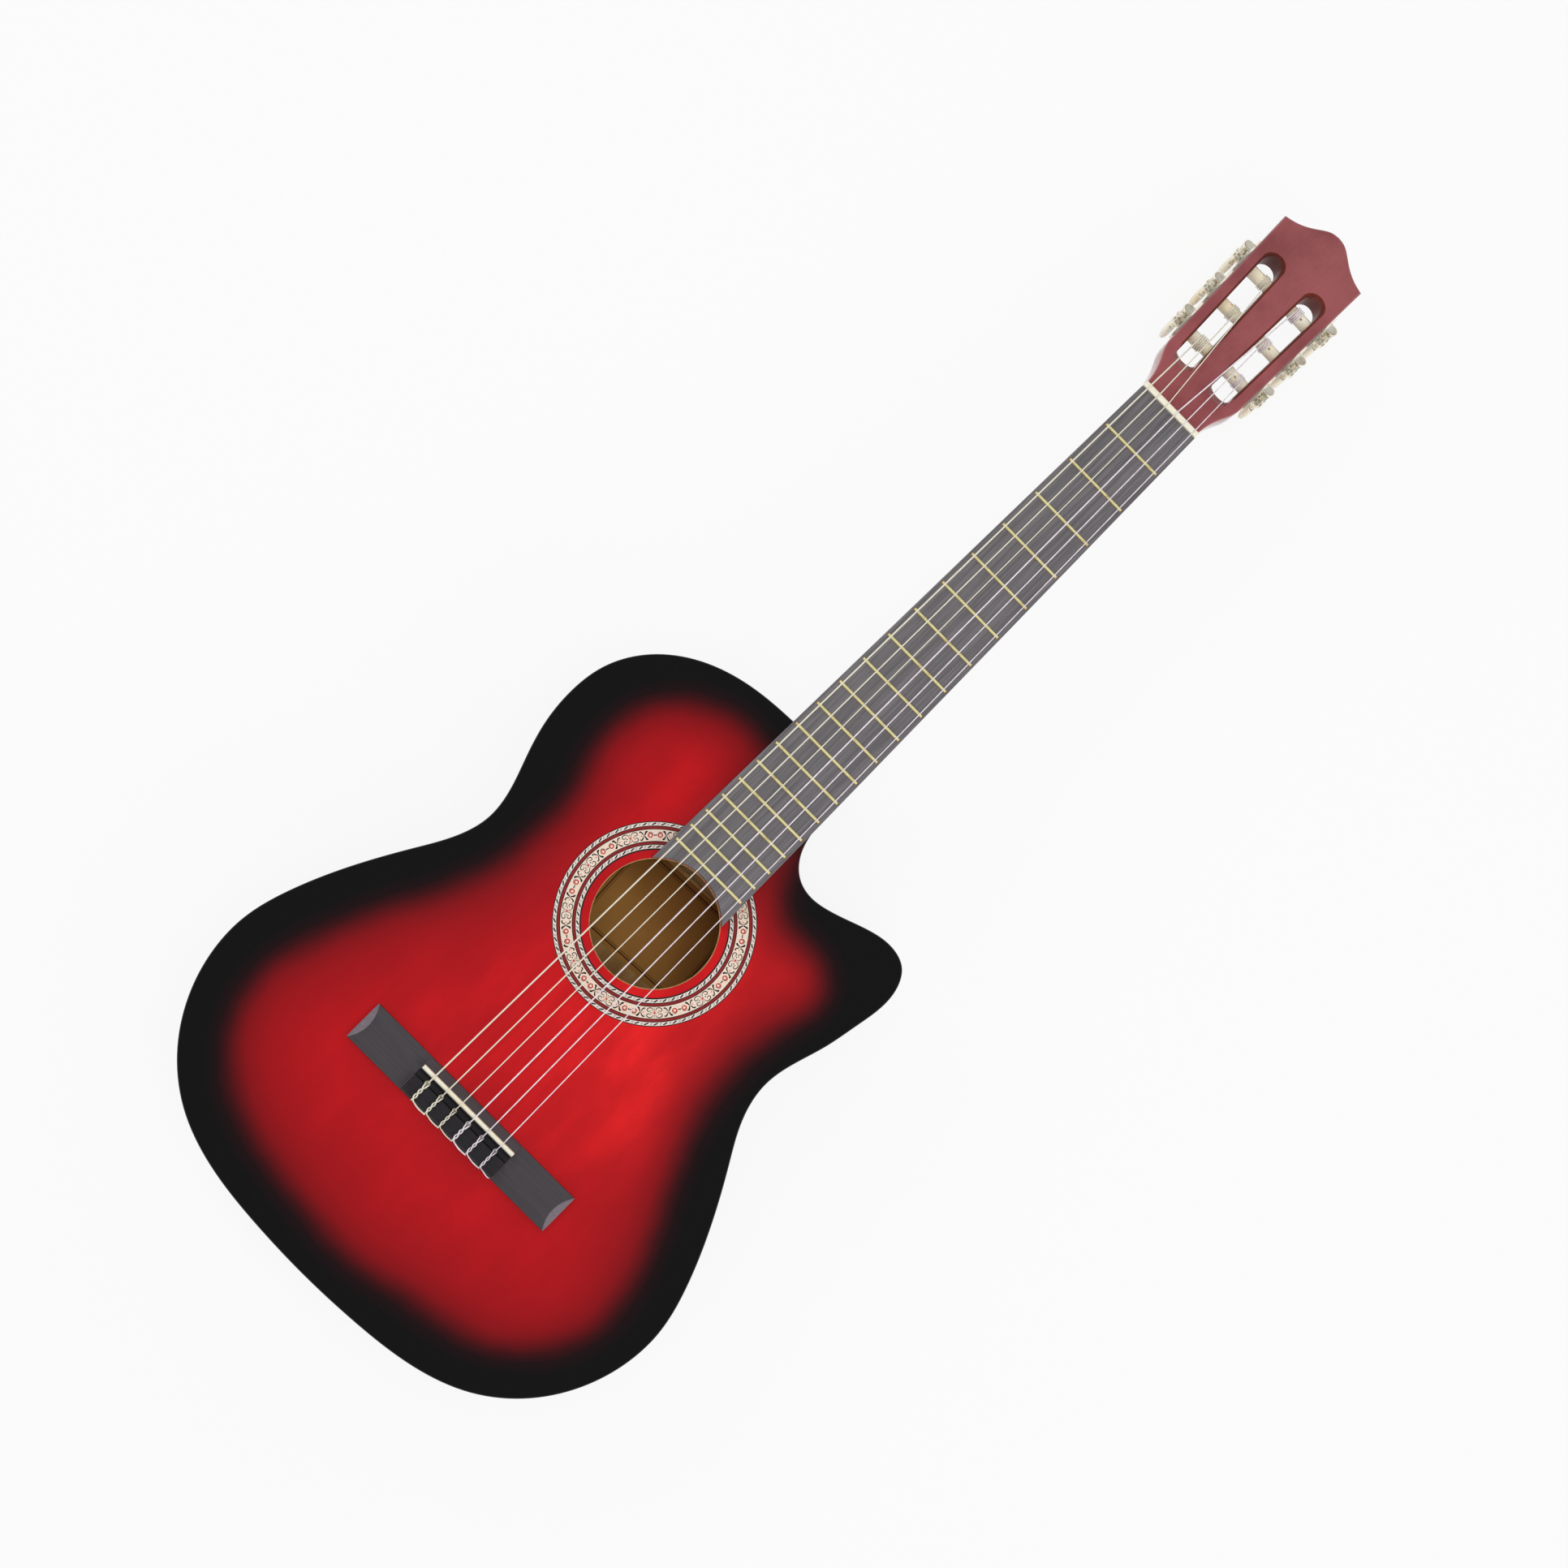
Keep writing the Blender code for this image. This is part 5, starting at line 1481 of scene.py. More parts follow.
    def back_and_sides(self) -> None:
        """Black back with a rounded edge, and the two bent sides with bare wood inside."""
        outline, tail = self.outline()
        inner = inset(outline, self.side_thick)
        materials = [self.bench.finishes.black, self.bench.finishes.inside]
        back = Slab([outline], 0.0, self.back_thick, bottom_round=self.edge_round)
        self.bench.show(back.form(face=1).mesh("back"), "back", materials, Slot.BLACK, ["back_plate"])
        count = len(outline)
        for side, indices in ((Side.BASS, range(0, tail + 1)), (Side.TREBLE, range(tail, count + 1))):
            walls = [[loop[i % count] for i in indices] for loop in (outline, inner)]
            edge = side.value * LAYOUT.gap / 2
            for wall in walls:
                for i in (0, -1):
                    if abs(wall[i][0]) < LAYOUT.gap:
                        wall[i] = (edge, wall[i][1])
            low, high = self.back_thick, LAYOUT.underside_z
            around = ((0, low), (0, high), (1, high), (1, low))
            rings = [raised(walls[layer], z) for layer, z in around]
            form = Form()
            form.skin([*rings, rings[0]], [0, 1, 1, 1], closed=False)
            for i in (0, -1):
                form.add([ring[i] for ring in rings], [(0, 1, 2, 3)])
            name = side.word + "_rib"
            self.bench.show(form.mesh(name), name, materials, Slot.BLACK, [side.word + "_side"])

    def inner_wood(self) -> None:
        """Dresses the blocks, linings, bars and struts, whose shapes stay as they are."""
        along = ["neck_block", "tail_block", *(f"fan_strut_{i}" for i in range(1, 6))]
        for side in Side:
            along += [side.word + "_top_lining", side.word + "_back_lining"]
        across = ["upper_harmonic_bar", "lower_harmonic_bar", "upper_back_bar", "lower_back_bar"]
        self.bench.dress(along, self.bench.finishes.spruce)
        self.bench.dress(across, self.bench.finishes.brace)

    def label(self) -> None:
        """Paper label glued inside the back, under the soundhole."""
        half, reach = self.label_width / 2, self.label_length / 2
        loop = [(-half, -reach), (half, -reach), (half, reach), (-half, reach)]
        bottom = self.back_thick + LAYOUT.gap
        slab = Slab([loop], bottom, bottom + self.label_thick, spacing=self.label_grid)
        mesh = slab.form().mesh("label")
        inside_border = np.array(self.border_half) - np.abs(flat_places(mesh))
        give_numbers(mesh, "frame", inside_border.min(axis=1))
        place = Matrix.Translation((*self.label_middle, 0))
        mesh.transform(place @ Matrix.Rotation(self.label_turn, 4, "Z"))
        self.bench.show(mesh, "label_sheet", [self.bench.finishes.paper], Slot.PAPER, ["label"])

    def strap_button(self) -> None:
        """Turned brass button at the tail, with a slotted screw in it."""
        flange, neck, length = self.flange, self.button_neck, self.button_length
        corners = [
            (0, 0, 0), (flange * 0.9, 0, 0.0002), (flange * 0.9, 0.0008, 0.0002),
            (neck, 0.0016, 0.0005), (neck, length * 0.60, 0.0008), (flange, length * 0.74, 0.0006),
            (flange, length, 0.0009), (flange * 0.46, length, 0.0003),
            (flange * 0.40, length * 0.88, 0.0002), (flange * 0.34, length * 0.88, 0.0002),
            (flange * 0.30, length * 0.95, 0.0004), (0, length * 0.97, 0),
        ]
        groove = block((-0.003, -0.0003, length * 0.90), (0.003, 0.0003, length * 1.1))
        mesh = combined(turned(profile_of(corners), 56).mesh("strap_button"), groove)
        place = Matrix.Translation((0, LAYOUT.tail_y - LAYOUT.gap, LAYOUT.body_depth / 2))
        mesh.transform(place @ Matrix.Rotation(pi / 2, 4, "X"))
        self.bench.show(mesh, "tail_button", [self.bench.finishes.gold], Slot.BRASS, ["strap_button"])

    def build(self) -> None:
        """Builds the whole body."""
        self.soundboard()
        self.back_and_sides()
        self.inner_wood()
        self.label()
        self.strap_button()


class Veneer(Enum):
    """Dyed veneers of the rosette, each with its finish number."""

    IVORY = 0
    WHITE = 1
    BLACK = 2
    RED = 3
    CORAL = 4


Mark = tuple[Veneer, Loop]


@dataclass
class Rosette:
    """Inlaid ring round the soundhole: lines, rope borders and a scrolled ornament.

    Its radii are in millimetres. A mark is a veneer and its closed loop; scroll
    marks are drawn in millimetres from the middle of one repeat, and rope marks in
    shares of their cell.
    """

    bench: Bench
    repeats: int = 11
    first_angle: float = radians(184.0)
    outer_rope: Point = (65.7, 63.5)
    outer_rope_cells: int = 66
    ornament: Point = (61.0, 53.5)
    inner_rope: Point = (51.0, 48.7)
    inner_rope_cells: int = 55
    line_half: float = 0.3
    tick_half: float = 0.3
    hook_half: float = 0.42
    shade_half: float = 0.2

    def stroke(self, path: Sequence[Point], half: float) -> Loop:
        """A drawn line as a closed loop, thinner at its ends.

        Args:
            path: Points along it.
            half: Half its width in the middle.

        Returns:
            The loop.
        """
        points = np.array(smooth_through(path, 4) if len(path) > 2 else path)
        along = np.gradient(points, axis=0)
        along /= np.linalg.norm(along, axis=1)[:, None]
        across = np.stack([-along[:, 1], along[:, 0]], axis=1)
        share = np.linspace(0, 1, len(points))
        width = half * (0.45 + 0.55 * np.sin(pi * share))[:, None]
        edge = [*(points + across * width), *reversed(points - across * width)]
        return [(float(x), float(y)) for x, y in edge]

    def scroll_marks(self) -> list[Mark]:
        """The ornament of one repeat: a four-part scroll, leaf crosses, lozenges and dashes.

        Returns:
            The marks, from the middle of the repeat.
        """
        black, coral = Veneer.BLACK, Veneer.CORAL
        curl = [
            (0.8, 0.75), (1.0, 2.1), (2.2, 3.05), (3.8, 3.0), (4.85, 2.1), (4.5, 0.95), (3.3, 0.85),
            (2.5, 1.6),
        ]
        leaf = [
            (9.15, 0.15), (9.5, 1.2), (9.9, 2.4), (10.9, 3.1), (11.7, 2.6), (11.1, 1.9), (10.4, 1.2),
            (9.9, 0.3),
        ]
        lozenge = [(11.3, 0.0), (12.2, 1.3), (13.4, 1.65), (14.9, 0.0), (13.4, -1.65), (12.2, -1.3)]
        heart = [(12.2, 0.0), (12.8, 0.75), (13.4, 0.85), (14.0, 0.0), (13.4, -0.85), (12.8, -0.75)]
        dash = [(15.1, 0.0), (15.7, 0.5), (16.3, 0.35), (16.3, -0.35), (15.7, -0.5)]
        hook = [(8.95, 0.2), (8.3, 1.3), (7.4, 2.5), (6.6, 2.7), (6.4, 2.0)]
        shade = [(11.6, 1.1), (12.6, 1.95), (13.9, 1.75), (14.8, 0.7)]
        petal, hollow = 1.25, 0.4
        petals = [
            (petal, 0), (hollow, hollow), (0, petal), (-hollow, hollow),
            (-petal, 0), (-hollow, -hollow), (0, -petal), (hollow, -hollow),
        ]
        marks = [(coral, petals)]
        for way, rise in ((1, 1), (1, -1), (-1, 1), (-1, -1)):
            for loop in (self.stroke(curl, self.line_half), smooth_ring(leaf, 2)):
                marks.append((black, [(x * way, y * rise) for x, y in loop]))
        for way in (-1, 1):
            marks.append((black, self.stroke([(0.0, way * 1.5), (0.0, way * 2.9)], self.tick_half)))
            marks.append((black, circle(way * 2.3, 0.0, 0.45, 8)))
            marks.append((coral, smooth_ring([(x * way, y) for x, y in lozenge], 3)))
            marks.append((Veneer.IVORY, smooth_ring([(x * way, y) for x, y in heart], 3)))
            marks.append((black, [(x * way, y) for x, y in dash]))
            for rise in (-1, 1):
                marks.append((black, self.stroke([(x * way, y * rise) for x, y in hook], self.hook_half)))
            marks.append((coral, circle(way * 7.3, 0.0, 0.42, 8)))
            marks.append((black, self.stroke([(x * way, y) for x, y in shade], self.shade_half)))
        return marks

    @staticmethod
    def rope_marks(length: float, height: float) -> list[Mark]:
        """The marks of one cell of a rope border.

        Args:
            length: The cell's length.
            height: The border's width.

        Returns:
            The marks, from the middle of the cell.
        """
        dash = [(-0.42, -0.32), (-0.28, -0.4), (0.06, 0.06), (0.14, 0.34), (-0.02, 0.4), (-0.34, -0.04)]
        first = [(0.18, -0.38), (0.22, -0.38), (0.34, 0.38), (0.30, 0.38)]
        second = [(0.30, -0.38), (0.34, -0.38), (0.46, 0.38), (0.42, 0.38)]
        return [(Veneer.BLACK, [(x * length, y * height) for x, y in loop]) for loop in (dash, first, second)]

    def patterned(self, form: Form, edges: Point, cells: int, ground: Veneer, marks: list[Mark]) -> None:
        """Adds a border made of equal cells with marks in them.

        Args:
            form: The ring's form.
            edges: The border's outer and inner radius in millimetres.
            cells: How many cells go round.
            ground: The veneer between the marks.
            marks: The marks of one cell.
        """
        outer, inner = edges
        middle, half = (outer + inner) / 2, (outer - inner) / 2
        reach = pi * middle / cells
        count = LAYOUT.hole_steps // cells
        row = [reach * (2 * i / count - 1) for i in range(count + 1)]
        border = [(x, -half) for x in row] + [(x, half) for x in reversed(row)]
        points, triangles, middles = triangles_over([border, *(loop for _, loop in marks)])
        veneers = np.full(len(triangles), ground.value)
        for veneer, loop in marks:
            veneers[inside(middles, [loop])] = veneer.value
        for cell in range(cells):
            turn = self.first_angle + TURN * cell / cells
            spots = [self.spot(turn - x / middle, middle + y, LAYOUT.top_z) for x, y in points]
            for veneer in Veneer:
                faces = [face for face, value in zip(triangles, veneers) if value == veneer.value]
                form.add(spots, faces, veneer.value)

    @staticmethod
    def spot(angle: float, radius: float, z: float) -> Spot:
        """A spot round the soundhole's middle, at a radius in millimetres."""
        return (radius * MM * cos(angle), LAYOUT.hole_y + radius * MM * sin(angle), z)

    def ring(self, radius: float, z: float) -> Ring:
        """A circle round the soundhole's middle."""
        steps = LAYOUT.hole_steps
        return [self.spot(self.first_angle - TURN * i / steps, radius, z) for i in range(steps)]

    def build(self) -> None:
        """Builds the ring, its face flush with the soundboard."""
        form = Form()
        lines = (
            (66.3, 65.7, Veneer.BLACK), (63.5, 63.0, Veneer.BLACK), (63.0, 61.5, Veneer.RED),
            (61.5, 61.0, Veneer.BLACK), (53.5, 53.0, Veneer.BLACK), (53.0, 51.5, Veneer.RED),
            (51.5, 51.0, Veneer.BLACK), (48.7, 47.7, Veneer.BLACK),
        )
        top = LAYOUT.top_z
        bottom = top - LAYOUT.rosette_thick
        for outer, inner, veneer in lines:
            form.skin([self.ring(outer, top), self.ring(inner, top)], veneer.value)
        ropes = ((self.outer_rope, self.outer_rope_cells), (self.inner_rope, self.inner_rope_cells))
        for edges, cells in ropes:
            length = pi * (edges[0] + edges[1]) / cells
            self.patterned(form, edges, cells, Veneer.WHITE, self.rope_marks(length, edges[0] - edges[1]))
        self.patterned(form, self.ornament, self.repeats, Veneer.IVORY, self.scroll_marks())
        outside, within = lines[0][0], lines[-1][1]
        wall = ((within, top), (within, bottom), (outside, bottom), (outside, top))
        form.skin([self.ring(radius, z) for radius, z in wall], Veneer.BLACK.value)
        veneers = self.bench.finishes.veneers
        self.bench.show(form.mesh("rosette", weld=2e-6), "rosette_ring", veneers, Slot.INLAY, ["rosette"])


@dataclass
class Neck:
    """Shaft, heel and slotted head, with the fingerboard, its frets and the nut."""

    bench: Bench
    shaft_depth_nut: float = 0.0150
    shaft_depth_heel: float = 0.0175
    undercut: float = 0.0004
    heel_length: float = 0.050
    heel_margin: float = 0.002
    heel_curve: float = 2.4
    heel_spread: float = 1.4
    side_to: float = 0.173
    tip: float = 0.192
    edge_round: float = 0.0013
    slot_half: float = 0.008
    slot_inboard: float = 0.017
    slot_from: float = 0.0345
    slot_to: float = 0.1444
    ramp_length: float = 0.0072
    ramp_depth: float = 0.0115
    ramp_width: float = 1.012
    ramp_bend: float = 0.0055
    board_hole_margin: float = 0.0007
    fret_height: float = 0.0010
    fret_width: float = 0.0021
    fret_inset: float = 0.0015
    nut_inset: float = 0.0002

    def section(self, y: float, half: float, shaft_depth: float, heel_share: float) -> Ring:
        """One cross section of the shaft: flat on top, round below, drawn down at the heel.

        Args:
            y: Its place along the neck.
            half: Half its width.
            shaft_depth: Its depth where there is no heel.
            heel_share: How much of the heel there is, from 0 to 1.

        Returns:
            The section's points.
        """
        shaft = ((1.0, 0.0), (0.985, 0.30), (0.90, 0.58), (0.71, 0.81), (0.42, 0.955), (0.14, 1.0))
        heel = ((1.0, 0.0), (0.96, 0.10), (0.86, 0.24), (0.66, 0.50), (0.50, 0.80), (0.42, 1.0))
        heel_depth = LAYOUT.body_depth - self.heel_margin
        knots = []
        for (x0, z0), (x1, z1) in zip(shaft, heel):
            x = half * (x0 + (x1 - x0) * heel_share)
            knots.append((x, z0 * shaft_depth + (z1 * heel_depth - z0 * shaft_depth) * heel_share))
        side = [(x, y, LAYOUT.top_z - depth) for x, depth in smooth_through(knots, 4)]
        return side + [(-x, y, z) for x, y, z in reversed(side)]

    def shaft(self) -> Form:
        """The shaft and the heel, running into the head.

        Returns:
            The form.
        """
        start, nut = LAYOUT.neck_joint_y, LAYOUT.head_start_y
        heel_rings, shaft_rings = 26, 8
        spots = [start + self.heel_length * (i / heel_rings) ** self.heel_spread for i in range(heel_rings)]
        rest = nut - start - self.heel_length
        spots += [start + self.heel_length + rest * i / shaft_rings for i in range(shaft_rings + 1)]
        rings = []
        for y in spots:
            share = (y - start) / (nut - start)
            depth = self.shaft_depth_heel + (self.shaft_depth_nut - self.shaft_depth_heel) * share
            run = min((y - start) / self.heel_length, 1.0)
            half = LAYOUT.board_half(min(y, LAYOUT.scale_length)) - self.undercut
            if run < 1:
                half = min(half, LAYOUT.wall_x)
            rings.append(self.section(y, half, depth, (1 - run) ** self.heel_curve))
        thick, into_head = LAYOUT.head_thick, 0.018
        inner = self.section(into_head, LAYOUT.board_nut_half * 0.8, thick * 0.7, 0)
        drop = LAYOUT.top_z + thick * 0.15
        rings.append([tuple(LAYOUT.head_frame @ Vector((x, y, z - drop))) for x, y, z in inner])
        return Form.over(rings)

    def head_outline(self) -> Loop:
        """The head's outline in its own frame: flared shoulders, tapered sides and a crest.

        Returns:
            The loop, from the treble side of the nut.
        """
        half, top_half = LAYOUT.head_side_half, LAYOUT.head_half(self.side_to)
        start = LAYOUT.board_nut_half - 0.0008
        flare = ((0.10, 0.008), (0.29, 0.016), (0.60, 0.024), (0.89, 0.031))
        shoulder = [(start, -0.0010), *((start + share * (half - start), s) for share, s in flare)]
        shoulder.append((half, LAYOUT.head_side_from))
        crown = ((0.77, 0.0164), (0.53, 0.0114), (0.32, 0.0050), (0.15, 0.0010))
        crest = [(top_half, self.side_to), *((share * top_half, self.tip - s) for share, s in crown)]
        crest.append((0.0, self.tip))
        right = smooth_through(shoulder, 5) + smooth_through(crest, 5)
        return right + [(-x, s) for x, s in reversed(right[:-1])]

    def slot_loop(self, side: Side) -> Loop:
        """The outline of one string slot.

        Args:
            side: The side of the head.

        Returns:
            The loop in the head's frame, clockwise.
        """
        middle = LAYOUT.roller_first + LAYOUT.roller_spacing
        low, high = self.slot_from - middle + self.slot_half, self.slot_to - middle - self.slot_half
        cosine, sine = cos(LAYOUT.head_taper), sin(LAYOUT.head_taper)
        ends = arc(-self.slot_inboard, high, self.slot_half, 0, pi, 18)
        ends += arc(-self.slot_inboard, low, self.slot_half, pi, TURN, 18)
        loop = []
        for x, y in ends:
            across = LAYOUT.head_half(middle) + x * cosine + y * sine
            loop.append((side.value * across, middle - x * sine + y * cosine))
        return loop[::-1] if side is Side.TREBLE else loop

    def ramp(self, side: Side) -> Form:
        """The tool that cuts the sloping ramp at a slot's nut end.

        Args:
            side: The side of the head.

        Returns:
            The tool, in place.
        """
        middle = LAYOUT.roller_first + LAYOUT.roller_spacing
        face = LAYOUT.head_thick / 2
        start = self.slot_from - middle - self.ramp_length
        run = self.ramp_length + self.slot_half
        half = self.slot_half * self.ramp_width
        bend = self.ramp_bend
        low = start - 0.0003 + bend
        loop = [(half, start + run), (-half, start + run)]
        loop += arc(bend - half, low, bend, pi, 1.5 * pi, 6) + arc(half - bend, low, bend, 1.5 * pi, TURN, 6)
        slope = [(x, along, face - (along - start) * self.ramp_depth / run) for x, along in loop]
        rings = [
            [(x - self.slot_inboard, side.value * along, z) for x, along, z in ring]
            for ring in (slope, raised(loop, face + 0.003))
        ]
        return Form.over(rings).moved(LAYOUT.machine_frame(1, side))

    def wood(self) -> None:
        """Builds the neck from its shaft and its head, then cuts the ramps and the roller bores."""
        loops = [self.head_outline(), self.slot_loop(Side.TREBLE), self.slot_loop(Side.BASS)]
        bend = self.edge_round
        head = Slab(loops, -LAYOUT.head_thick, 0.0, top_round=bend, bottom_round=bend)
        # The slot walls take finish 1, the darker wine that paints shade inside the slots.
        mesh = head.form(holes=1).moved(LAYOUT.head_frame).mesh("neck")
        mesh = combined(mesh, self.shaft(), "UNION")
        inner_end = -LAYOUT.roller_reach - LAYOUT.running_gap
        bore = rod(LAYOUT.roller_radius + LAYOUT.running_gap, (inner_end, 0, 0), (0.002, 0, 0), 40)
        tools = Form()
        for side in Side:
            tools.joined(self.ramp(side))
            for number in range(3):
                tools.joined(bore.moved(LAYOUT.machine_frame(number, side)))
        made = self.bench.finishes
        mesh = combined(mesh, tools)
        self.bench.show(mesh, "neck_wood", [made.wine, made.wine_shade], Slot.WINE, ["neck"], sharp=28)

    def fingerboard(self) -> None:
        """Tapered board whose end follows the soundhole, and the frets pressed into it."""
        radius = LAYOUT.hole_radius + self.board_hole_margin
        corner = LAYOUT.hole_y + radius / 2
        for _ in range(20):
            corner = LAYOUT.hole_y + sqrt(radius**2 - LAYOUT.board_half(corner) ** 2)
        spread = acos(LAYOUT.board_half(corner) / radius)
        loop = arc(0, LAYOUT.hole_y, radius, pi - spread, spread, 36)
        nut_half = LAYOUT.board_half(LAYOUT.scale_length)
        loop += [(nut_half, LAYOUT.scale_length), (-nut_half, LAYOUT.scale_length)]
        slab = Slab([loop], LAYOUT.top_z, LAYOUT.board_z, top_round=0.0005, hold=0.0002)
        made = self.bench.finishes
        self.bench.show(slab.form().mesh("board"), "board", [made.board], Slot.DARK_WOOD, ["fingerboard"])
        frets = Form()
        for number in range(1, LAYOUT.fret_count + 1):
            frets.joined(self.fret(LAYOUT.fret_y(number)))
        self.bench.show(frets.mesh("frets"), "frets", [made.brass], Slot.BRASS)

    def fret(self, y: float) -> Form:
        """One fret: a domed wire with sloping ends.

        Args:
            y: Its place along the strings.

        Returns:
            The form.
        """
        reach = LAYOUT.board_half(y) - self.fret_inset
        half = self.fret_width / 2
        bottom = LAYOUT.board_z - LAYOUT.gap
        rings = []
        for x, share in ((-reach, 0.15), (-reach + 0.0004, 0.7), (-reach + 0.0010, 1.0)):
            dome = arc(0, 0, 1, 0, pi, 8)
            ring = [(x, y - half, bottom), (x, y + half, bottom)]
            ring += [(x, y + half * a, LAYOUT.board_z + self.fret_height * share * b) for a, b in dome]
            rings.append(ring)
        rings += [[(-x, *rest) for x, *rest in ring] for ring in reversed(rings)]
        return Form.over(rings)

    def nut(self) -> None:
        """Bone nut, rounded behind, with a round-bottomed slot for each string."""
        half = LAYOUT.board_half(LAYOUT.scale_length) - self.nut_inset
        low, high = LAYOUT.scale_length, LAYOUT.scale_length + LAYOUT.nut_thick
        bottom, top = LAYOUT.top_z + LAYOUT.gap, LAYOUT.top_z + LAYOUT.nut_height
        corners = [
            (low, bottom, 0), (high, bottom, 0), (high, top - 0.0014, 0.0012),
            (high - 0.0016, top - 0.0001, 0.0010), (low, top, 0.0008),
        ]
        profile = [*profile_of(corners), (low, top - 0.0008)]
        bone = Slab([profile], -half, half, top_round=0.0002, bottom_round=0.0002, hold=0.00005)
        tools = Form()
        for number, diameter in enumerate(STRINGS.diameters):
            radius = diameter / 2 + 0.00005
            x, z = STRINGS.nut_x(number), STRINGS.nut_z(number)
            loop = [(x + radius, z + 0.003), (x - radius, z + 0.003)]
            loop += arc(x, z, radius, pi, TURN, 8)
            tools.joined(Form.over([[(a, y, b) for a, b in loop] for y in (low - 0.001, high + 0.001)]))
        mesh = combined(bone.form().moved(THICKNESS_TO_X).mesh("nut"), tools)
        self.bench.show(mesh, "nut_bone", [self.bench.finishes.bone], Slot.BONE, ["nut"])

    def build(self) -> None:
        """Builds the whole neck."""
        self.wood()
        self.fingerboard()
        self.nut()


@dataclass(frozen=True)
class StringPlan:
    """Sizes of the strings and the places that they pass, counted from the thin treble one."""

    diameters: tuple[float, ...] = (0.00071, 0.00082, 0.00102, 0.00074, 0.00089, 0.00109)
    spacing_saddle: float = 0.0121
    spacing_nut: float = 0.0084
    saddle_y: float = 0.0015
    saddle_height: float = 0.0132
    saddle_lift: float = 0.0003
    hole_height: float = 0.0062
    wind_turns: float = 3.2
    self_gap: float = 0.00046
    # For each string: its roller, where on the roller it arrives, and the way its turns go.
    rollers: tuple[tuple[int, float, int], ...] = (
        (0, 0.0130, -1), (1, 0.0219, 1), (2, 0.0221, 1), (2, 0.0225, 1), (1, 0.0208, 1),
        (0, 0.0146, -1),
    )

    def saddle_x(self, number: int) -> float:
        """Place of a string across the saddle."""
        return (2.5 - number) * self.spacing_saddle

    def nut_x(self, number: int) -> float:
        """Place of a string across the nut."""
        return (2.5 - number) * self.spacing_nut

    def nut_z(self, number: int) -> float:
        """Height of a string's middle in its nut slot."""
        lift = LAYOUT.nut_height - LAYOUT.nut_slot_depth + LAYOUT.gap
        return LAYOUT.top_z + lift + self.diameters[number] / 2

    def pitch(self, number: int) -> float:
        """Distance between two turns of a string on its roller."""
        return self.diameters[number] + self.self_gap

    def hole_x(self, number: int) -> float:
        """Place along a roller of the cross hole that takes the string's end."""
        _, inboard, way = self.rollers[number]
        return way * (self.pitch(number) * self.wind_turns + 0.0016) - inboard


STRINGS = StringPlan()


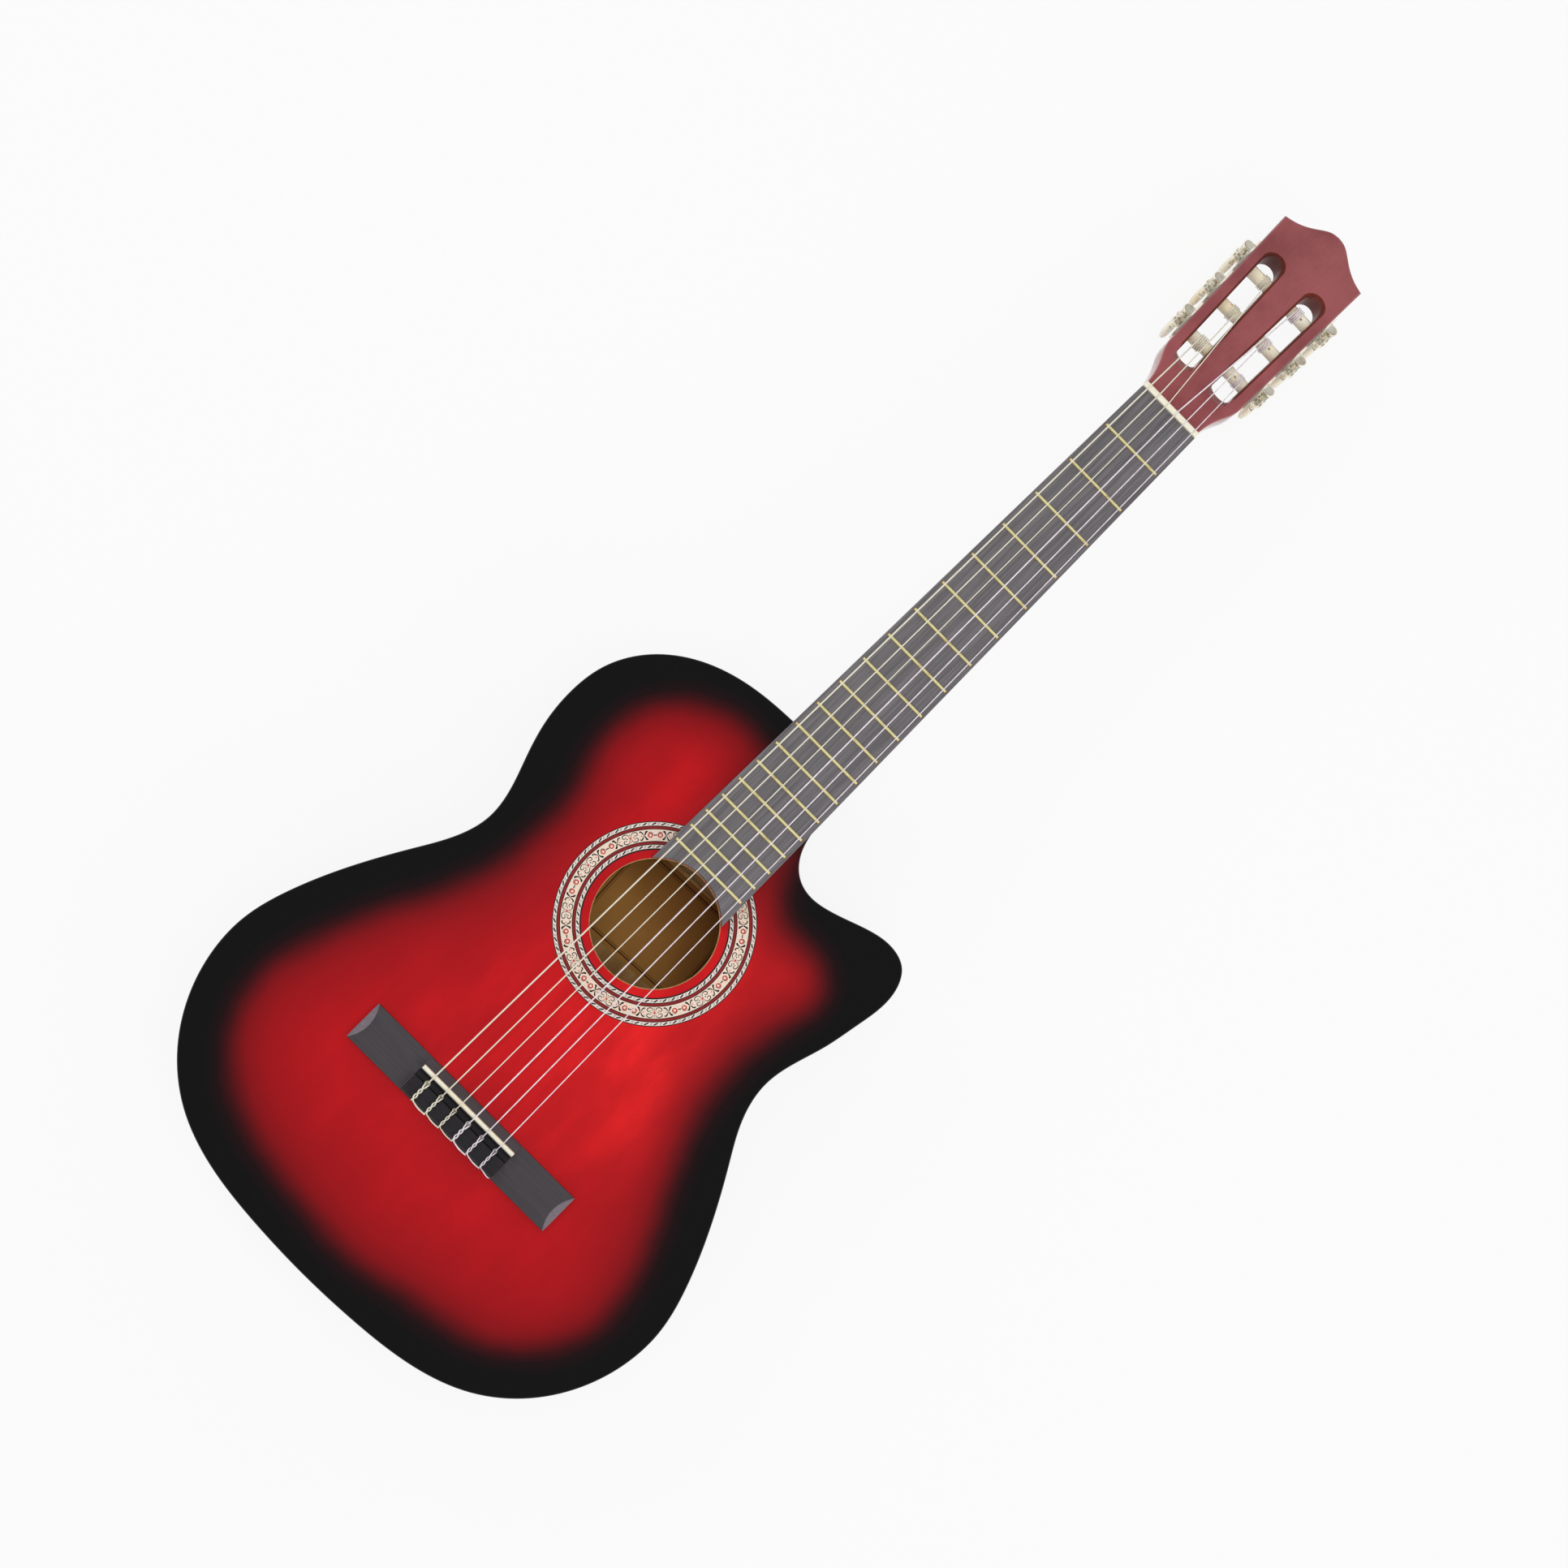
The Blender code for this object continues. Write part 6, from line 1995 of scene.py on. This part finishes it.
@dataclass
class Bridge:
    """Bridge with its wings, tie block and tie holes, and the saddle in its slot."""

    bench: Bench
    half: float = 0.088
    front: float = 0.0088
    rear: float = -0.0198
    centre_half: float = 0.0405
    wing_height: float = 0.0045
    tip_height: float = 0.0026
    edge_bend: float = 0.0006
    facet_corner: float = 0.0006
    facet_bulge: float = 0.0046
    line_width: float = 0.00035
    station_gap: float = 0.0012
    # From here back the centre takes the dark tie finish: polish on the tie block, painted shade in the
    # groove before it.
    polished_from: float = -0.0009
    saddle_half: float = 0.0400
    saddle_thick: float = 0.0030
    slot_floor: float = 0.0053
    slot_gap: float = 0.00008

    def centre_profile(self, drop: float) -> list[Point]:
        """The centre block's section, front to rear, as place and height.

        Args:
            drop: How much lower it runs, for the bevels at its ends.

        Returns:
            The section's points.
        """
        corners = [
            (self.front, 0.0026, 0), (self.front - 0.0006, 0.0037, 0.0006),
            (0.0046, 0.0081, 0.0008), (0.0036, 0.0085, 0.0005), (-0.0009, 0.0079, 0.0005),
            (-0.0020, 0.0042, 0.0005), (-0.0057, 0.0042, 0.0003), (-0.0062, 0.0098, 0.0004),
            (-0.0178, 0.0098, 0.0004), (-0.0181, 0.0042, 0.0002),
            (self.rear + 0.0005, 0.0036, 0.0003), (self.rear, 0.0030, 0),
        ]
        made = profile_of(corners)
        result = []
        for (y0, z0), (y1, z1) in zip(made, made[1:]):
            count = max(round(abs(y1 - y0) / self.station_gap), 1)
            result += [(y0 + (y1 - y0) * i / count, z0 + (z1 - z0) * i / count - drop) for i in range(count)]
        return [*result, (made[-1][0], made[-1][1] - drop)]

    def across(self, y: float) -> float:
        """A place from the front edge to the rear one, as a share from 1 to -1."""
        return (y - (self.front + self.rear) / 2) / ((self.front - self.rear) / 2)

    def wing_surface(self, y: float, crown: float) -> float:
        """Height of a wing at a place across it, lower and rounded towards both edges.

        Args:
            y: The place.
            crown: The wing's height in its middle.

        Returns:
            The height.
        """
        height = crown * (1 - 0.22 * abs(self.across(y)) ** 3)
        edge = min(self.front - y, y - self.rear) / self.edge_bend
        if edge < 1:
            height -= self.edge_bend * (1 - sqrt(max(1 - (1 - edge) ** 2, 0)))
        return height

    def facet_x(self, y: float) -> float:
        """Where the crescent-shaped facet at a wing's end starts."""
        return self.half - self.facet_corner - self.facet_bulge * (1 - self.across(y) ** 2)

    def body(self) -> Form:
        """The wood, as sections across it from end to end.

        Returns:
            The form, with finish 2 on the narrow step beside the centre block, lighter as a painted
            highlight, and 1 on the facets.
        """
        top = LAYOUT.top_z
        # A narrow band beside the centre block takes the lighter wood: a painted highlight along its edge.
        edge, beyond = self.centre_half - self.line_width / 2, self.centre_half + self.line_width / 2
        sections, bands = [], [0, 0]
        for x, drop in ((0.0, 0.0), (edge, 0.0), (self.centre_half, 0.0003)):
            sections.append([(x, y, top + z) for y, z in self.centre_profile(drop)])
        wing_steps, facet_steps = 7, 4
        for step in range(wing_steps + facet_steps + 1):
            points = []
            for y, _ in self.centre_profile(0.0):
                end = self.facet_x(y)
                crown = self.wing_surface(y, self.wing_height)
                if step <= wing_steps:
                    x, z = beyond + (end - beyond) * step / wing_steps, crown
                else:
                    share = (step - wing_steps) / facet_steps
                    x = end + (self.half - end) * share
                    z = crown + (self.wing_surface(y, self.tip_height) - crown) * share**0.75
                points.append((x, y, top + z))
            sections.append(points)
            bands.append(2 if step == 0 else 0 if step <= wing_steps else 1)
        right = [[(ring[0][0], self.front, top), *ring, (ring[-1][0], self.rear, top)] for ring in sections]
        left = [[(-x, y, z) for x, y, z in ring] for ring in right[:0:-1]]
        return Form.over(left + right, bands[::-1] + bands)

    def wood(self) -> None:
        """Builds the bridge with its saddle slot and tie holes."""
        form = self.body()
        polished_and_groove_shade = 3
        for index, face in enumerate(form.faces):
            x, y, _ = np.mean([form.points[i] for i in face], axis=0)
            centre = abs(x) < self.centre_half - self.line_width / 2
            if centre and y < self.polished_from and len(face) == 4:
                form.finishes[index] = polished_and_groove_shade
        reach, wide = self.saddle_half + LAYOUT.gap / 2, self.saddle_thick / 2 + self.slot_gap
        y, top = STRINGS.saddle_y, LAYOUT.top_z
        tools = block((-reach, y - wide, top + self.slot_floor), (reach, y + wide, top + 0.02))
        for number, diameter in enumerate(STRINGS.diameters):
            x, z = STRINGS.saddle_x(number), top + STRINGS.hole_height
            tools.joined(rod(diameter / 2 + LAYOUT.running_gap, (x, -0.0052, z), (x, -0.0188, z), 20))
        mesh = combined(form.mesh("bridge"), tools)
        made = self.bench.finishes
        # Finish 3, the dark tie finish, covers the polished tie block and paints shade into the groove behind
        # the saddle.
        materials = [made.bridge, made.scoop, made.scoop, made.tie]
        self.bench.show(mesh, "bridge_wood", materials, Slot.DARK_WOOD, ["bridge"])

    def saddle(self) -> None:
        """Bone saddle with a rounded crown and rounded ends."""
        y, half = STRINGS.saddle_y, self.saddle_thick / 2
        bottom, top = LAYOUT.top_z + self.slot_floor, LAYOUT.top_z + STRINGS.saddle_height
        corners = [
            (y - half, bottom + 0.001, 0), (y - half, bottom, 0), (y + half, bottom, 0),
            (y + half, top - 0.0006, 0.0012), (y + 0.0002, top + 0.0001, 0.0009),
            (y - half, top - 0.0016, 0.0012), (y - half, bottom + 0.0012, 0),
        ]
        profile = profile_of(corners)
        rings = []
        for share in (0.03, 0.12, 0.28, 0.5, 0.75, 1.0):
            wide = sqrt(1 - (1 - share) ** 2)
            x = self.saddle_half - half * (1 - share)
            rings.append([(x, y + (a - y) * wide, b - 0.0005 * (1 - wide)) for a, b in profile])
        mesh = Form.over([[(-x, a, b) for x, a, b in ring] for ring in rings] + rings[::-1]).mesh("saddle")
        self.bench.show(mesh, "saddle_bone", [self.bench.finishes.bone], Slot.BONE, ["saddle"])

    def build(self) -> None:
        """Builds the bridge and the saddle."""
        self.wood()
        self.saddle()


@dataclass
class Machines:
    """The two plates of tuning machines: rollers, gears, worms and buttons."""

    bench: Bench
    roller_shoulder: float = -0.0004
    roller_bore: float = 0.0009
    journal: float = 0.0021
    plate_thick: float = 0.0012
    plate_half: float = 0.0042
    lobe_half: float = 0.0080
    plate_end: float = 0.018
    screw_radius: float = 0.0020
    screw_inset: float = 0.0045
    teeth: int = 14
    gear_tip: float = 0.0072
    gear_root: float = 0.0056
    gear_pitch: float = 0.0066
    gear_width: float = 0.0030
    gear_out: float = 0.0050
    gear_bevel: float = 0.00022
    axes_apart: float = 0.0090
    worm_crest: float = 0.0030
    worm_root: float = 0.0016
    worm_half: float = 0.0045
    shaft: float = 0.0013
    tab_from: float = 0.0055
    tab_front: float = 0.0023
    tab_rear: float = 0.0011
    tab_half: float = 0.0036
    button_from: float = 0.0103
    button_length: float = 0.0230
    button_grip: float = 0.0045
    button_half_width: float = 0.0078
    button_half_thick: float = 0.0030

    @property
    def lead(self) -> float:
        """How far the worm's thread climbs in one turn."""
        return TURN * self.gear_pitch / self.teeth

    @property
    def pitch(self) -> float:
        """Distance between two machines along the head's side."""
        return LAYOUT.roller_spacing / cos(LAYOUT.head_taper)

    def gear(self) -> Form:
        """Gear with slanted teeth and a hub, and a domed screw head outside.

        Returns:
            The form, along X in its machine's frame.
        """
        step = TURN / self.teeth
        twist = self.lead / (TURN * (self.axes_apart - self.gear_pitch)) / self.gear_pitch
        shoulder = self.gear_root + 0.73 * (self.gear_tip - self.gear_root)
        rising = [(-0.25, self.gear_root), (-0.14, shoulder), (-0.08, self.gear_tip)]
        flank = rising + [(-share, radius) for share, radius in reversed(rising)]
        bevel, half = self.gear_bevel, self.gear_width / 2
        rings = []
        for x, shrink in ((-half, bevel), (-half + bevel, 0), (0, 0), (half - bevel, 0), (half, bevel)):
            ring = []
            for tooth in range(self.teeth):
                for share, radius in flank:
                    angle = (tooth + 0.5 + share) * step + twist * x
                    r = radius - shrink
                    ring.append((self.gear_out + x, r * cos(angle), r * sin(angle)))
            rings.append(ring)
        outer = self.gear_out + half
        hub, head = self.gear_root * 0.62, self.gear_root * 0.52
        start = self.plate_thick + 2 * LAYOUT.gap
        corners = [
            (0, start, 0), (hub, start, 0.0003), (hub, outer + 0.0003, 0.0002),
            (head, outer + 0.0004, 0.0001), (head, outer + 0.0015, 0.0005),
            (head * 0.6, outer + 0.0023, 0.0006), (0, outer + 0.0024, 0),
        ]
        return Form.over(rings).joined(turned(profile_of(corners), 40).moved(TURNED_TO_X))

    def worm(self) -> Form:
        """Worm on its shaft, its thread one helix that runs out at both ends.

        Returns:
            The form, along Z from the middle of the thread.
        """
        columns, rows = 40, 80
        thick = self.worm_root * 1.35
        collar_end = self.tab_from - LAYOUT.gap - 0.0001
        collar = [(self.worm_half + 0.0002, thick), (collar_end, thick), (collar_end + 0.00002, self.shaft)]
        below = [*collar, (self.button_from + self.button_grip, self.shaft)]
        above = [*collar, (self.tab_from - 0.0001, self.shaft)]
        rings = [raised(circle(0, 0, radius, columns), -z) for z, radius in reversed(below)]
        for row in range(rows):
            z = self.worm_half * (2 * row / (rows - 1) - 1)
            fade = min(max((self.worm_half - abs(z)) / 0.0008, 0.0), 1.0)
            ring = []
            for i in range(columns):
                angle = TURN * i / columns
                phase = z / self.lead - angle / TURN - 0.25
                away = abs(phase - round(phase))
                rise = min(max((0.25 - away) / 0.17, 0.0), 1.0) * fade
                rise = rise * rise * (3 - 2 * rise)
                radius = self.worm_root + (self.worm_crest - self.worm_root) * rise
                ring.append((radius * cos(angle), radius * sin(angle), z))
            rings.append(ring)
        return Form.over(rings + [raised(circle(0, 0, radius, columns), z) for z, radius in above])

    def button(self) -> Form:
        """Flattened, flared button behind the head.

        Returns:
            The form, along the worm's axis.
        """
        # Places along it, its width and thickness as shares, and how square its section is.
        sections = [
            (0.00, 0.36, 0.78, 2.0), (0.10, 0.40, 0.84, 2.0), (0.22, 0.50, 0.80, 2.2),
            (0.48, 0.82, 0.94, 2.4), (0.78, 1.00, 1.00, 2.6), (0.93, 0.93, 0.90, 2.4),
            (1.00, 0.66, 0.52, 2.2),
        ]
        columns, dome, length = 56, 0.0005, self.button_length
        start, squeeze = LAYOUT.gap - self.button_from, length / (length + dome)
        rings = []
        for along, wide, thick, power in smooth_through(sections, 5):
            ring = []
            for i in range(columns):
                angle = TURN * (i + 0.5) / columns
                cosine, sine = cos(angle), sin(angle)
                size = (abs(cosine) ** power + abs(sine) ** power) ** (-1 / power)
                x = self.button_half_thick * min(thick, 1.0) * size * cosine
                y = self.button_half_width * min(wide, 1.0) * size * sine
                ring.append((x, y, start - squeeze * along * length))
            rings.append(ring)
        rim = rings[-1]
        for share, depth in ((0.7, 0.6 * dome), (0.35, dome)):
            rings.append([(x * share, y * share, start - squeeze * (length + depth)) for x, y, _ in rim])
        return Form.over(rings)

    def roller(self, number: int) -> Mesh:
        """Roller with its thinner journal, bored across for one string's end.

        Args:
            number: The string.

        Returns:
            The mesh, along X in its machine's frame.
        """
        r, reach, shoulder = LAYOUT.roller_radius, LAYOUT.roller_reach, self.roller_shoulder
        end = self.gear_out - LAYOUT.gap
        corners = [(0, -reach, 0), (r, -reach, 0.0007), (r, shoulder, 0.0003)]
        corners += [(self.journal, shoulder, 0), (self.journal, end, 0), (0, end, 0)]
        form = turned(profile_of(corners), 56).moved(TURNED_TO_X)
        for index, face in enumerate(form.faces):
            if min(form.points[i][0] for i in face) >= shoulder:
                form.finishes[index] = 1
        x = STRINGS.hole_x(number)
        bore = rod(self.roller_bore, (x, 0.0025, -0.006), (x, -0.0025, 0.006), 20)
        return combined(form.mesh("roller"), bore)

    def plate(self, side: Side) -> Mesh:
        """Side plate with a lobe and two tabs at each machine, and its slotted screws.

        Args:
            side: The side of the head.

        Returns:
            The mesh, in the middle machine's frame.
        """
        tip, pitch = side.value, self.pitch
        middle, end = tip * self.axes_apart / 2, pitch + self.plate_end
        steps, end_bend = 150, 0.006
        upper = []
        for i in range(steps + 1):
            along = end * sin(pi / 2 * (2 * i / steps - 1))
            wave = 0.5 + 0.5 * cos(TURN * along / pitch)
            edge = min((end - abs(along)) / end_bend, 1.0)
            rounding = sqrt(max(1 - (1 - edge) ** 2, 0.0))
            height = self.plate_half + (self.lobe_half - self.plate_half) * wave**0.7
            upper.append((middle + along, height * rounding))
        loop = [(y, -z) for y, z in upper] + [(y, z) for y, z in reversed(upper[1:-1])]
        bore = self.journal + LAYOUT.running_gap
        holes = [circle(tip * shift * pitch, 0, bore, 32, clockwise=True) for shift in (-1, 0, 1)]
        face = LAYOUT.gap + self.plate_thick
        slab = Slab([loop, *holes], 0.00002, face, top_round=0.00025, steps=3, hold=0.00005)
        form = slab.form().moved(THICKNESS_TO_X)
        for shift in (-1, 0, 1):
            form.joined(self.tabs(tip * (shift * pitch + self.axes_apart)))
        work = bmesh.new()
        work.from_mesh(form.mesh("plate"))
        work.from_mesh(self.screws(middle))
        mesh = bpy.data.meshes.new("plate")
        work.to_mesh(mesh)
        work.free()
        return mesh

    def tabs(self, worm_y: float) -> Form:
        """The two bent tabs that hold one worm.

        Args:
            worm_y: Place of the worm's axis.

        Returns:
            The tabs: a thick one in front and a thin one behind, bored for the shaft.
        """
        near, half = LAYOUT.gap + self.plate_thick * 0.4, self.tab_half
        end = arc(self.gear_out, worm_y, half, -pi / 2, pi / 2, 24)
        tab = [(near, worm_y - half), *end, (near, worm_y + half)]
        start = self.tab_from
        front = Slab([tab], start, start + self.tab_front, top_round=0.0008, bottom_round=0.0002, steps=5)
        bore = circle(self.gear_out, worm_y, self.shaft + LAYOUT.gap, 28, clockwise=True)
        rear = Slab([tab, bore], -start - self.tab_rear, -start, 0.0002, 0.0002, hold=0.0001)
        return front.form().joined(rear.form())

    def screws(self, middle: float) -> Mesh:
        """The four cross-slotted screws of a plate.

        Args:
            middle: Place of the plate's middle.

        Returns:
            The mesh of the screws.
        """
        heads, grooves = Form(), Form()
        r, base, pitch = self.screw_radius, LAYOUT.gap + self.plate_thick, self.pitch
        corners = [
            (0, base - 0.0005, 0), (r, base - 0.0005, 0), (r, base + 0.0005, 0.0003),
            (0.55 * r, base + 0.0012, 0.0004), (0, base + 0.0013, 0),
        ]
        head = turned(profile_of(corners), 36).moved(TURNED_TO_X)
        reach = pitch + self.plate_end - self.screw_inset
        length, width = 0.0013, 0.00022
        for turn, shift in enumerate((-reach, -pitch / 2, pitch / 2, reach)):
            place = Matrix.Translation((0, middle + shift, 0)) @ Matrix.Rotation(0.4 + 0.9 * turn, 4, "X")
            heads.joined(head.moved(place))
            for y, z in ((length, width), (width, length)):
                groove = block((base + 0.0006, -y, -z), (base + 0.003, y, z))
                grooves.joined(groove.moved(place))
        return combined(heads.mesh("screws"), grooves)

    def build(self) -> None:
        """Builds both plates and the six machines."""
        made = self.bench.finishes
        for side in Side:
            mesh = self.plate(side)
            mesh.transform(LAYOUT.machine_frame(1, side))
            name = side.word + "_plate"
            self.bench.show(mesh, name, [made.nickel], Slot.NICKEL, [side.word + "_machine_plate"])
            for number in range(3):
                self.machine(side, number)

    def machine(self, side: Side, number: int) -> None:
        """Builds one machine in its place.

        Args:
            side: The side of the head.
            number: The machine, 0 to 2 from the nut.
        """
        made, show = self.bench.finishes, self.bench.show
        name = f"{side.word}_{number + 1}"
        frame = LAYOUT.machine_frame(number, side)
        spot = Matrix.Translation((self.gear_out, side.value * self.axes_apart, 0))
        turn = Matrix.Rotation(0.0 if side is Side.TREBLE else pi, 4, "Z")
        worm_frame = frame @ spot @ turn
        roller = self.roller(number if side is Side.TREBLE else 5 - number)
        roller.transform(frame)
        body, worm_body = "roller_" + name, "worm_" + name
        show(roller, "barrel_" + name, [made.plastic, made.nickel], Slot.PLASTIC, ["roller_" + name], body)
        gear = self.gear().moved(frame).mesh("gear", outward=False)
        show(gear, "cog_" + name, [made.nickel], Slot.NICKEL, ["gear_" + name], body, sharp=30)
        worm = self.worm().moved(worm_frame).mesh("worm")
        show(worm, "screw_" + name, [made.nickel], Slot.NICKEL, ["worm_" + name], worm_body)
        button = self.button().moved(worm_frame).mesh("button")
        show(button, "knob_" + name, [made.plastic], Slot.PLASTIC, ["button_" + name], worm_body)


@dataclass
class Strings:
    """Three clear and three wound strings, tied at the bridge and wound on the rollers."""

    bench: Bench
    front: float = -0.0062
    rear: float = -0.0178
    block_height: float = 0.0098
    strand_gap: float = 0.00058
    twist_turns: float = 1.25
    twist_steps: int = 30
    wind_steps: int = 32
    corner_bend: float = 0.0006
    seat: float = 0.0001
    sides: int = 14

    def tie(self, number: int) -> list[Spot]:
        """A string's tie, from its loose tail to where it leaves the tie hole.

        Args:
            number: The string.

        Returns:
            The points along the string.
        """
        radius = STRINGS.diameters[number] / 2
        x = STRINGS.saddle_x(number)
        top, front, rear = LAYOUT.top_z + self.block_height, self.front, self.rear
        hole_z = LAYOUT.top_z + STRINGS.hole_height
        lie = radius + LAYOUT.gap
        twist = radius + self.strand_gap / 2
        middle = top + lie + twist
        first, second = [], []
        for i in range(self.twist_steps + 1):
            share = i / self.twist_steps
            angle = TURN * self.twist_turns * share
            y = rear + 0.0006 + (front - rear - 0.0013) * share
            across, up = twist * sin(angle), twist * cos(angle)
            first.append((x + across, y, middle - up))
            second.append((x - across, y, middle + up))
        behind = rear - 0.0003 - lie
        past = behind - 0.0008
        tail = [
            (x + (0.0092 if number == 0 else 0.0127), past + 0.0002, top - 0.0014),
            (x + 0.0088, past, top - 0.0009), (x + 0.0055, past + 0.0002, top - 0.0006),
            (x + 2 * radius + 0.0016, behind, top - 0.0003),
            (x + radius + 0.0006, rear - 0.0004, middle + 0.6 * twist),
        ]
        side = 2 * radius + self.strand_gap
        drop = (Vector(self.saddle_rear(number)) - Vector((x, front, hole_z))).normalized()
        crossing = Vector((x, front + 0.0010, hole_z)) + drop * 0.0011
        loop = [
            second[-1],
            (x - 0.62 * side, front + 0.0005, top + 0.0003 + radius),
            crossing + Vector((-0.78 * side, 0.0001, 0.0004)),
            crossing + 0.85 * side * Vector((0, drop.z, -drop.y)),
            crossing + Vector((0.78 * side, 0.0001, 0.0004)),
            (x + 0.62 * side, front + 0.0005, top + 0.0003 + radius),
            first[-1],
        ]
        round_rear = [
            (x, rear, top + lie), (x, rear - 0.75 * lie, top + 0.75 * lie),
            (x, rear - 0.0001 - lie, top - 0.0002), (x, behind, hole_z + 0.0010),
            (x, rear - 0.0006, hole_z + 0.0001), (x, rear + 0.0002, hole_z),
        ]
        start = smooth_through([*tail, second[0]], 4)[:-1]
        turn = smooth_through([tuple(point) for point in loop], 6)
        return start + second[:-1] + turn + first[-2::-1] + smooth_through(round_rear, 3)

    def saddle_rear(self, number: int) -> Spot:
        """Where a string leaves the rear of the saddle's crown."""
        lift = STRINGS.saddle_height + STRINGS.saddle_lift + STRINGS.diameters[number] / 2
        return (STRINGS.saddle_x(number), STRINGS.saddle_y - 0.0018, LAYOUT.top_z + lift - 0.0011)

    def winding(self, number: int, nut_point: Spot) -> list[Spot]:
        """A string's turns round its roller, from where it meets the roller.

        Args:
            number: The string.
            nut_point: Where it leaves the nut.

        Returns:
            The points along the string.
        """
        roller, inboard, way = STRINGS.rollers[number]
        side = Side.TREBLE if number < 3 else Side.BASS
        frame = LAYOUT.machine_frame(roller, side)
        start = frame.inverted() @ Vector(nut_point)
        radius = LAYOUT.roller_radius + LAYOUT.gap + STRINGS.diameters[number] / 2
        ahead, above = side.value * start.y, start.z
        meet = atan2(ahead, above) + acos(radius / hypot(ahead, above))
        points = []
        for i in range(round(STRINGS.wind_turns * self.wind_steps) + 1):
            turns = i / self.wind_steps
            angle = meet + TURN * turns
            x = way * STRINGS.pitch(number) * turns - inboard
            spot = (x, side.value * radius * sin(angle), radius * cos(angle))
            points.append(tuple(frame @ Vector(spot)))
        return points

    def build(self) -> None:
        """Builds the six strings."""
        made = self.bench.finishes
        for number, diameter in enumerate(STRINGS.diameters):
            radius = diameter / 2
            x, nut_x, nut_z = STRINGS.saddle_x(number), STRINGS.nut_x(number), STRINGS.nut_z(number)
            saddle_z = LAYOUT.top_z + STRINGS.saddle_height + STRINGS.saddle_lift + radius - self.seat
            behind_nut = (nut_x, LAYOUT.scale_length + LAYOUT.nut_thick, nut_z)
            turns = self.winding(number, behind_nut)
            span = [
                (x, self.front + 0.0003, LAYOUT.top_z + STRINGS.hole_height),
                self.saddle_rear(number),
                (x, STRINGS.saddle_y - 0.0009, saddle_z - 0.0003), (x, STRINGS.saddle_y, saddle_z),
                (nut_x, LAYOUT.scale_length, nut_z),
                behind_nut,
                turns[0],
            ]
            bent = rounded(span, [self.corner_bend] * len(span), 5)
            form, lengths = tube(self.tie(number) + bent + turns[1:], radius, self.sides)
            mesh = form.mesh("string", weld=0)
            give_numbers(mesh, "along", lengths)
            material, slot = (made.nylon, Slot.NYLON) if number < 3 else (made.winding, Slot.WOUND)
            name = f"string_{number + 1}"
            self.bench.show(mesh, name + "_line", [material], slot, [name], sharp=60)


class Sky(Recipe):
    """The studio's surroundings: bright walls and a dark ceiling over the guitar."""

    def __init__(self, world: World, walls: Tone, ceiling: Tone) -> None:
        """Fills the world's nodes.

        Args:
            world: The world.
            walls: Light from the sides.
            ceiling: Light from straight above.
        """
        world.use_nodes = True
        self.tree = world.node_tree
        self.shader = self.tree.nodes["Background"]
        way = self.wire(self.node("ShaderNodeTexCoord"), "Generated")
        height = self.wire(self.node("ShaderNodeSeparateXYZ", None, {0: way}), "Z")
        self.feed(self.shader.inputs["Color"], self.mix(height.rise(0.35, 0.85), walls, ceiling))


@dataclass
class Studio:
    """White floor, soft lamps and the camera over the guitar."""

    eye: Spot = (-0.050533, 0.122998, 1.582658)
    target: Spot = (-0.005124, 0.292006, 0.094)
    image_up: Spot = (-0.71047764, 0.70132968, 0.05794996)
    lens: float = 52.807
    sensor: float = 36.0
    floor_half: float = 9.0
    floor_z: float = -0.0006
    # For each lamp: its place, its size and its power.
    lamps: tuple[tuple[Spot, float, float], ...] = (
        ((1.7, 0.1, 1.9), 1.1, 9.0),
        ((-1.6, 0.7, 1.9), 1.1, 9.0),
        ((0.1, 0.2, 2.6), 1.4, 21.0),
    )

    def camera(self) -> None:
        """Puts the camera at the photograph's viewpoint."""
        data = bpy.data.cameras.new("camera")
        data.lens, data.sensor_width = self.lens, self.sensor
        data.clip_start, data.clip_end = 0.01, 100
        back = (Vector(self.eye) - Vector(self.target)).normalized()
        right = Vector(self.image_up).cross(back).normalized()
        camera = bpy.data.objects.new("camera", data)
        axes = Matrix((right, back.cross(right), back)).transposed().to_4x4()
        camera.matrix_world = Matrix.Translation(self.eye) @ axes
        bpy.context.scene.collection.objects.link(camera)
        bpy.context.scene.camera = camera

    def floor(self) -> None:
        """Lays the floor."""
        half = self.floor_half
        form = Form()
        form.flat([[(-half, -half), (half, -half), (half, half), (-half, half)]], self.floor_z, spacing=3.0)
        mesh = form.mesh("floor", outward=False)
        mesh.materials.append(Floor("white floor", tone(228, 228, 228), tone(236, 236, 236)).make())
        floor = bpy.data.objects.new("floor", mesh)
        bpy.context.scene.collection.objects.link(floor)

    def lights(self) -> None:
        """Hangs the lamps and lights the surroundings."""
        for number, (spot, size, power) in enumerate(self.lamps):
            data = bpy.data.lights.new(f"softbox_{number + 1}", "AREA")
            data.energy, data.size = power, size
            lamp = bpy.data.objects.new(data.name, data)
            lamp.visible_glossy = False
            away = Vector(spot) - Vector(self.target)
            lamp.matrix_world = Matrix.Translation(spot) @ away.to_track_quat("Z", "Y").to_matrix().to_4x4()
            bpy.context.scene.collection.objects.link(lamp)
        world = bpy.data.worlds.new("studio")
        Sky(world, tone(250, 250, 250), tone(106, 106, 108))
        bpy.context.scene.world = world

    def build(self) -> None:
        """Sets up the whole studio."""
        bpy.context.scene.view_settings.view_transform = "Standard"
        self.camera()
        self.floor()
        self.lights()


def main() -> None:
    """Builds the guitar and the studio."""
    logging.basicConfig(level=logging.INFO, format="%(message)s")
    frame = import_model()
    bench = Bench(Finishes(), frame["nodes"])
    Studio().build()
    for part in (SoundBox, Rosette, Neck, Bridge, Machines, Strings):
        part(bench).build()
        LOG.info("%s finished", part.__name__)
    LOG.info("%d pieces", bench.count)


if __name__ == "__main__":
    main()
